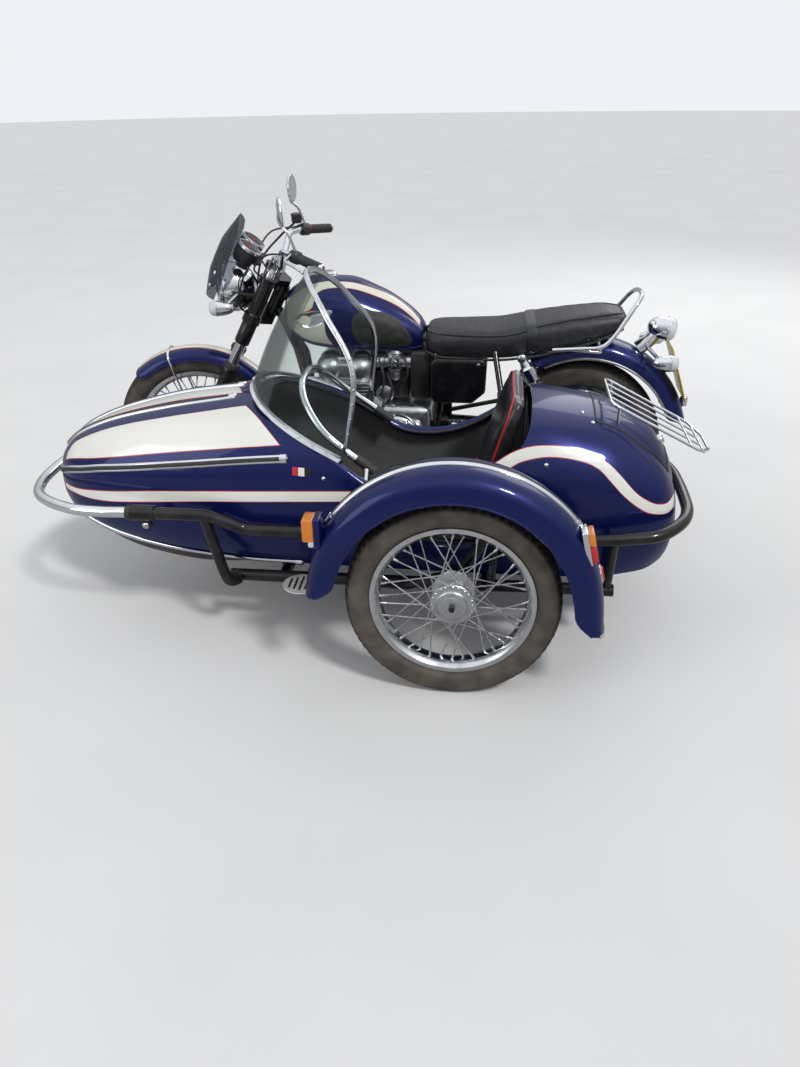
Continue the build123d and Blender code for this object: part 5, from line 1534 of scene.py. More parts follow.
foot_line, free_line = screen_line(SCREEN_BASE), screen_line(SCREEN_EDGE)
middle = np.array([0.80, HULL_Y, 0.80])
sheet_rings = []
for low, high in zip(foot_line, free_line):
    chord = high - low
    out = (low + high) / 2 - middle
    out = out - chord * np.dot(out, chord) / np.dot(chord, chord)
    out /= np.linalg.norm(out)
    front, back = [], []
    for v in np.linspace(0.0, 1.0, 15):
        bow = 0.016 * sin(pi * v)
        p = low + chord * v + out * bow
        front.append(p + out * 0.0018)
        back.append(p - out * 0.0018)
    sheet_rings.append(front + back[::-1])
sheet = piece("windscreen_sheet", skin(sheet_rings), clear_acrylic, sharp=radians(60))
keep(sheet, "clear_sheet", "root", ["windscreen"])

channel_out = []
for low, high in zip(foot_line, free_line):
    out = high - middle
    channel_out.append(out / np.linalg.norm(out))
channel = [(-0.0075, 0.0), (-0.0075, 0.006), (-0.005, 0.008), (0.005, 0.008), (0.0075, 0.006),
           (0.0075, 0.0),
           (0.0045, -0.008), (-0.0045, -0.008)]
edge_path = free_line
keep(piece("windscreen_channel", strip(edge_path, channel, channel_out), polished, sharp=radians(50)),
     "alloy", "root",
     ["windscreen_rim"])
screw_path = [p + out * 0.0078 for p, out in zip(edge_path, channel_out)]
screws = domes_along("windscreen_screws", screw_path, channel_out, 30, 0.0042, plated, 0.5)
keep(screws, "bright_steel")

foot_out = []
for p in foot_line:
    off = p[1] - HULL_Y
    foot_out.append(hull.on(p[0], hull.top_girth(p[0], np.sign(off) * min(abs(off), 0.25)))[1])
flat = [(-0.011, 0.000), (-0.010, 0.0035), (0.010, 0.0035), (0.011, 0.000), (0.009, -0.008),
        (-0.009, -0.008)]
keep(piece("windscreen_foot_strip", strip(foot_line, flat, foot_out), polished, sharp=radians(50)),
     "alloy")
foot_screws = domes_along(
    "windscreen_foot_screws", [p + n * 0.0035 for p, n in zip(foot_line, foot_out)], foot_out, 22, 0.0038,
    plated, 0.5
)
keep(foot_screws, "bright_steel")
for side, tag in SIDES:
    clip_low = Vector((0.762, HULL_Y + side * 0.262, 0.602))
    clip_high = Vector((0.742, HULL_Y + side * 0.260, 0.660))
    keep(piece(f"windscreen_clip_{tag}",
               bar(clip_low, clip_high, 0.006, sides=12, soft=0.001),
               black_rubber), "black_rubber")
print("windscreen made")

# %% [markdown]
# The hoop that the passenger holds is one bent tube, with a black collar and a short foot
# at each end. A pipe along a smooth curve gives the soft bends of real tube.

# %% The grab hoop and the clamps at its feet
hoop_half = [(0.672, 0.222, 0.560), (0.748, 0.220, 0.615), (0.822, 0.204, 0.674), (0.876, 0.158, 0.738),
             (0.902, 0.082, 0.775)]
hoop_route = [(x, HULL_Y + y, z) for x, y, z in hoop_half] + [(0.906, HULL_Y, 0.783)]
hoop_route += [(x, HULL_Y - y, z) for x, y, z in reversed(hoop_half)]
keep(piece("grab_hoop_tube", pipe(curve_through(hoop_route, 10), 0.011, 24), chrome), "chrome", "root",
     ["grab_hoop"])
for side, tag in SIDES:
    foot = bar((0.690, HULL_Y + side * 0.221, 0.572), (0.690, HULL_Y + side * 0.262, 0.538), 0.009,
               sides=20, soft=0.001)
    keep(piece(f"hoop_foot_{tag}", foot, chrome), "chrome")
for side, tag in SIDES:
    grip_points = [(0.668, HULL_Y + side * 0.222, 0.5565), (0.690, HULL_Y + side * 0.2205, 0.5735),
                   (0.722, HULL_Y + side * 0.2187, 0.597)]
    collar = pipe(curve_through(grip_points, 6), 0.0145, 18)
    keep(piece(f"hoop_collar_{tag}", collar, black_rubber), "black_rubber")

# %% [markdown]
# The mudguard is a deep, soft form: a crown that rolls over into two skirts. One outline
# turned round the axle gives it, and the outline shrinks towards both ends, so the corners
# come out round. The edges are rolled to a bead.

# %% The sidecar mudguard
def deep_guard(name, axle, start, end, crown, skirt, half, wall, material, slot, nodes, body="root",
               tail=0.0,
               power=2.7, turn=False, steps=90, round_ends=9.0):
    """A mudguard from angle start to end in degrees; its skirts rise near both ends."""
    us = np.linspace(-1, 1, 27)
    us = np.sign(us) * np.abs(us) ** 0.75
    rings, edges = [], ([], [])
    for t in np.linspace(start, end, steps):
        near_end = min(t - start, end - t)
        lift = max(0.0, 1 - near_end / round_ends) ** 2
        low = skirt + (crown - skirt) * 0.55 * lift
        flare = tail * max(0.0, 1 - (end - t) / 22.0) ** 2
        outer, inner = [], []
        for u in us:
            drop = (1 - abs(u) ** power) ** (1 / power)
            r = low + (crown - low) * drop + flare
            outer.append((u * half, r))
            inner.append((u * (half - wall), max(low + flare, r - wall)))
        ring = []
        for y, r in outer + inner[::-1]:
            ring.append((axle[0] + r * cos(radians(t)), axle[1] + y, axle[2] + r * sin(radians(t))))
        rings.append(ring)
        for k, u in enumerate((us[0], us[-1])):
            edges[k].append((axle[0] + (low + flare) * cos(radians(t)), axle[1] + u * (half - wall / 2),
                             axle[2] + (low + flare) * sin(radians(t))))
    keep(piece(name, skin(rings), material, turn=turn, sharp=radians(50)), slot, body, nodes)
    for k, path in enumerate(edges):
        keep(piece(name + ("_far_bead" if k == 0 else "_near_bead"), pipe(path, 0.0032, 8), material,
                   turn=turn), slot, body)
    return rings


def round_axle(axle, angle, radius, y=0.0):
    """A point at an angle and a radius round an axle, and the direction out there."""
    out = np.array([cos(radians(angle)), 0, sin(radians(angle))])
    return np.array(axle) + out * radius + (0, y, 0), out


deep_guard("sidecar_mudguard_shell", SIDE_AXLE, 4, 188, 0.411, 0.331, 0.087, 0.003, blue_paint,
           "deep_blue_paint",
           ["sidecar_mudguard"], tail=0.010, power=3.0)
crown_points, crown_ways = zip(*[round_axle(SIDE_AXLE, t, 0.4105) for t in np.linspace(36, 142, 70)])
keep(piece("mudguard_strip", strip(crown_points, half_round(0.030, 0.0075), crown_ways), chrome),
     "chrome")
raised = [p + n * 0.0050 for p, n in zip(crown_points, crown_ways)]
keep(piece("mudguard_strip_insert", strip(raised, half_round(0.014, 0.0040), crown_ways), black_rubber),
     "black_rubber")
for k, angle in enumerate((35.0, 143.0)):
    cap_points, cap_ways = zip(*[round_axle(SIDE_AXLE, angle + d,
                                            0.4105) for d in (-1.6, -0.8, 0.8, 1.6)])
    keep(piece(f"mudguard_strip_cap_{k}", strip(cap_points, half_round(0.034, 0.0100), cap_ways), chrome),
         "chrome")
tail_points, tail_ways = [], []
for a in np.linspace(-0.92, 0.92, 30):
    drop = (1 - abs(a) ** 3.0) ** (1 / 3.0)
    low = 0.331 + 0.080 * 0.55
    p, n = round_axle(SIDE_AXLE, 187.9, low + (0.411 - low) * drop + 0.0102, a * 0.087)
    tail_points.append(p)
    tail_ways.append(n)
keep(piece("mudguard_tail_bead", pipe(tail_points, 0.0042, 10), polished), "alloy")
for k, (start, end) in enumerate((((0.700, 1.036, 0.424), (0.708, 1.122, 0.460)),
                                  ((0.096, 1.036, 0.424), (0.104, 1.122, 0.460)))):
    keep(piece(f"mudguard_arm_{k}", bar(start, end, 0.009, sides=16, soft=0.001), black_paint),
         "black_paint")
print("mudguard made")

# %% [markdown]
# The lamps are moulded boxes on the mudguard: amber over clear at the front, and an amber
# and red strip at the back. Each lens is its own block with ribs in its material, in a
# painted or black base, with a chrome line between the colours.

# %% The sidecar's lamps
def lens_block(name, low, high, material, slot):
    keep(piece(name, soft_block(low, high, 0.006), material), slot)


front_base = soft_block((0.768, 1.212, 0.474), (0.790, 1.270, 0.566), 0.008)
keep(piece("front_lamp_base", front_base, blue_paint), "deep_blue_paint", "root", ["sidecar_lamps"])
lens_block("front_lamp_amber", (0.787, 1.212, 0.494), (0.820, 1.269, 0.562), amber_lens, "amber_lens")
lens_block("front_lamp_clear", (0.787, 1.214, 0.478), (0.805, 1.268, 0.5195), clear_lens, "clear_sheet")
keep(piece("front_lamp_foot", bar((0.776, 1.238, 0.500), (0.738, 1.232, 0.470), 0.016, 0.022, sides=20,
                                  soft=0.002), blue_paint),
     "deep_blue_paint")
to_lamp = Matrix.Translation((0.058, 0, 0.508))
from_lamp = Matrix.Translation((-0.058, 0, -0.508))
lamp_lean = to_lamp @ Matrix.Rotation(radians(12), 4, "Y") @ from_lamp
for name, z_low, z_high, material, slot in (
    ("rear_lamp_amber", 0.512, 0.552, amber_lens, "amber_lens"),
    ("rear_lamp_red", 0.462, 0.511, red_lens, "red_lens"),
):
    block_shape = soft_block((0.040, 1.214, z_low), (0.058, 1.268, z_high), 0.005)
    keep(piece(name, moved(block_shape, lamp_lean), material), slot)
back_plate = soft_block((0.056, 1.211, 0.456), (0.074, 1.271, 0.558), 0.005)
keep(piece("rear_lamp_base", moved(back_plate, lamp_lean), chrome), "chrome")
spot, way = round_axle(SIDE_AXLE, 166.0, 0.4100, 0.0)
reflector = bar(spot - way * 0.004, spot + way * 0.009, 0.024, 0.022, sides=32, soft=0.003)
keep(piece("tail_reflector", reflector, red_lens), "red_lens")
keep(piece("tail_reflector_ring", bar(spot - way * 0.005, spot + way * 0.004, 0.028, sides=32,
                                      soft=0.002), chrome), "chrome")
print("lamps made")

# %% [markdown]
# Under the nose a second skin closes the belly. Below it, the chassis tubes already come
# from the frame. Here they get a clamp with a domed bolt where the front hoop meets the
# side bar, and the step plate gets its slots.

# %% Belly pan, clamp, step plate
KEEL = as_array(((1.700, 0.064, 0.040, 0.380, 0.318), (1.600, 0.126, 0.084, 0.330, 0.222),
                 (1.450, 0.166, 0.120, 0.300, 0.172),
                 (1.250, 0.186, 0.142, 0.280, 0.148), (1.010, 0.190, 0.150, 0.270, 0.164)))[::-1]
belly, trim_path = [], []
for x in np.linspace(1.010, 1.700, 40):
    top, bottom, z_top, z_bottom = (smooth_column(KEEL[:, 0], KEEL[:, k], x) for k in range(1, 5))
    ring = []
    for k in range(25):
        a = pi * k / 24
        s, c = sin(a), cos(a)
        y = (bottom + (top - bottom) * (1 - s)) * np.sign(c) * abs(c) ** 0.55
        z = z_top - (z_top - z_bottom) * s**0.75
        ring.append((x, HULL_Y + y, z))
    belly.append(ring)
    trim_path.append((x, HULL_Y + top + 0.001, z_top - 0.010))
keep(piece("belly_pan", skin(belly), black_paint, sharp=radians(50)), "deep_blue_paint", "root",
     ["keel_pan"])
keep(piece("belly_trim", pipe(trim_path, 0.0045, 8), chrome), "chrome")
BAR_Y = 1.030
keep(piece("hoop_clamp", bar((1.322, BAR_Y, 0.446), (1.396, BAR_Y, 0.446), 0.0238, sides=40, soft=0.002),
           black_paint), "black_paint")
keep(piece("hoop_clamp_cap", bar((1.394, BAR_Y, 0.446), (1.412, BAR_Y, 0.446), 0.0226, sides=40,
                                 soft=0.002), black_rubber),
     "black_rubber")
lug = bar((1.352, BAR_Y - 0.004, 0.410), (1.352, BAR_Y + 0.008, 0.410), 0.0165, sides=24, soft=0.002)
keep(piece("clamp_lug", lug, black_paint), "black_paint")
head = turned([(-0.002, 0), (-0.002, 0.0115), (0.004, 0.0115), (0.008, 0.0085), (0.0105, 0.004),
               (0.011, 0)],
              (1.352, BAR_Y + 0.009, 0.410), (0, 1, 0), 32)
keep(piece("clamp_bolt", head, plated), "bright_steel")
plate = turned([(-0.003, 0), (-0.003, 0.054), (-0.001, 0.0565), (0.002, 0.0565), (0.003, 0.054),
                (0.003, 0)], (0.884, 1.050, 0.232),
               (0, 0, 1), 64)
keep(piece("step_disc", plate, white_paint), "alloy", "root", ["step_plate"])
slots = []
for k in range(-2, 3):
    reach = 0.040 - 0.006 * abs(k)
    slots.append(soft_block((0.884 + k * 0.017 - 0.0035, 1.050 - reach, 0.2342),
                            (0.884 + k * 0.017 + 0.0035, 1.050 + reach, 0.2356),
                            0.0006))
keep(piece("step_grips", together(*slots), black_rubber), "black_rubber")
keep(piece("step_arm", bar((0.884, 0.975, 0.217), (0.884, 1.036, 0.2275), 0.008, sides=16, soft=0.001),
           black_paint), "black_paint")

# %% [markdown]
# A rubber bead seals the lid, a round lock holds it, and rivets show where the hull's
# panels are fixed. The bead follows the lid's outline over the hull, and the rivets stand
# square to the surface they sit in.

# %% The boot lid's seal, lock and rivets
seal = list(lid_outline(0.0025)) + [lid_outline(0.0025)[0]]
seal_path = []
for (x0, y0), (x1, y1) in zip(seal, seal[1:]):
    for t in np.linspace(0, 1, 14, endpoint=False):
        x, y = x0 + (x1 - x0) * t, y0 + (y1 - y0) * t
        seal_path.append(on_hull(x, hull.top_girth(x, y - HULL_Y), -0.001)[0])
keep(piece("boot_seal", pipe(seal_path, 0.0036, 8, loop=True), black_rubber), "black_rubber")
point, way = on_hull(-0.190, hull.top_girth(-0.190, 0.0), 0.0)
lock = turned([(-0.004, 0), (-0.004, 0.016), (0.006, 0.016), (0.010, 0.013), (0.012, 0.006), (0.012, 0)],
              point, way, 32)
keep(piece("boot_lock", lock, chrome), "chrome", "boot_lid_body")
heads = []
for x, girth in (
    (0.166, hull.side_girth(0.166, 0.614)), (0.032, hull.top_girth(0.032, 0.140)),
    (0.060, hull.top_girth(0.060, 0.100)),
    (0.030, hull.top_girth(0.030, -0.140)), (0.166, 80 - hull.side_girth(0.166, 0.614)),
    (0.809, hull.side_girth(0.809, 0.560)), (0.809, 80 - hull.side_girth(0.809, 0.560)),
):
    point, way = on_hull(x, girth)
    heads.append(turned([(-0.002, 0), (-0.002, 0.0062), (0.0015, 0.0062), (0.004, 0.004), (0.0048, 0)],
                        point, way, 20))
keep(piece("hull_rivets", together(*heads), plated), "bright_steel")

# %% [markdown]
# A transfer is a film that lies on the paint. It is three thin bands, laid on the hull like
# the painted ones, with no device or lettering.

# %% A small tricolour transfer on the hull
for k, (material, slot) in enumerate(((red_line, "red_lens"), (white_paint, "white_paint"),
                                      (black_paint, "black_paint"))):
    x0 = 0.902 - k * 0.018
    low = on_side_line([(x0, 0.566 - k * 0.001), (x0 - 0.009, 0.5655 - k * 0.001),
                        (x0 - 0.018, 0.565 - k * 0.001)])
    high = on_side_line([(x0, 0.590 - k * 0.001), (x0 - 0.009, 0.5895 - k * 0.001),
                         (x0 - 0.018, 0.589 - k * 0.001)])
    band(f"transfer_{k}", low, high, material, 0.0009, slot, across=4, samples=8)
print("sidecar dressed")

# %% [markdown]
# The motorcycle's tank and seat are long soft bodies like the hull, so they come from the
# same kind of rows. Their ends round over: near an end, each section is set in by the depth
# of a quarter circle.

# %% The fuel tank
TANK_ROWS = as_array((
    (1.118, 0.040, 0.062, 0.034, 0.790, 0.836, 0.864, 0.874),
    (1.090, 0.092, 0.112, 0.066, 0.762, 0.834, 0.888, 0.902),
    (1.000, 0.118, 0.142, 0.092, 0.718, 0.820, 0.918, 0.944),
    (0.880, 0.114, 0.140, 0.088, 0.702, 0.796, 0.910, 0.942),
    (0.760, 0.098, 0.122, 0.072, 0.696, 0.772, 0.868, 0.902),
    (0.650, 0.086, 0.104, 0.060, 0.696, 0.750, 0.806, 0.834),
    (0.592, 0.072, 0.086, 0.050, 0.704, 0.736, 0.764, 0.778),
))[::-1]
tank = Form(TANK_ROWS, 0.0, 300)


def soft_ended(form, x_from, x_to, over, stations=90, inset=0.0):
    """A form's skin between two stations, with ends that round over."""
    rings = []
    for t in np.linspace(-1, 1, stations):
        x = (x_from + x_to) / 2 + (x_to - x_from) / 2 * sin(pi / 2 * t)
        near = min(x - x_from, x_to - x)
        depth = 0.0 if near >= over else over - sqrt(max(0.0, over**2 - (over - near) ** 2))
        half = half_section(form.row(x), inset + depth)
        rings.append([(x, form.centre_y + y, z) for y, z in half]
                     + [(x, form.centre_y - y, z) for y, z in half[-2:0:-1]])
    return skin(rings)


def patch(name, form, outline, heights, material, slot):
    """A raised pad on a form: a closed outline of (x, girth), and heights as (share of it, proud)."""
    loop = evenly(outline + outline[:1], 73)[:-1]
    middle = loop.mean(axis=0)
    rings = []
    for share, proud in heights:
        rings.append([form.on(*(middle + (p - middle) * share), proud)[0] for p in loop])
    return keep(piece(name, skin(rings), material, sharp=radians(60)), slot)


keep(piece("tank_shell", soft_ended(tank, 0.592, 1.118, 0.020), blue_paint, sharp=radians(60)),
     "deep_blue_paint", "root",
     ["fuel_tank"])
SCALLOP_HIGH = [(1.096, 24.0), (1.068, 26.5), (1.009, 31.1), (0.939, 33.9), (0.895, 33.9), (0.836, 34.5),
                (0.760, 35.8), (0.692, 36.7),
                (0.640, 35.6), (0.610, 33.6)]
SCALLOP_LOW = [(1.096, 9.0), (1.050, 15.8), (1.000, 19.7), (0.989, 22.5), (0.984, 25.9), (0.960, 28.7),
               (0.918, 30.3), (0.862, 30.9),
               (0.804, 31.5), (0.748, 31.9), (0.680, 32.4), (0.630, 31.0), (0.608, 29.0)]
NOSE_HIGH = [(1.096, 9.2), (1.050, 15.6), (1.000, 18.6), (0.966, 18.4), (0.953, 15.5), (0.950, 12.0),
             (0.942, 9.4), (0.930, 7.6)]
NOSE_LOW = [(1.096, 7.2), (1.040, 7.0), (0.985, 7.0), (0.930, 7.0)]
PAD = [(0.851, 17.9), (0.833, 21.0), (0.786, 23.5), (0.712, 24.6), (0.663, 21.0), (0.632, 13.0),
       (0.660, 8.6), (0.757, 7.6), (0.824, 9.4),
       (0.848, 13.0)]
BADGE = [(1.074, 12.8), (1.033, 16.9), (0.965, 19.7), (0.921, 20.3), (0.940, 16.6), (0.974, 13.6),
         (1.036, 11.6)]
for near in (True, False):
    tag = "" if near else "far_"
    lines = [SCALLOP_LOW, SCALLOP_HIGH, NOSE_LOW, NOSE_HIGH, PAD, BADGE]
    if not near:
        lines = [mirrored(line) for line in lines]
    scallop_low, scallop_high, nose_low, nose_high, pad_line, badge_line = lines
    lined_band(tag + "tank_scallop", scallop_low, scallop_high, cream_paint, form=tank)
    lined_band(tag + "tank_nose", nose_low, nose_high, cream_paint, form=tank)
    patch(tag + "knee_pad", tank, pad_line, ((1.0, -0.002), (1.0, 0.0035), (0.97, 0.0055), (0.90, 0.006),
                                             (0.5, 0.006), (0.02, 0.006)),
          black_rubber, "black_rubber")
    inner_line = [(a * 0.72 + b * 0.28, g) for (a, g), b in zip(pad_line, [0.745] * len(pad_line))]
    inner_line = [(a, g * 0.72 + (16.2 if near else 63.8) * 0.28) for a, g in inner_line]
    patch(tag + "knee_pad_middle", tank, inner_line, ((1.0, 0.005), (1.0, 0.0072), (0.95, 0.0086),
                                                      (0.5, 0.0092), (0.02, 0.0092)),
          black_rubber, "black_rubber")
    patch(tag + "tank_badge", tank, badge_line, ((1.0, 0.0), (1.0, 0.0022), (0.93, 0.0040),
                                                 (0.86, 0.0026), (0.02, 0.0026)), chrome,
          "chrome")
lip = [(x, *half_section(tank.row(x))[BILGE]) for x in np.linspace(0.602, 1.104, 60)]
lip_path = [(x, y + 0.001, z - 0.001) for x, y, z in lip] + [(x, -y - 0.001, z - 0.001)
                        for x, y, z in reversed(lip)]
keep(piece("tank_seam", pipe(lip_path, 0.0048, 10, loop=True), blue_paint), "deep_blue_paint")
cap_point, cap_way = tank.on(0.955, DECK_MIDDLE - 0.01)
cap_outline = [(-0.004, 0), (-0.004, 0.034), (0.004, 0.034), (0.006, 0.030), (0.010, 0.030),
               (0.015, 0.026), (0.017, 0.012), (0.017, 0)]
keep(piece("filler_cap", turned(cap_outline, cap_point, cap_way, 48), chrome), "chrome")
print("tank made")

# %% [markdown]
# The seat is one long pad, flat on top with stitched cross seams, smooth along its sides,
# and edged with piping where the two meet. A strap crosses it. The pad is blown up first,
# and what is sewn on is laid onto the finished surface, nearest point by nearest point.

# %% The dual seat
SEAT_ROWS = as_array((
    (0.598, 0.090, 0.102, 0.062, 0.692, 0.736, 0.766, 0.776),
    (0.520, 0.130, 0.140, 0.098, 0.674, 0.738, 0.768, 0.780),
    (0.330, 0.139, 0.150, 0.112, 0.670, 0.740, 0.774, 0.786),
    (0.205, 0.137, 0.150, 0.114, 0.682, 0.752, 0.794, 0.805),
    (0.020, 0.124, 0.139, 0.104, 0.722, 0.778, 0.822, 0.834),
    (-0.118, 0.094, 0.108, 0.082, 0.770, 0.802, 0.834, 0.843),
    (-0.152, 0.074, 0.082, 0.062, 0.790, 0.810, 0.828, 0.834),
))[::-1]
seat = Form(SEAT_ROWS, 0.0, 300)


seat_pad = puffed("dual_seat_pad", soft_ended(seat, -0.152, 0.592, 0.026, inset=0.004), vinyl,
                  "black_vinyl", ["dual_seat"],
                  voxel=0.008, cap=0.005)
PIPING_LINE = [(0.584, 31.0), (0.560, 26.4), (0.520, 24.6), (0.470, 23.4), (0.400, 22.6), (0.330, 22.4),
               (0.270, 22.8), (0.230, 24.0),
               (0.196, 26.0), (0.170, 27.6), (0.096, 29.0), (0.020, 29.8), (-0.070, 30.6), (-0.120, 32.4),
               (-0.138, 36.0)]
near_side = [seat.on(x, g)[0] for x, g in evenly(PIPING_LINE, 110)]
far_side = [p * (1, -1, 1) for p in near_side]
seat_seam, _ = onto(seat_pad, near_side + far_side[::-1], 0.0008)
keep(piece("seat_piping", pipe(seat_seam, 0.0042, 8, loop=True), gloss_vinyl), "black_vinyl")
for k, x in enumerate(np.concatenate([np.arange(0.528, 0.250, -0.0465),
                                      np.arange(0.132, -0.110, -0.0465)])):
    edge = float(np.interp(-x, [-a for a, _ in PIPING_LINE], [g for _, g in PIPING_LINE])) + 0.8
    over_top = [seat.on(x, g)[0] for g in np.linspace(edge, 2 * DECK_MIDDLE - edge, 40)]
    stitch, stitch_ways = onto(seat_pad, over_top, -0.0003)
    keep(piece(f"seat_stitch_{k}", strip(stitch, half_round(0.0036, 0.0014, 5), stitch_ways),
               black_plastic), "black_vinyl")
strap_line = [seat.on(0.205 - 0.016 * abs(cos(pi * g / 80)), g)[0] for g in np.linspace(7.5, 72.5, 70)]
strap_points, strap_ways = onto(seat_pad, strap_line, 0.0)
flat_strap = [(-0.019, 0.0005), (-0.0185, 0.0030), (-0.010, 0.0042), (0.010, 0.0042), (0.0185, 0.0030),
              (0.019, 0.0005)]
keep(piece("seat_strap", strip(strap_points, flat_strap, strap_ways), gloss_vinyl, sharp=radians(60)),
     "black_vinyl")
for k, shift in enumerate((-0.014, 0.014)):
    sewn, sewn_ways = onto(bpy.data.objects["seat_strap"], strap_points + (shift, 0, 0.004), 0.0)
    keep(piece(f"strap_edge_{k}", strip(sewn, half_round(0.0022, 0.0010, 5), sewn_ways), black_rubber),
         "black_vinyl")
base_line = [seat.on(x, BILGE)[0] + (0, 0.0005, 0.002) for x in np.linspace(0.580, -0.130, 60)]
base_loop = base_line + [p * (1, -1, 1) for p in base_line[::-1]]
keep(piece("seat_base_trim", pipe(base_loop, 0.0048, 8, loop=True), black_plastic), "black_vinyl")
print("seat made")

# %% [markdown]
# The engine is an air-cooled twin. Its crankcase is cast, its covers are polished domes
# held by a ring of screws, its barrels carry fins, and two bright caps sit on the head.
# Fins and screws repeat, so Geometry Nodes copy them.

# %% Engine cases and covers
case = soft_block((0.590, -0.150, 0.245), (0.985, 0.150, 0.430), 0.028)
keep(piece("crankcase", case, satin_alloy), "engine_alloy", "root", ["engine_cases"])
box_block = soft_block((0.560, -0.128, 0.300), (0.760, 0.128, 0.478), 0.026)
keep(piece("gearbox", box_block, satin_alloy), "engine_alloy")
COVERS = (
    # name, x, z, radius, from y, to y, screws
    ("clutch_cover", 0.735, 0.352, 0.106, -0.148, -0.211, 9),
    ("points_cover", 0.890, 0.350, 0.078, -0.148, -0.196, 6),
    ("sprocket_cover", 0.690, 0.362, 0.096, 0.148, 0.207, 9),
    ("alternator_cover", 0.870, 0.348, 0.082, 0.148, 0.201, 6),
)
for name, x, z, r, y_from, y_to, count in COVERS:
    depth = abs(y_to - y_from)
    way = 1 if y_to > 0 else -1
    outline = [(0, 0), (0, r), (depth * 0.42, r), (depth * 0.50, r * 0.975), (depth * 0.56, r * 0.90),
               (depth * 0.72, r * 0.86),
               (depth * 0.86, r * 0.78), (depth * 0.95, r * 0.62), (depth, r * 0.38), (depth, 0)]
    keep(piece(name, turned(outline, (x, y_from, z), (0, way, 0), 72), polished), "engine_alloy")
    screw = bar((r * 0.935, y_from + way * depth * 0.47, 0),
                (r * 0.935, y_from + way * (depth * 0.52 + 0.003), 0), 0.0052, sides=6,
                soft=0.0008)
    keep(copies_around(name + "_screws", screw, count, (x, 0, z), plated), "bright_steel")
print("engine cases made")

# %% [markdown]
# The barrels shed heat through thin cast fins. One fin is modelled and Geometry Nodes
# stacks the rest. The caps and domes above are turned, since they are round castings.

# %% Barrels, fins, head and caps
barrels = [soft_block((0.812, -0.128, 0.428), (0.962, 0.128, 0.600), 0.012)]
barrels.append(soft_block((0.806, -0.134, 0.584), (0.968, 0.134, 0.646), 0.010))
barrels.append(soft_block((0.800, -0.118, 0.636), (0.972, 0.118, 0.668), 0.012))
keep(piece("barrels", together(*barrels), satin_alloy), "engine_alloy", "root", ["cylinder_block"])
fin = soft_block((0.794, -0.150, 0.4675), (0.980, 0.150, 0.4715), 0.0016)
fins = piece("cooling_fins", fin, satin_alloy)
grow(fins, row_tree, Count=9, Step=(0.0, 0.0, 0.0130), Material=satin_alloy)
keep(fins, "engine_alloy")
cap_profile = [(-0.016, 0), (-0.016, 0.043), (0.000, 0.0435), (0.006, 0.042), (0.018, 0.0405),
               (0.028, 0.035), (0.036, 0.024), (0.040, 0.010),
               (0.0405, 0)]
for k, (x, y) in enumerate(((0.828, 0.078), (0.944, 0.078), (0.828, -0.078), (0.944, -0.078))):
    keep(piece(f"cam_cap_{k}", turned(cap_profile, (x, y, 0.642), (0, 0.10 * np.sign(y), 1), 48),
               polished), "engine_alloy")
    dome = [(-0.060, 0), (-0.060, 0.049), (0.018, 0.0515), (0.032, 0.0490), (0.046, 0.0415),
            (0.055, 0.029), (0.060, 0.012), (0.061, 0)]
    keep(piece(f"cam_dome_{k}", turned(dome, (x, y + 0.018 * np.sign(y), 0.612),
                                       (0, 0.42 * np.sign(y), 1), 56), satin_alloy), "engine_alloy")
    plug = bar((x, y + 0.060 * np.sign(y), 0.560), (x, y + 0.078 * np.sign(y), 0.566), 0.009, sides=12,
               soft=0.001)
    keep(piece(f"spark_plug_{k}", plug, black_rubber), "black_rubber")
print("top end made")

# %% [markdown]
# Each carburettor is a body, a throat and a bowl, three round castings that cross, so each
# is turned and they are added up. The breather hoses hang free behind the engine.

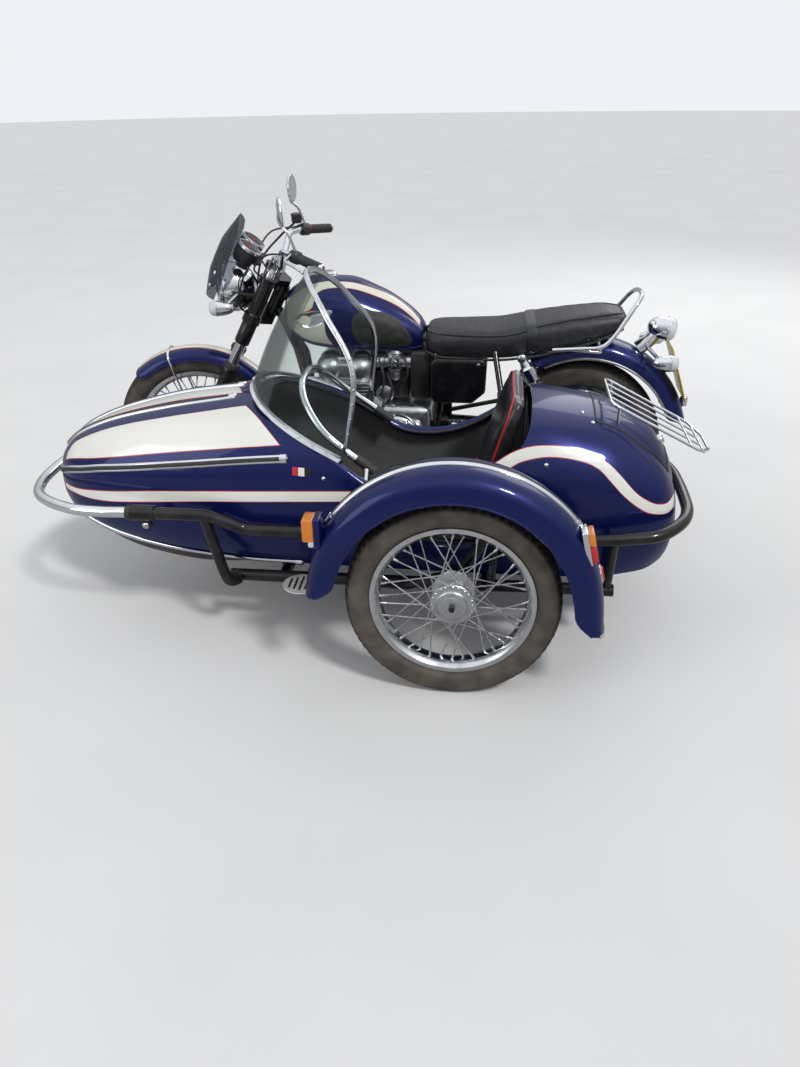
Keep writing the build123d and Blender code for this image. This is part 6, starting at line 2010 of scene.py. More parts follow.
# %% Carburettors, airbox and what hangs round them
CARB_Y = 0.070
keep(piece("airbox_case", soft_block((0.560, -0.095, 0.500), (0.642, 0.095, 0.686), 0.014),
           black_plastic), "black_rubber", "root",
     ["carburettors"])
for side, tag in SIDES:
    y = side * CARB_Y
    body = turned([(0, 0), (0, 0.026), (0.010, 0.030), (0.050, 0.030), (0.056, 0.026), (0.060, 0.033),
                   (0.068, 0.033), (0.078, 0.024),
                   (0.080, 0)], (0.700, y, 0.610), (0, 0, 1), 36)
    throat = turned([(0, 0), (0, 0.025), (0.014, 0.0255), (0.018, 0.022), (0.034, 0.022), (0.038, 0.026),
                     (0.050, 0.026), (0.055, 0.022),
                     (0.098, 0.022), (0.102, 0.027), (0.112, 0.027), (0.118, 0.0245), (0.153, 0.0245),
                     (0.153, 0)],
                    (0.640, y, 0.640), (1, 0, 0), 36)
    bowl = turned([(0, 0), (0, 0.014), (0.006, 0.020), (0.014, 0.026), (0.036, 0.026), (0.040, 0.029),
                   (0.045, 0.029), (0.045, 0)],
                  (0.700, y, 0.568), (0, 0, 1), 36)
    keep(piece(f"carburettor_{tag}", together(body, throat, bowl), satin_alloy), "engine_alloy")
    out = y + side * 0.034
    linkage = together(
        bar((0.700, y, 0.644), (0.700, out + side * 0.010, 0.644), 0.011, sides=20, soft=0.001),
        bar((0.716, y, 0.662), (0.716, out + side * 0.004, 0.662), 0.006, sides=12, soft=0.001),
        soft_block((0.682, out - 0.002, 0.618), (0.722, out + 0.002, 0.672), 0.0015),
    )
    keep(piece(f"throttle_linkage_{tag}", linkage, plated), "bright_steel")
    for k, (x, z, drop) in enumerate(((0.668, 0.668, 0.09), (0.730, 0.600, 0.10), (0.760, 0.655, 0.13))):
        hose = curve_through([(x, y + side * 0.020, z), (x - 0.020, y + side * 0.044, z - drop * 0.5),
                              (x - 0.010, y + side * 0.036, z - drop),
                              (x + 0.010, y - side * 0.010, z - drop * 1.25)], 8)
        keep(piece(f"breather_{tag}_{k}", pipe(hose, 0.0042, 8), black_rubber), "black_rubber")
intake_boot = together(*[bar((0.783, s * 0.070, 0.640), (0.822, s * 0.070, 0.632), 0.0275, 0.030,
                             sides=32, soft=0.002) for s in (-1, 1)])
keep(piece("intake_boots", intake_boot, black_rubber), "black_rubber")
keep(piece("loom_box", soft_block((0.648, -0.058, 0.488), (0.788, 0.058, 0.602), 0.012), black_plastic),
     "black_rubber")
starter = turned([(-0.070, 0), (-0.070, 0.026), (-0.062, 0.031), (0.060, 0.031), (0.066, 0.034),
                  (0.078, 0.034), (0.084, 0.022), (0.086, 0)],
                 (0.742, 0.0, 0.512), (0, 1, 0), 40)
keep(piece("starter_motor", starter, satin_alloy), "engine_alloy")
print("carburettors made")

# %% [markdown]
# A header is a tube bent round a former, so it is a pipe with rounded corners. The silencer
# swells and narrows along its length, which a turned outline gives in one go.

# %% Exhausts: header, taper, silencer and tip
for side, tag in SIDES:
    route = [(0.968, side * 0.088, 0.560), (1.074, side * 0.088, 0.560), (1.086, side * 0.128, 0.330),
             (1.020, side * 0.176, 0.222),
             (0.640, side * 0.182, 0.222), (0.420, side * 0.186, 0.250)]
    header = pipe(rounded(route, 0.044, radians(6)), 0.019, 24)
    keep(piece(f"header_{tag}", header, chrome), "chrome", "root", ["exhausts"])
    start, end = Vector((0.452, side * 0.1855, 0.2475)), Vector((-0.168, side * 0.2056, 0.2935))
    length = (end - start).length
    silencer = [(0, 0.0185), (0.004, 0.0215), (0.040, 0.027), (0.090, 0.0405), (0.120, 0.0428),
                (length * 0.80, 0.0428),
                (length * 0.90, 0.0360), (length * 0.93, 0.031), (length, 0.0295), (length, 0.0270),
                (length - 0.060, 0.0265),
                (length - 0.062, 0.0)]
    keep(piece(f"silencer_{tag}", turned(silencer, start, end - start, 64), chrome, sharp=radians(30)),
         "chrome")
    collar = turned([(-0.004, 0.019), (-0.004, 0.030), (0.004, 0.033), (0.018, 0.033), (0.022, 0.028),
                     (0.022, 0.019)],
                    (0.968, side * 0.088, 0.560), (1, 0, 0), 48)
    keep(piece(f"exhaust_collar_{tag}", collar, polished), "alloy")
print("exhausts made")

# %% [markdown]
# Gloss black covers close the bike's waist. Each is a shallow pressing with round corners
# and a rolled edge, held by one bolt. A fin of bright metal would carry a name here; it is
# left bare.

# %% Side covers
COVER_CORNERS = [(0.460, 0.506), (0.404, 0.506), (0.356, 0.548), (0.352, 0.676), (0.560, 0.676),
                 (0.560, 0.506), (0.462, 0.506)]
COVER_DEPTHS = ((0.128, 1.0), (0.143, 1.0), (0.1495, 0.985), (0.1535, 0.955), (0.1555, 0.90),
                (0.1562, 0.80), (0.1562, 0.02))
cover_line = [(p.x, p.z) for p in rounded([(x, 0, z) for x, z in COVER_CORNERS], 0.024)]
cover_middle = np.mean(cover_line, axis=0)
for side, tag in SIDES:
    rings = []
    for y, share in COVER_DEPTHS:
        spread = cover_middle + (as_array(cover_line) - cover_middle) * share
        rings.append([(x, side * y, z) for x, z in spread])
    keep(piece(f"side_cover_{tag}", skin(rings), black_paint, sharp=radians(50)), "black_paint", "root",
         ["side_panels"])
    bolt = turned([(0, 0), (0, 0.009), (0.003, 0.009), (0.005, 0.0055), (0.0056, 0)],
                  (0.384, side * 0.1520, 0.655), (0, side, 0), 20)
    keep(piece(f"side_cover_bolt_{tag}", bolt, plated), "bright_steel")
print("side covers made")

# %% [markdown]
# Spring units hold up the rear. The coil is a helix of round wire, the cover and the eyes
# are turned. The chain is two rows of pins between side plates, on real sprocket circles.

# %% Rear spring units
SHOCK_TOP, SHOCK_FOOT = np.array([0.228, 0.0, 0.684]), np.array([0.048, 0.0, 0.350])
COIL_TURNS = 10
COIL_RADIUS = 0.0225
for side, tag in SIDES:
    top, foot = SHOCK_TOP + (0, side * 0.150, 0), SHOCK_FOOT + (0, side * 0.150, 0)
    way = (top - foot) / np.linalg.norm(top - foot)
    length = np.linalg.norm(top - foot)
    one = np.cross(way, (0, 1, 0))
    other = np.array([0, 1, 0])
    coil = []
    for t in np.linspace(0, 1, 260):
        a = 2 * pi * COIL_TURNS * t
        middle = foot + way * length * (0.17 + 0.58 * t)
        coil.append(middle + (one * cos(a) + other * sin(a)) * COIL_RADIUS)
    keep(piece(f"shock_spring_{tag}", pipe(coil, 0.0042, 8), chrome), "chrome", "root", ["rear_shocks"])
    unit = [(0.0, 0), (0.0, 0.010), (length * 0.12, 0.010), (length * 0.13, 0.025),
            (length * 0.16, 0.0262), (length * 0.17, 0.018),
            (length * 0.45, 0.018), (length * 0.46, 0.010), (length * 0.75, 0.010),
            (length * 0.755, 0.0262), (length * 0.80, 0.029),
            (length * 0.89, 0.029), (length * 0.91, 0.020), (length, 0.011), (length, 0)]
    keep(piece(f"shock_body_{tag}", turned(unit, foot, way, 40), chrome, sharp=radians(30)), "chrome")
    for k, centre in enumerate((top, foot)):
        eye = turned([(-0.016, 0), (-0.016, 0.013), (-0.013, 0.016), (0.013, 0.016), (0.016, 0.013),
                      (0.017, 0.008), (0.019, 0.0075),
                      (0.020, 0)], centre, (0, side, 0), 32)
        keep(piece(f"shock_eye_{tag}_{k}", eye, plated), "bright_steel")
print("spring units made")

# %% [markdown]
# The chain runs round two circles in a closed line, so its path is worked out from them.
# Side plates follow that line, and Geometry Nodes sets the pins and rollers along it.

# %% Drive chain and sprockets
REAR_SPROCKET, ENGINE_SPROCKET = (0.0, 0.320, 0.083), (0.618, 0.372, 0.037)
CHAIN_Y = 0.076


def belt_line(a, b, count=60):
    """The closed line round two circles given as (x, z, radius)."""
    gap = Vector((b[0] - a[0], b[1] - a[1]))
    base = atan2(gap.y, gap.x)
    tilt = acos((a[2] - b[2]) / gap.length)
    line = []
    for (x, z, r), start, end in ((a, base + tilt, base + 2 * pi - tilt), (b, base - tilt, base + tilt)):
        for t in np.linspace(start, end, count):
            line.append((x + r * cos(t), CHAIN_Y, z + r * sin(t)))
    return line


chain_line = as_array(belt_line(REAR_SPROCKET, ENGINE_SPROCKET))
chain_loop = np.vstack([chain_line, chain_line[:1]])
outward = [(0, 1, 0)] * len(chain_loop)
for k, y in enumerate((-0.0042, 0.0042)):
    plates = [(-0.0046, y - 0.0009), (-0.0046, y + 0.0009), (0.0046, y + 0.0009), (0.0046, y - 0.0009)]
    keep(piece(f"chain_plates_{k}", strip(chain_loop, plates, outward), plated), "bright_steel", "root",
         ["drive_chain"] if k == 0 else [])
pins = domes_along("chain_pins", chain_loop + (0, 0.0052, 0), outward, 110, 0.0026, plated, 0.6)
keep(pins, "bright_steel")
rollers = domes_along("chain_rollers", chain_loop, outward, 110, 0.0043, plated, 0.85)
keep(rollers, "bright_steel")


def toothed(centre, radius, teeth, y, hub):
    """A sprocket with a tooth for each link."""
    ring = []
    for k in range(teeth * 4):
        r = radius + (0.0030, 0.0, -0.0035, 0.0)[k % 4]
        a = 2 * pi * k / (teeth * 4)
        ring.append((centre[0] + r * cos(a), centre[1] + r * sin(a)))
    inner = [(centre[0] + hub * cos(2 * pi * k / len(ring)),
              centre[1] + hub * sin(2 * pi * k / len(ring))) for k in range(len(ring))]
    rings = [[(x, y - 0.003, z) for x, z in inner], [(x, y - 0.003, z) for x, z in ring],
             [(x, y + 0.003, z) for x, z in ring], [(x, y + 0.003, z) for x, z in inner]]
    return skin(rings, ends=False, loop=True)


keep(piece("rear_sprocket", toothed(REAR_SPROCKET, 0.083, 43, CHAIN_Y, 0.034), plated), "bright_steel",
     "rear_wheel_body")
print("chain made")

# %% [markdown]
# The rear guard is a deep pressing over the wheel. It comes from the same function as the
# sidecar's, with its own angles and depth, and a rolled bead stiffens each edge.

# %% Rear mudguard
GUARD_MIDDLE = (-0.012, 0.0, 0.332)
deep_guard("rear_mudguard_shell", GUARD_MIDDLE, 58, 165, 0.4015, 0.333, 0.086, 0.0025, blue_paint,
           "deep_blue_paint",
           ["rear_mudguard"], power=2.4, round_ends=6.0)
for side, tag in SIDES:
    beads = [round_axle(GUARD_MIDDLE, t, 0.334, side * 0.0855)[0] for t in np.linspace(63, 160, 60)]
    keep(piece(f"guard_edge_{tag}", pipe(beads, 0.0048, 8), satin_alloy),
         "alloy")
brace = together(
    *[pipe(curve_through([(0.200, s * 0.120, 0.700), (0.060, s * 0.098, 0.702),
                          (-0.060, s * 0.084, 0.690)], 12), 0.006, 12)
      for s in (-1, 1)],
    *[bar((-0.040, s * 0.0998, 0.752), (-0.060, s * 0.080, 0.690), 0.007, sides=16,
          soft=0.001) for s in (-1, 1)],
)
keep(piece("guard_braces", brace, chrome), "chrome")
print("rear mudguard made")

# %% [markdown]
# The lamps are turned: a pointed chrome shell, a rim, and a lens that bulges. One function
# makes the tail lamp and all four indicators, at their own sizes.

# %% Tail lamp, indicators and plate
def bullet(name, nose, way, length, radius, lens_material, slot_name, nodes=(), body="root", turn=False,
           bulge=0.35):
    """A bullet lamp from its nose along way: chrome shell and rim, then the lens."""
    shell_part = length * 0.66
    outline = [(0.0, 0.0)]
    for t in np.linspace(0.06, 1.0, 14):
        outline.append((shell_part * t, radius * 0.93 * sqrt(1 - (1 - t) ** 2.2)))
    outline += [(shell_part + 0.001, radius), (shell_part + length * 0.06, radius),
                (shell_part + length * 0.07, radius * 0.94),
                (shell_part + length * 0.07, 0)]
    keep(piece(name + "_shell", turned(outline, nose, way, 56), chrome, turn=turn, sharp=radians(35)),
         "chrome", body, list(nodes))
    lens_from = shell_part + length * 0.06
    lens_line = [(lens_from, 0), (lens_from, radius * 0.93)]
    for t in np.linspace(0.1, 1.0, 9):
        lens_line.append((lens_from + (length - lens_from) * sin(pi / 2 * t),
                          radius * 0.93 * cos(pi / 2 * t) ** bulge if t < 1 else 0.0))
    keep(piece(name + "_lens", turned(lens_line, nose, way, 56), lens_material, turn=turn,
               sharp=radians(35)), slot_name, body)


tail_way = Vector((-sin(radians(80)), 0, -cos(radians(80))))
bullet("tail_lamp_body", Vector((-0.279, 0, 0.764)) - tail_way * 0.050, tail_way, 0.104, 0.0455,
       clear_lens, "clear_sheet", ["tail_lamp"])
neck_path = curve_through([(-0.262, 0, 0.742), (-0.240, 0, 0.716), (-0.205, 0, 0.686)], 8)
keep(piece("tail_lamp_neck", pipe(neck_path, np.linspace(0.024, 0.028, len(neck_path)), 32), chrome),
     "chrome")
for side, tag in SIDES:
    bullet(f"rear_indicator_{tag}", (-0.231, side * 0.175, 0.682), (-1, 0, 0), 0.092, 0.0285, clear_lens,
           "clear_sheet",
           ["rear_indicators"])
    keep(piece(f"rear_indicator_stalk_{tag}", bar((-0.238, side * 0.020, 0.6935),
                                                  (-0.262, side * 0.158, 0.685), 0.0075, 0.0065,
               sides=20, soft=0.001), chrome), "chrome")
PLATE_TOP, PLATE_FOOT = Vector((-0.312, 0, 0.716)), Vector((-0.386, 0, 0.506))
plate_lean = atan2(PLATE_TOP.x - PLATE_FOOT.x, PLATE_TOP.z - PLATE_FOOT.z)
plate_turn = Matrix.Translation((PLATE_TOP + PLATE_FOOT) / 2) @ Matrix.Rotation(plate_lean, 4, "Y")
plate_half = (PLATE_TOP - PLATE_FOOT).length / 2
flat_plate = soft_block((-0.0015, -0.1015, -plate_half), (0.0015, 0.1015, plate_half), 0.0012)
keep(piece("plate_blank", moved(flat_plate, plate_turn), plate_yellow), "plate_yellow", "root",
     ["number_plate"])
border = rounded([(0, 0, plate_half - 0.006), (0, 0.0955, plate_half - 0.006),
                  (0, 0.0955, 0.006 - plate_half),
                  (0, -0.0955, 0.006 - plate_half), (0, -0.0955, plate_half - 0.006),
                  (0, -0.001, plate_half - 0.006)], 0.010)
border_path = [plate_turn @ (Vector(p) + Vector((-0.0014, 0, 0))) for p in border]
keep(piece("plate_border", pipe(border_path, 0.0011, 6, loop=True), black_plastic), "black_rubber")
for side, tag in SIDES:
    screw_place = plate_turn @ Vector((-0.0014, side * 0.038, 0.060))
    screw_way = plate_turn.to_3x3() @ Vector((-1, 0, 0))
    keep(piece(f"plate_screw_{tag}",
               turned([(0, 0), (0, 0.0052), (0.0016, 0.0048), (0.0022, 0)], screw_place,
               screw_way, 16), plated), "bright_steel")
keep(piece("plate_holder", bar((-0.308, 0, 0.606), (-0.346, 0, 0.610), 0.011, sides=20, soft=0.001),
           black_plastic), "black_rubber")
small_lamp = turned([(0, 0), (0, 0.012), (0.004, 0.0145), (0.030, 0.0150), (0.036, 0.0125),
                     (0.041, 0.006), (0.042, 0)],
                    (-0.396, 0, 0.466), (0, 0, 1), 32)
keep(piece("plate_lamp", small_lamp, chrome), "chrome")
print("tail made")

# %% [markdown]
# The front end turns with the bars. Its pieces are worked out straight ahead and turned to
# the parked angle as they are made. A place on the fork is found from the distance up the
# leg and the distance ahead of it.

# %% Fork legs
def along_fork(d, y, ahead=0.0):
    """A place d up the fork from the axle, and ahead of the leg."""
    return np.array([1.500 - d * sin(RAKE) + ahead * cos(RAKE), y,
                     0.3312 + d * cos(RAKE) + ahead * sin(RAKE)])


FORK_WAY = along_fork(1, 0) - along_fork(0, 0)
LEG_Y = 0.097
for side, tag in SIDES:
    y = side * LEG_Y
    slider = [(-0.018, 0), (-0.018, 0.020), (-0.012, 0.024), (0.020, 0.026), (0.060, 0.0265),
              (0.300, 0.0265), (0.310, 0.028),
              (0.326, 0.028), (0.332, 0.024), (0.332, 0)]
    shapes = together(turned(slider, along_fork(0, y), FORK_WAY, 48),
                      turned([(0, 0), (0, 0.014), (0.003, 0.016), (0.022, 0.016), (0.024, 0.010),
                              (0.028, 0.009), (0.028, 0)],
                             (1.500, y, 0.3312), (0, side, 0), 32))
    keep(piece(f"fork_slider_{tag}", shapes, black_paint, turn=True), "alloy", "steering", ["front_fork"])
    keep(piece(f"fork_stanchion_{tag}", bar(along_fork(0.325, y), along_fork(0.735, y), 0.0205, sides=40),
               chrome, turn=True), "chrome",
         "steering")
    dust = turned([(0, 0), (0, 0.026), (0.004, 0.031), (0.014, 0.032), (0.022, 0.029), (0.026, 0.0215),
                   (0.026, 0)],
                  along_fork(0.327, y), FORK_WAY, 40)
    keep(piece(f"fork_dust_seal_{tag}", dust, black_rubber, turn=True), "black_rubber", "steering")
    shroud = [(0.440, 0.0215), (0.440, 0.0275), (0.446, 0.0288), (0.524, 0.0288), (0.529, 0.026),
              (0.529, 0.0215)]
    keep(piece(f"fork_shroud_{tag}", turned(shroud, along_fork(0, y), FORK_WAY, 40, ring=True),
               black_paint, turn=True), "alloy", "steering")
    top_bolt = turned([(0, 0), (0, 0.017), (0.006, 0.017), (0.008, 0.013), (0.014, 0.011), (0.014, 0)],
                      along_fork(0.728, y), FORK_WAY, 6)
    keep(piece(f"fork_top_bolt_{tag}", top_bolt, plated, turn=True), "bright_steel", "steering")
axle_bar = bar((1.500, -0.128, 0.3312), (1.500, 0.128, 0.3312), 0.0085, sides=24, soft=0.001)
keep(piece("front_axle_bar", axle_bar, plated, turn=True), "bright_steel", "steering")
calliper = together(
    soft_block((1.376, -0.122, 0.398), (1.436, -0.054, 0.468), 0.010),
    bar((1.405, -0.122, 0.434), (1.405, -0.126, 0.434), 0.022, sides=32, soft=0.0015),
)
keep(piece("front_calliper", calliper, satin_alloy, turn=True), "alloy", "steering")
print("fork made")

# %% [markdown]
# The front guard is shallow, carries a lined stripe along its crown, and is held by two
# bent stays. The stripe takes the guard's own curve across, so that it lies on the paint.

# %% Front mudguard: blue with a lined white stripe, and its stays
FRONT_AXLE_AT = (1.500, 0.0, 0.3312)
deep_guard("front_mudguard_shell", FRONT_AXLE_AT, 48, 150, 0.3468, 0.3055, 0.062, 0.0025, blue_paint,
           "deep_blue_paint",
           ["front_mudguard"], body="steering", power=2.2, turn=True, round_ends=7.0)


def guard_stripe(name, half_width, proud, material, slot, start=50, end=148):
    """A thin band of paint over the front mudguard's crown."""
    path, ways = zip(*[round_axle(FRONT_AXLE_AT, t, 0.3464) for t in np.linspace(start, end, 90)])
    across = np.linspace(-half_width, half_width, 9)
    drop = [0.3468 - (0.3055 + 0.0413 * (1 - abs(v / 0.062) ** 2.2) ** (1 / 2.2)) for v in across]
    outline = [(v, proud - d) for v, d in zip(across, drop)]
    outline += [(v, -0.0012 - d) for (v, _), d in zip(outline[::-1], drop[::-1])]
    return keep(piece(name, strip(path, outline, ways), material, turn=True, sharp=radians(60)), slot,
                "steering")


guard_stripe("front_stripe_line", 0.0215, 0.0010, red_line, "red_lens")
guard_stripe("front_stripe", 0.0188, 0.0014, cream_paint, "white_paint")
for k, angle in enumerate((74.0, 140.0)):
    hoop_points = []
    for t in np.linspace(-1, 1, 41):
        if abs(t) > 0.62:
            share = (abs(t) - 0.62) / 0.38
            place, out = round_axle(FRONT_AXLE_AT, angle, 0.320 - 0.306 * share)
            hoop_points.append(place + (0, np.sign(t) * (0.0640 + 0.009 * share), 0))
        else:
            place, out = round_axle(FRONT_AXLE_AT, angle,
                                    0.3055 + 0.0450 * (1 - abs(t / 0.64) ** 2.4) ** (1 / 2.4))
            hoop_points.append(place + (0, 0.0640 * np.sign(t) * min(1, abs(t) / 0.62), 0))
    keep(piece(f"front_guard_stay_{k}", pipe(hoop_points, 0.0042, 10), chrome, turn=True), "chrome",
         "steering")
print("front mudguard made")

# %% [markdown]
# The headlight is a round bowl, a rim and a glass that bulges. All are turned about one
# axis, each as its own piece, because each has its own material.

# %% Headlight and its ears
LAMP_AT = (1.318, 0.0, 0.905)
bowl = [(-0.092 * cos(t), 0.092 * sin(t)) for t in np.linspace(0, pi - acos(0.040 / 0.092), 30)]
bowl = [(s, max(r, 0.0)) for s, r in bowl] + [(0.040, 0.0)]
keep(piece("headlight_shell", turned(bowl, LAMP_AT, (1, 0, 0), 72), chrome, turn=True), "chrome",
     "steering", ["headlight"])
rim = [(0.026, 0.0855), (0.026, 0.0945), (0.034, 0.0962), (0.041, 0.0952), (0.047, 0.0890),
       (0.048, 0.0845), (0.044, 0.0835), (0.034, 0.0850)]
keep(piece("headlight_rim", turned(rim, LAMP_AT, (1, 0, 0), 72, ring=True), chrome, turn=True), "chrome",
     "steering")
glass = [(0.034, 0), (0.034, 0.0845)]
for t in np.linspace(0, pi / 2, 10)[:-1]:
    glass.append((0.041 + 0.012 * sin(t), 0.0845 * cos(t)))
glass.append((0.053, 0))
keep(piece("headlight_lens", turned(glass, LAMP_AT, (1, 0, 0), 72), clear_lens, turn=True), "clear_sheet",
     "steering")
for side, tag in SIDES:
    lamp_bolt = turned([(0, 0), (0, 0.014), (0.004, 0.014), (0.007, 0.009), (0.008, 0)],
                       (1.318, side * 0.094, 0.905), (0, side, 0), 6)
    keep(piece(f"headlight_bolt_{tag}", lamp_bolt, chrome, turn=True), "chrome", "steering")
print("headlight made")

# %% [markdown]
# Each dial is a cup, a ring and a face on one axis, tilted to the rider. The marks are
# plain bars with no figures, and the hand points to rest.

# %% Dials: black cups, bright rings, dark faces with plain marks, red hands
DIAL_WAY = np.array([-cos(radians(52)), 0, sin(radians(52))])
for side, tag in SIDES:
    at = np.array([1.244, side * 0.058, 1.045])
    cup = [(-0.045, 0), (-0.045, 0.030), (-0.040, 0.036), (-0.010, 0.0445), (0.016, 0.0455),
           (0.018, 0.044), (0.018, 0)]
    keep(piece(f"dial_cup_{tag}", turned(cup, at, DIAL_WAY, 56), black_plastic, turn=True),
         "black_plastic", "steering", ["instruments"])
    ring = [(0.014, 0.0405), (0.014, 0.0458), (0.022, 0.0460), (0.025, 0.0440), (0.0248, 0.0405)]
    keep(piece(f"dial_ring_{tag}", turned(ring, at, DIAL_WAY, 56, ring=True), chrome, turn=True),
         "chrome", "steering")
    face = [(0.0175, 0), (0.0175, 0.0412), (0.0192, 0.0412), (0.0192, 0)]
    keep(piece(f"dial_face_{tag}", turned(face, at, DIAL_WAY, 56), dial_face, turn=True), "black_plastic",
         "steering")
    up = np.cross(DIAL_WAY, (0, 1, 0))
    marks = []
    for k in range(25):
        a = radians(-140 + 280 * k / 24)
        out = up * cos(a) + np.array([0, 1, 0]) * sin(a)
        marks.append(bar(at + DIAL_WAY * 0.0196 + out * 0.031, at + DIAL_WAY * 0.0196 + out * 0.038,
                         0.0006, sides=6))
    keep(piece(f"dial_marks_{tag}", together(*marks), cream_paint, turn=True), "white_paint", "steering")
    hand_way = up * cos(radians(-132)) + np.array([0, 1, 0]) * sin(radians(-132))
    hand = together(bar(at + DIAL_WAY * 0.0212, at + DIAL_WAY * 0.0212 + hand_way * 0.033, 0.0011, 0.0005,
                        sides=8),
                    bar(at + DIAL_WAY * 0.0190, at + DIAL_WAY * 0.0225, 0.005, sides=20, soft=0.001))
    keep(piece(f"dial_hand_{tag}", hand, red_lens, turn=True), "red_lens", "steering")
dial_bar = soft_block((1.199, -0.075, 0.998), (1.225, 0.075, 1.010), 0.004)
keep(piece("dial_bar", dial_bar, black_plastic, turn=True), "black_plastic", "steering")
print("dials made")

# %% [markdown]
# The fly screen is one smoked sheet, swept back at its sides and rounded at its top. Four
# bolts hold it to the fork's bracket.

# %% Fly screen
FLY_ROWS = as_array(((1.418, 0.890, 0.118, 0.042), (1.382, 0.985, 0.150, 0.070),
                     (1.328, 1.085, 0.128, 0.058), (1.262, 1.166, 0.062, 0.016)))


def fly_point(t, u, off=0.0):
    """A place on the fly screen: t from foot to top, u from side to side."""
    s = np.linspace(0, 1, 4)
    mid, z, half, sweep = [float(np.interp(t, s, FLY_ROWS[:, k])) for k in range(4)]
    bow = 4 * t * (1 - t)
    mid, half = mid + 0.010 * bow, half * (1 + 0.10 * bow)
    ahead = Vector((0.85, 0.35 * u, 0.35)).normalized()
    return np.array([mid - sweep * u * u, half * u, z]) + np.array(ahead) * off


sheet_rings = []
for t in np.linspace(0, 1, 48):
    shrink = sqrt(max(0.02, 1 - max(0.0, (t - 0.80) / 0.20) ** 2))
    us = np.linspace(-shrink, shrink, 33)
    sheet_rings.append([fly_point(t, u, 0.002) for u in us] + [fly_point(t, u, -0.002) for u in us[::-1]])
keep(piece("fly_screen_sheet", skin(sheet_rings), smoked_acrylic, turn=True, sharp=radians(60)),
     "smoked_sheet", "steering",
     ["fly_screen"])
for k, (t, u) in enumerate(((0.16, 0.62), (0.16, -0.62), (0.34, 0.70), (0.34, -0.70))):
    bolt_at, bolt_back = fly_point(t, u, 0.0015), fly_point(t, u, -0.012)
    bolt = turned([(0, 0), (0, 0.008), (0.002, 0.008), (0.005, 0.005), (0.0055, 0)], bolt_at,
                  bolt_at - bolt_back, 20)
    keep(piece(f"fly_screen_bolt_{k}", bolt, chrome, turn=True), "chrome", "steering")
print("fly screen made")

# %% [markdown]
# The mirrors stand on thin bent stalks, with a shallow round head and a glass set in it.
# The indicators are the same bullet as at the tail, turned to face forward.

# %% Mirrors and front indicators
GRIP_IN, GRIP_OUT = np.array([1.068, 0.200, 1.064]), np.array([0.962, 0.305, 1.044])


def on_grip(along, side, off=(0, 0, 0)):
    """A place along a grip from its inner end, on one side."""
    way = (GRIP_OUT - GRIP_IN) / np.linalg.norm(GRIP_OUT - GRIP_IN)
    p = GRIP_IN + way * along * 0.001
    return np.array([p[0] + off[0] * 0.001, side * (p[1] + off[1] * 0.001), p[2] + off[2] * 0.001])


for side, tag in SIDES:
    middle = np.array([1.096, side * 0.220, 1.212])
    way = Vector((-1, -side * 0.20, 0.06)).normalized()
    head = [(-0.0075, 0), (-0.0075, 0.012), (-0.006, 0.030), (-0.002, 0.044), (0.002, 0.0495),
            (0.006, 0.050), (0.0075, 0.0485),
            (0.0072, 0.0465), (0.0058, 0.0460), (0.0058, 0)]
    keep(piece(f"mirror_head_{tag}", turned(head, middle, way, 64), chrome, turn=True, sharp=radians(50)),
         "chrome", "steering",
         ["mirrors"])
    plate = [(0.0054, 0), (0.0054, 0.0458), (0.0066, 0.0458), (0.0066, 0)]
    keep(piece(f"mirror_glass_{tag}", turned(plate, middle, way, 64), mirror_glass, turn=True), "chrome",
         "steering")
    root_of = on_grip(24, side, (0, 0, 20))
    stalk = curve_through([root_of, root_of + (0.022, 0, 0.060), (1.100, side * 0.202, 1.172),
                           middle + (0.004, 0, 0.0)], 12)
    keep(piece(f"mirror_stalk_{tag}", pipe(stalk, 0.0050, 12), chrome, turn=True), "chrome", "steering")
    bullet(f"front_indicator_{tag}", (1.290, side * 0.172, 0.874), (1, 0, 0), 0.092, 0.0285, clear_lens,
           "clear_sheet",
           ["front_indicators"], "steering", True)
    keep(piece(f"front_indicator_stalk_{tag}", bar((1.290, side * 0.1014, 0.902),
                                                   (1.330, side * 0.158, 0.878), 0.0075, 0.0065, sides=20,
               soft=0.001), chrome, turn=True), "chrome", "steering")
print("mirrors and indicators made")

# %% [markdown]
# A grip is ribbed rubber, so its outline is turned with a groove for each rib. The levers
# are pipes that widen to a ball at the end, as a forged lever does.

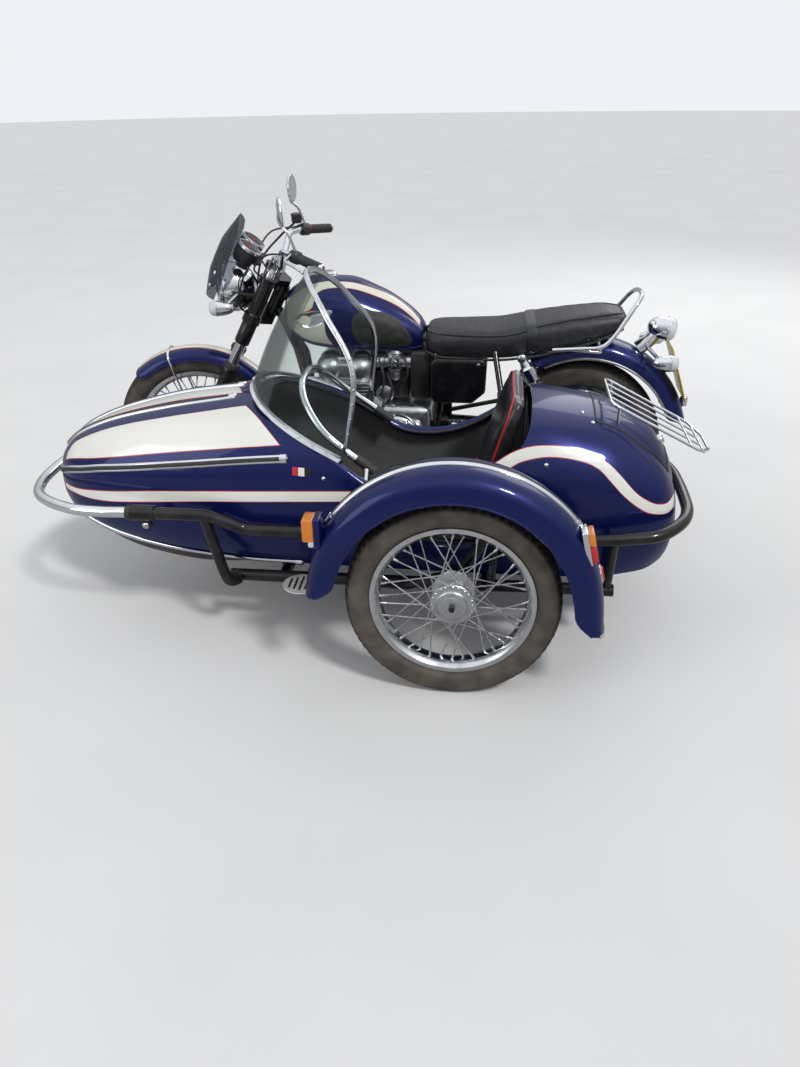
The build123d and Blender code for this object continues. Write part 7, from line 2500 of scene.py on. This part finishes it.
# %% Grips, levers and switches
GRIP_WAY = (GRIP_OUT - GRIP_IN) / np.linalg.norm(GRIP_OUT - GRIP_IN)
for side, tag in SIDES:
    way = GRIP_WAY * (1, side, 1)
    outline = [(0.036, 0), (0.036, 0.020), (0.040, 0.021), (0.043, 0.0172)]
    for k in range(13):
        s = 0.046 + 0.0080 * k
        outline += [(s, 0.0172), (s + 0.0012, 0.0158), (s + 0.0024, 0.0158), (s + 0.0036, 0.0172)]
    outline += [(0.150, 0.0172), (0.152, 0.015), (0.152, 0)]
    start = on_grip(0, side)
    keep(piece(f"grip_{tag}", turned(outline, start, way, 40), black_rubber, turn=True), "black_rubber",
         "steering", ["hand_controls"])
    end_plug = turned([(0.152, 0), (0.152, 0.0150), (0.156, 0.0152), (0.160, 0.012), (0.161, 0)], start,
                      way, 32)
    keep(piece(f"bar_end_{tag}", end_plug, chrome, turn=True), "chrome", "steering")
    housing = turned([(0.004, 0), (0.004, 0.020), (0.007, 0.0228), (0.019, 0.0230), (0.0195, 0.0222),
                      (0.0205, 0.0222), (0.021, 0.0230),
                      (0.035, 0.0228), (0.038, 0.020), (0.038, 0)], start, way, 36)
    keep(piece(f"switch_housing_{tag}", housing, black_plastic, turn=True), "black_rubber", "steering")
    lever_line = curve_through([on_grip(20, side, (12, 6, 12)), on_grip(34, side, (34, 22, 6)),
                                on_grip(50, side, (52, 36, 4)),
                                on_grip(100, side, (53, 37, 0)), on_grip(142, side, (50, 36, -8))], 10)
    sizes = np.concatenate([np.full(len(lever_line) - 3, 0.0052), [0.0060, 0.0072, 0.0060]])
    keep(piece(f"lever_{tag}", pipe(lever_line, sizes, 14), polished, turn=True), "alloy", "steering")
    perch = bar(on_grip(22, side, (8, 0, 6)), on_grip(20, side, (26, 18, 6)), 0.0095, sides=20,
                soft=0.002)
    keep(piece(f"lever_perch_{tag}", perch, black_plastic, turn=True), "black_rubber", "steering")
switch = bar(on_grip(20, -1, (-20, 0, 6)), on_grip(20, -1, (-27, 0, 8)), 0.0065, sides=20, soft=0.001)
keep(piece("stop_switch", switch, red_lens, turn=True), "red_lens", "steering")
toggles = together(*[bar(on_grip(18, 1, (-19, 0, z)), on_grip(18, 1, (-26, 0, z + 1)), 0.0045, sides=16,
                         soft=0.001) for z in (-6, 8)])
keep(piece("thumb_switches", toggles, satin_alloy, turn=True), "alloy", "steering")
tank_at = on_grip(10, -1, (22, 14, 40))
reservoir = turned([(-0.017, 0), (-0.017, 0.018), (-0.014, 0.0200), (0.008, 0.0200), (0.009, 0.0215),
                    (0.016, 0.0215), (0.017, 0.019),
                    (0.017, 0)], tank_at, (0, 0, 1), 40)
keep(piece("brake_reservoir", reservoir, black_plastic, turn=True), "black_rubber", "steering")
print("controls made")

# %% [markdown]
# The brake hose and the cables are stiff, and stay clear of what moves. Both ends of each
# cable turn with the bars, so a smooth curve of fixed length is right at any angle.

# %% Hose and cables
HOSE = [on_grip(8, -1, (30, 12, 22)), (1.150, -0.200, 1.040), (1.225, -0.165, 0.960),
        (1.262, -0.142, 0.820), (1.330, -0.140, 0.640),
        (1.410, -0.134, 0.530), (1.408, -0.118, 0.474)]
keep(piece("brake_hose", pipe(curve_through(HOSE, 12), 0.0042, 12), black_rubber, turn=True),
     "black_rubber", "steering",
     ["front_brake_hose"])
CABLES = (
    [on_grip(6, 1, (30, 10, 8)), (1.160, 0.180, 1.060), (1.215, 0.120, 1.000), (1.190, 0.060, 0.950),
     (1.150, 0.030, 0.930)],
    [on_grip(6, -1, (20, 4, 10)), (1.175, -0.150, 1.070), (1.220, -0.090, 1.010), (1.190, -0.050, 0.955),
     (1.150, -0.028, 0.930)],
    [(1.230, 0.058, 1.008), (1.262, 0.100, 0.960), (1.290, 0.075, 0.860), (1.262, 0.030, 0.800)],
)
for k, route in enumerate(CABLES):
    keep(piece(f"bar_cable_{k}", pipe(curve_through(route, 12), 0.0034, 10), black_rubber, turn=True),
         "black_rubber", "steering")
print("hose and cables made")

# %% [markdown]
# The bars round the sidecar and the grab rail are tube, bent cold round a former. A smooth
# curve through a few points gives rounder bends than the construction model's.

# %% Bent bars round the sidecar, and the bike's grab rail
def bent_bar(name, points, radius, material, slot, nodes=(), extra=()):
    """A bent tube given in millimetres, with any straight bars welded to it."""
    path = curve_through([(x * 0.001, y * 0.001, z * 0.001) for x, y, z in points], 6)
    shapes = [pipe(path, radius, 24)] + list(extra)
    return keep(piece(name, together(*shapes), material), slot, "root", list(nodes))


Y = BAR_Y * 1000
hoop_points = [(1400, Y, 446), (1500, Y - 4, 443), (1590, Y - 20, 440), (1690, Y - 72, 436),
               (1758, 894, 434), (1792, 800, 432),
               (1800, 700, 432), (1792, 600, 432), (1758, 506, 432), (1690, 428, 432), (1590, 384, 430),
               (1500, 373, 418),
               (1420, 373, 396), (1290, 384, 320), (1180, 404, 248), (1122, 434, 212)]
bent_bar("front_hoop_tube", hoop_points, 0.017, chrome, "chrome", ["front_hoop"])
side_points = [(1400, Y, 446), (1290, Y, 446), (1190, Y, 445), (1150, Y, 440), (1100, Y, 423),
               (1060, Y, 408), (1015, Y, 402),
               (700, Y, 404), (300, Y, 408), (20, Y, 411), (-90, Y - 8, 416), (-170, Y - 24, 422),
               (-236, 940, 428), (-268, 860, 430),
               (-276, 760, 430), (-276, 640, 430), (-268, 540, 430), (-236, 460, 429), (-170, 412, 420),
               (-100, 400, 362),
               (-40, 406, 282), (-20, 434, 214)]
outer_leg = [(1172, Y, 440), (1150, Y - 2, 340), (1128, Y - 5, 238), (1114, Y - 14, 212),
             (1098, Y - 40, 206)]
leg = pipe(curve_through([(x * 0.001, y * 0.001, z * 0.001) for x, y, z in outer_leg], 10), 0.0168, 28)
rear_leg = bar((-0.040, BAR_Y - 0.068, 0.214), (-0.040, BAR_Y, 0.409), 0.013, sides=24)
bent_bar("side_bar_tube", side_points, 0.0185, black_paint, "black_paint", ["side_bar"], [leg, rear_leg])
rail_half = [(120, 152, 716), (20, 152, 722), (-50, 150, 728), (-92, 138, 760), (-132, 118, 815),
             (-164, 98, 862), (-184, 70, 886)]
rail_points = rail_half + [(-192, 30, 892), (-192, -30, 892)] + [(x, -y, z)
                        for x, y, z in reversed(rail_half)]
bent_bar("grab_rail_tube", rail_points, 0.008, chrome, "chrome", ["grab_rail"])
print("bent bars made")

# %% [markdown]
# What is left keeps its CAD shape, since tubes and brackets are already true there. Each
# gets the finish of the real part.

# %% Finishes for the kept CAD pieces
CAD_FINISHES = (
    (("motorcycle_frame", "swinging_arm", "sidecar_chassis", "sidecar_struts", "wheel_arm", "fork_yokes",
      "lamp_brackets"), black_paint),
    (("luggage_rack", "handlebar"), chrome),
    (("footrests",), black_rubber),
)
for names, material in CAD_FINISHES:
    for name in names:
        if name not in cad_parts:
            continue
        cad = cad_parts[name]
        if len(cad.data.materials) == 0:
            cad.data.materials.append(material)
        for index in range(len(cad.data.materials)):
            cad.data.materials[index] = material
print("kept pieces finished")
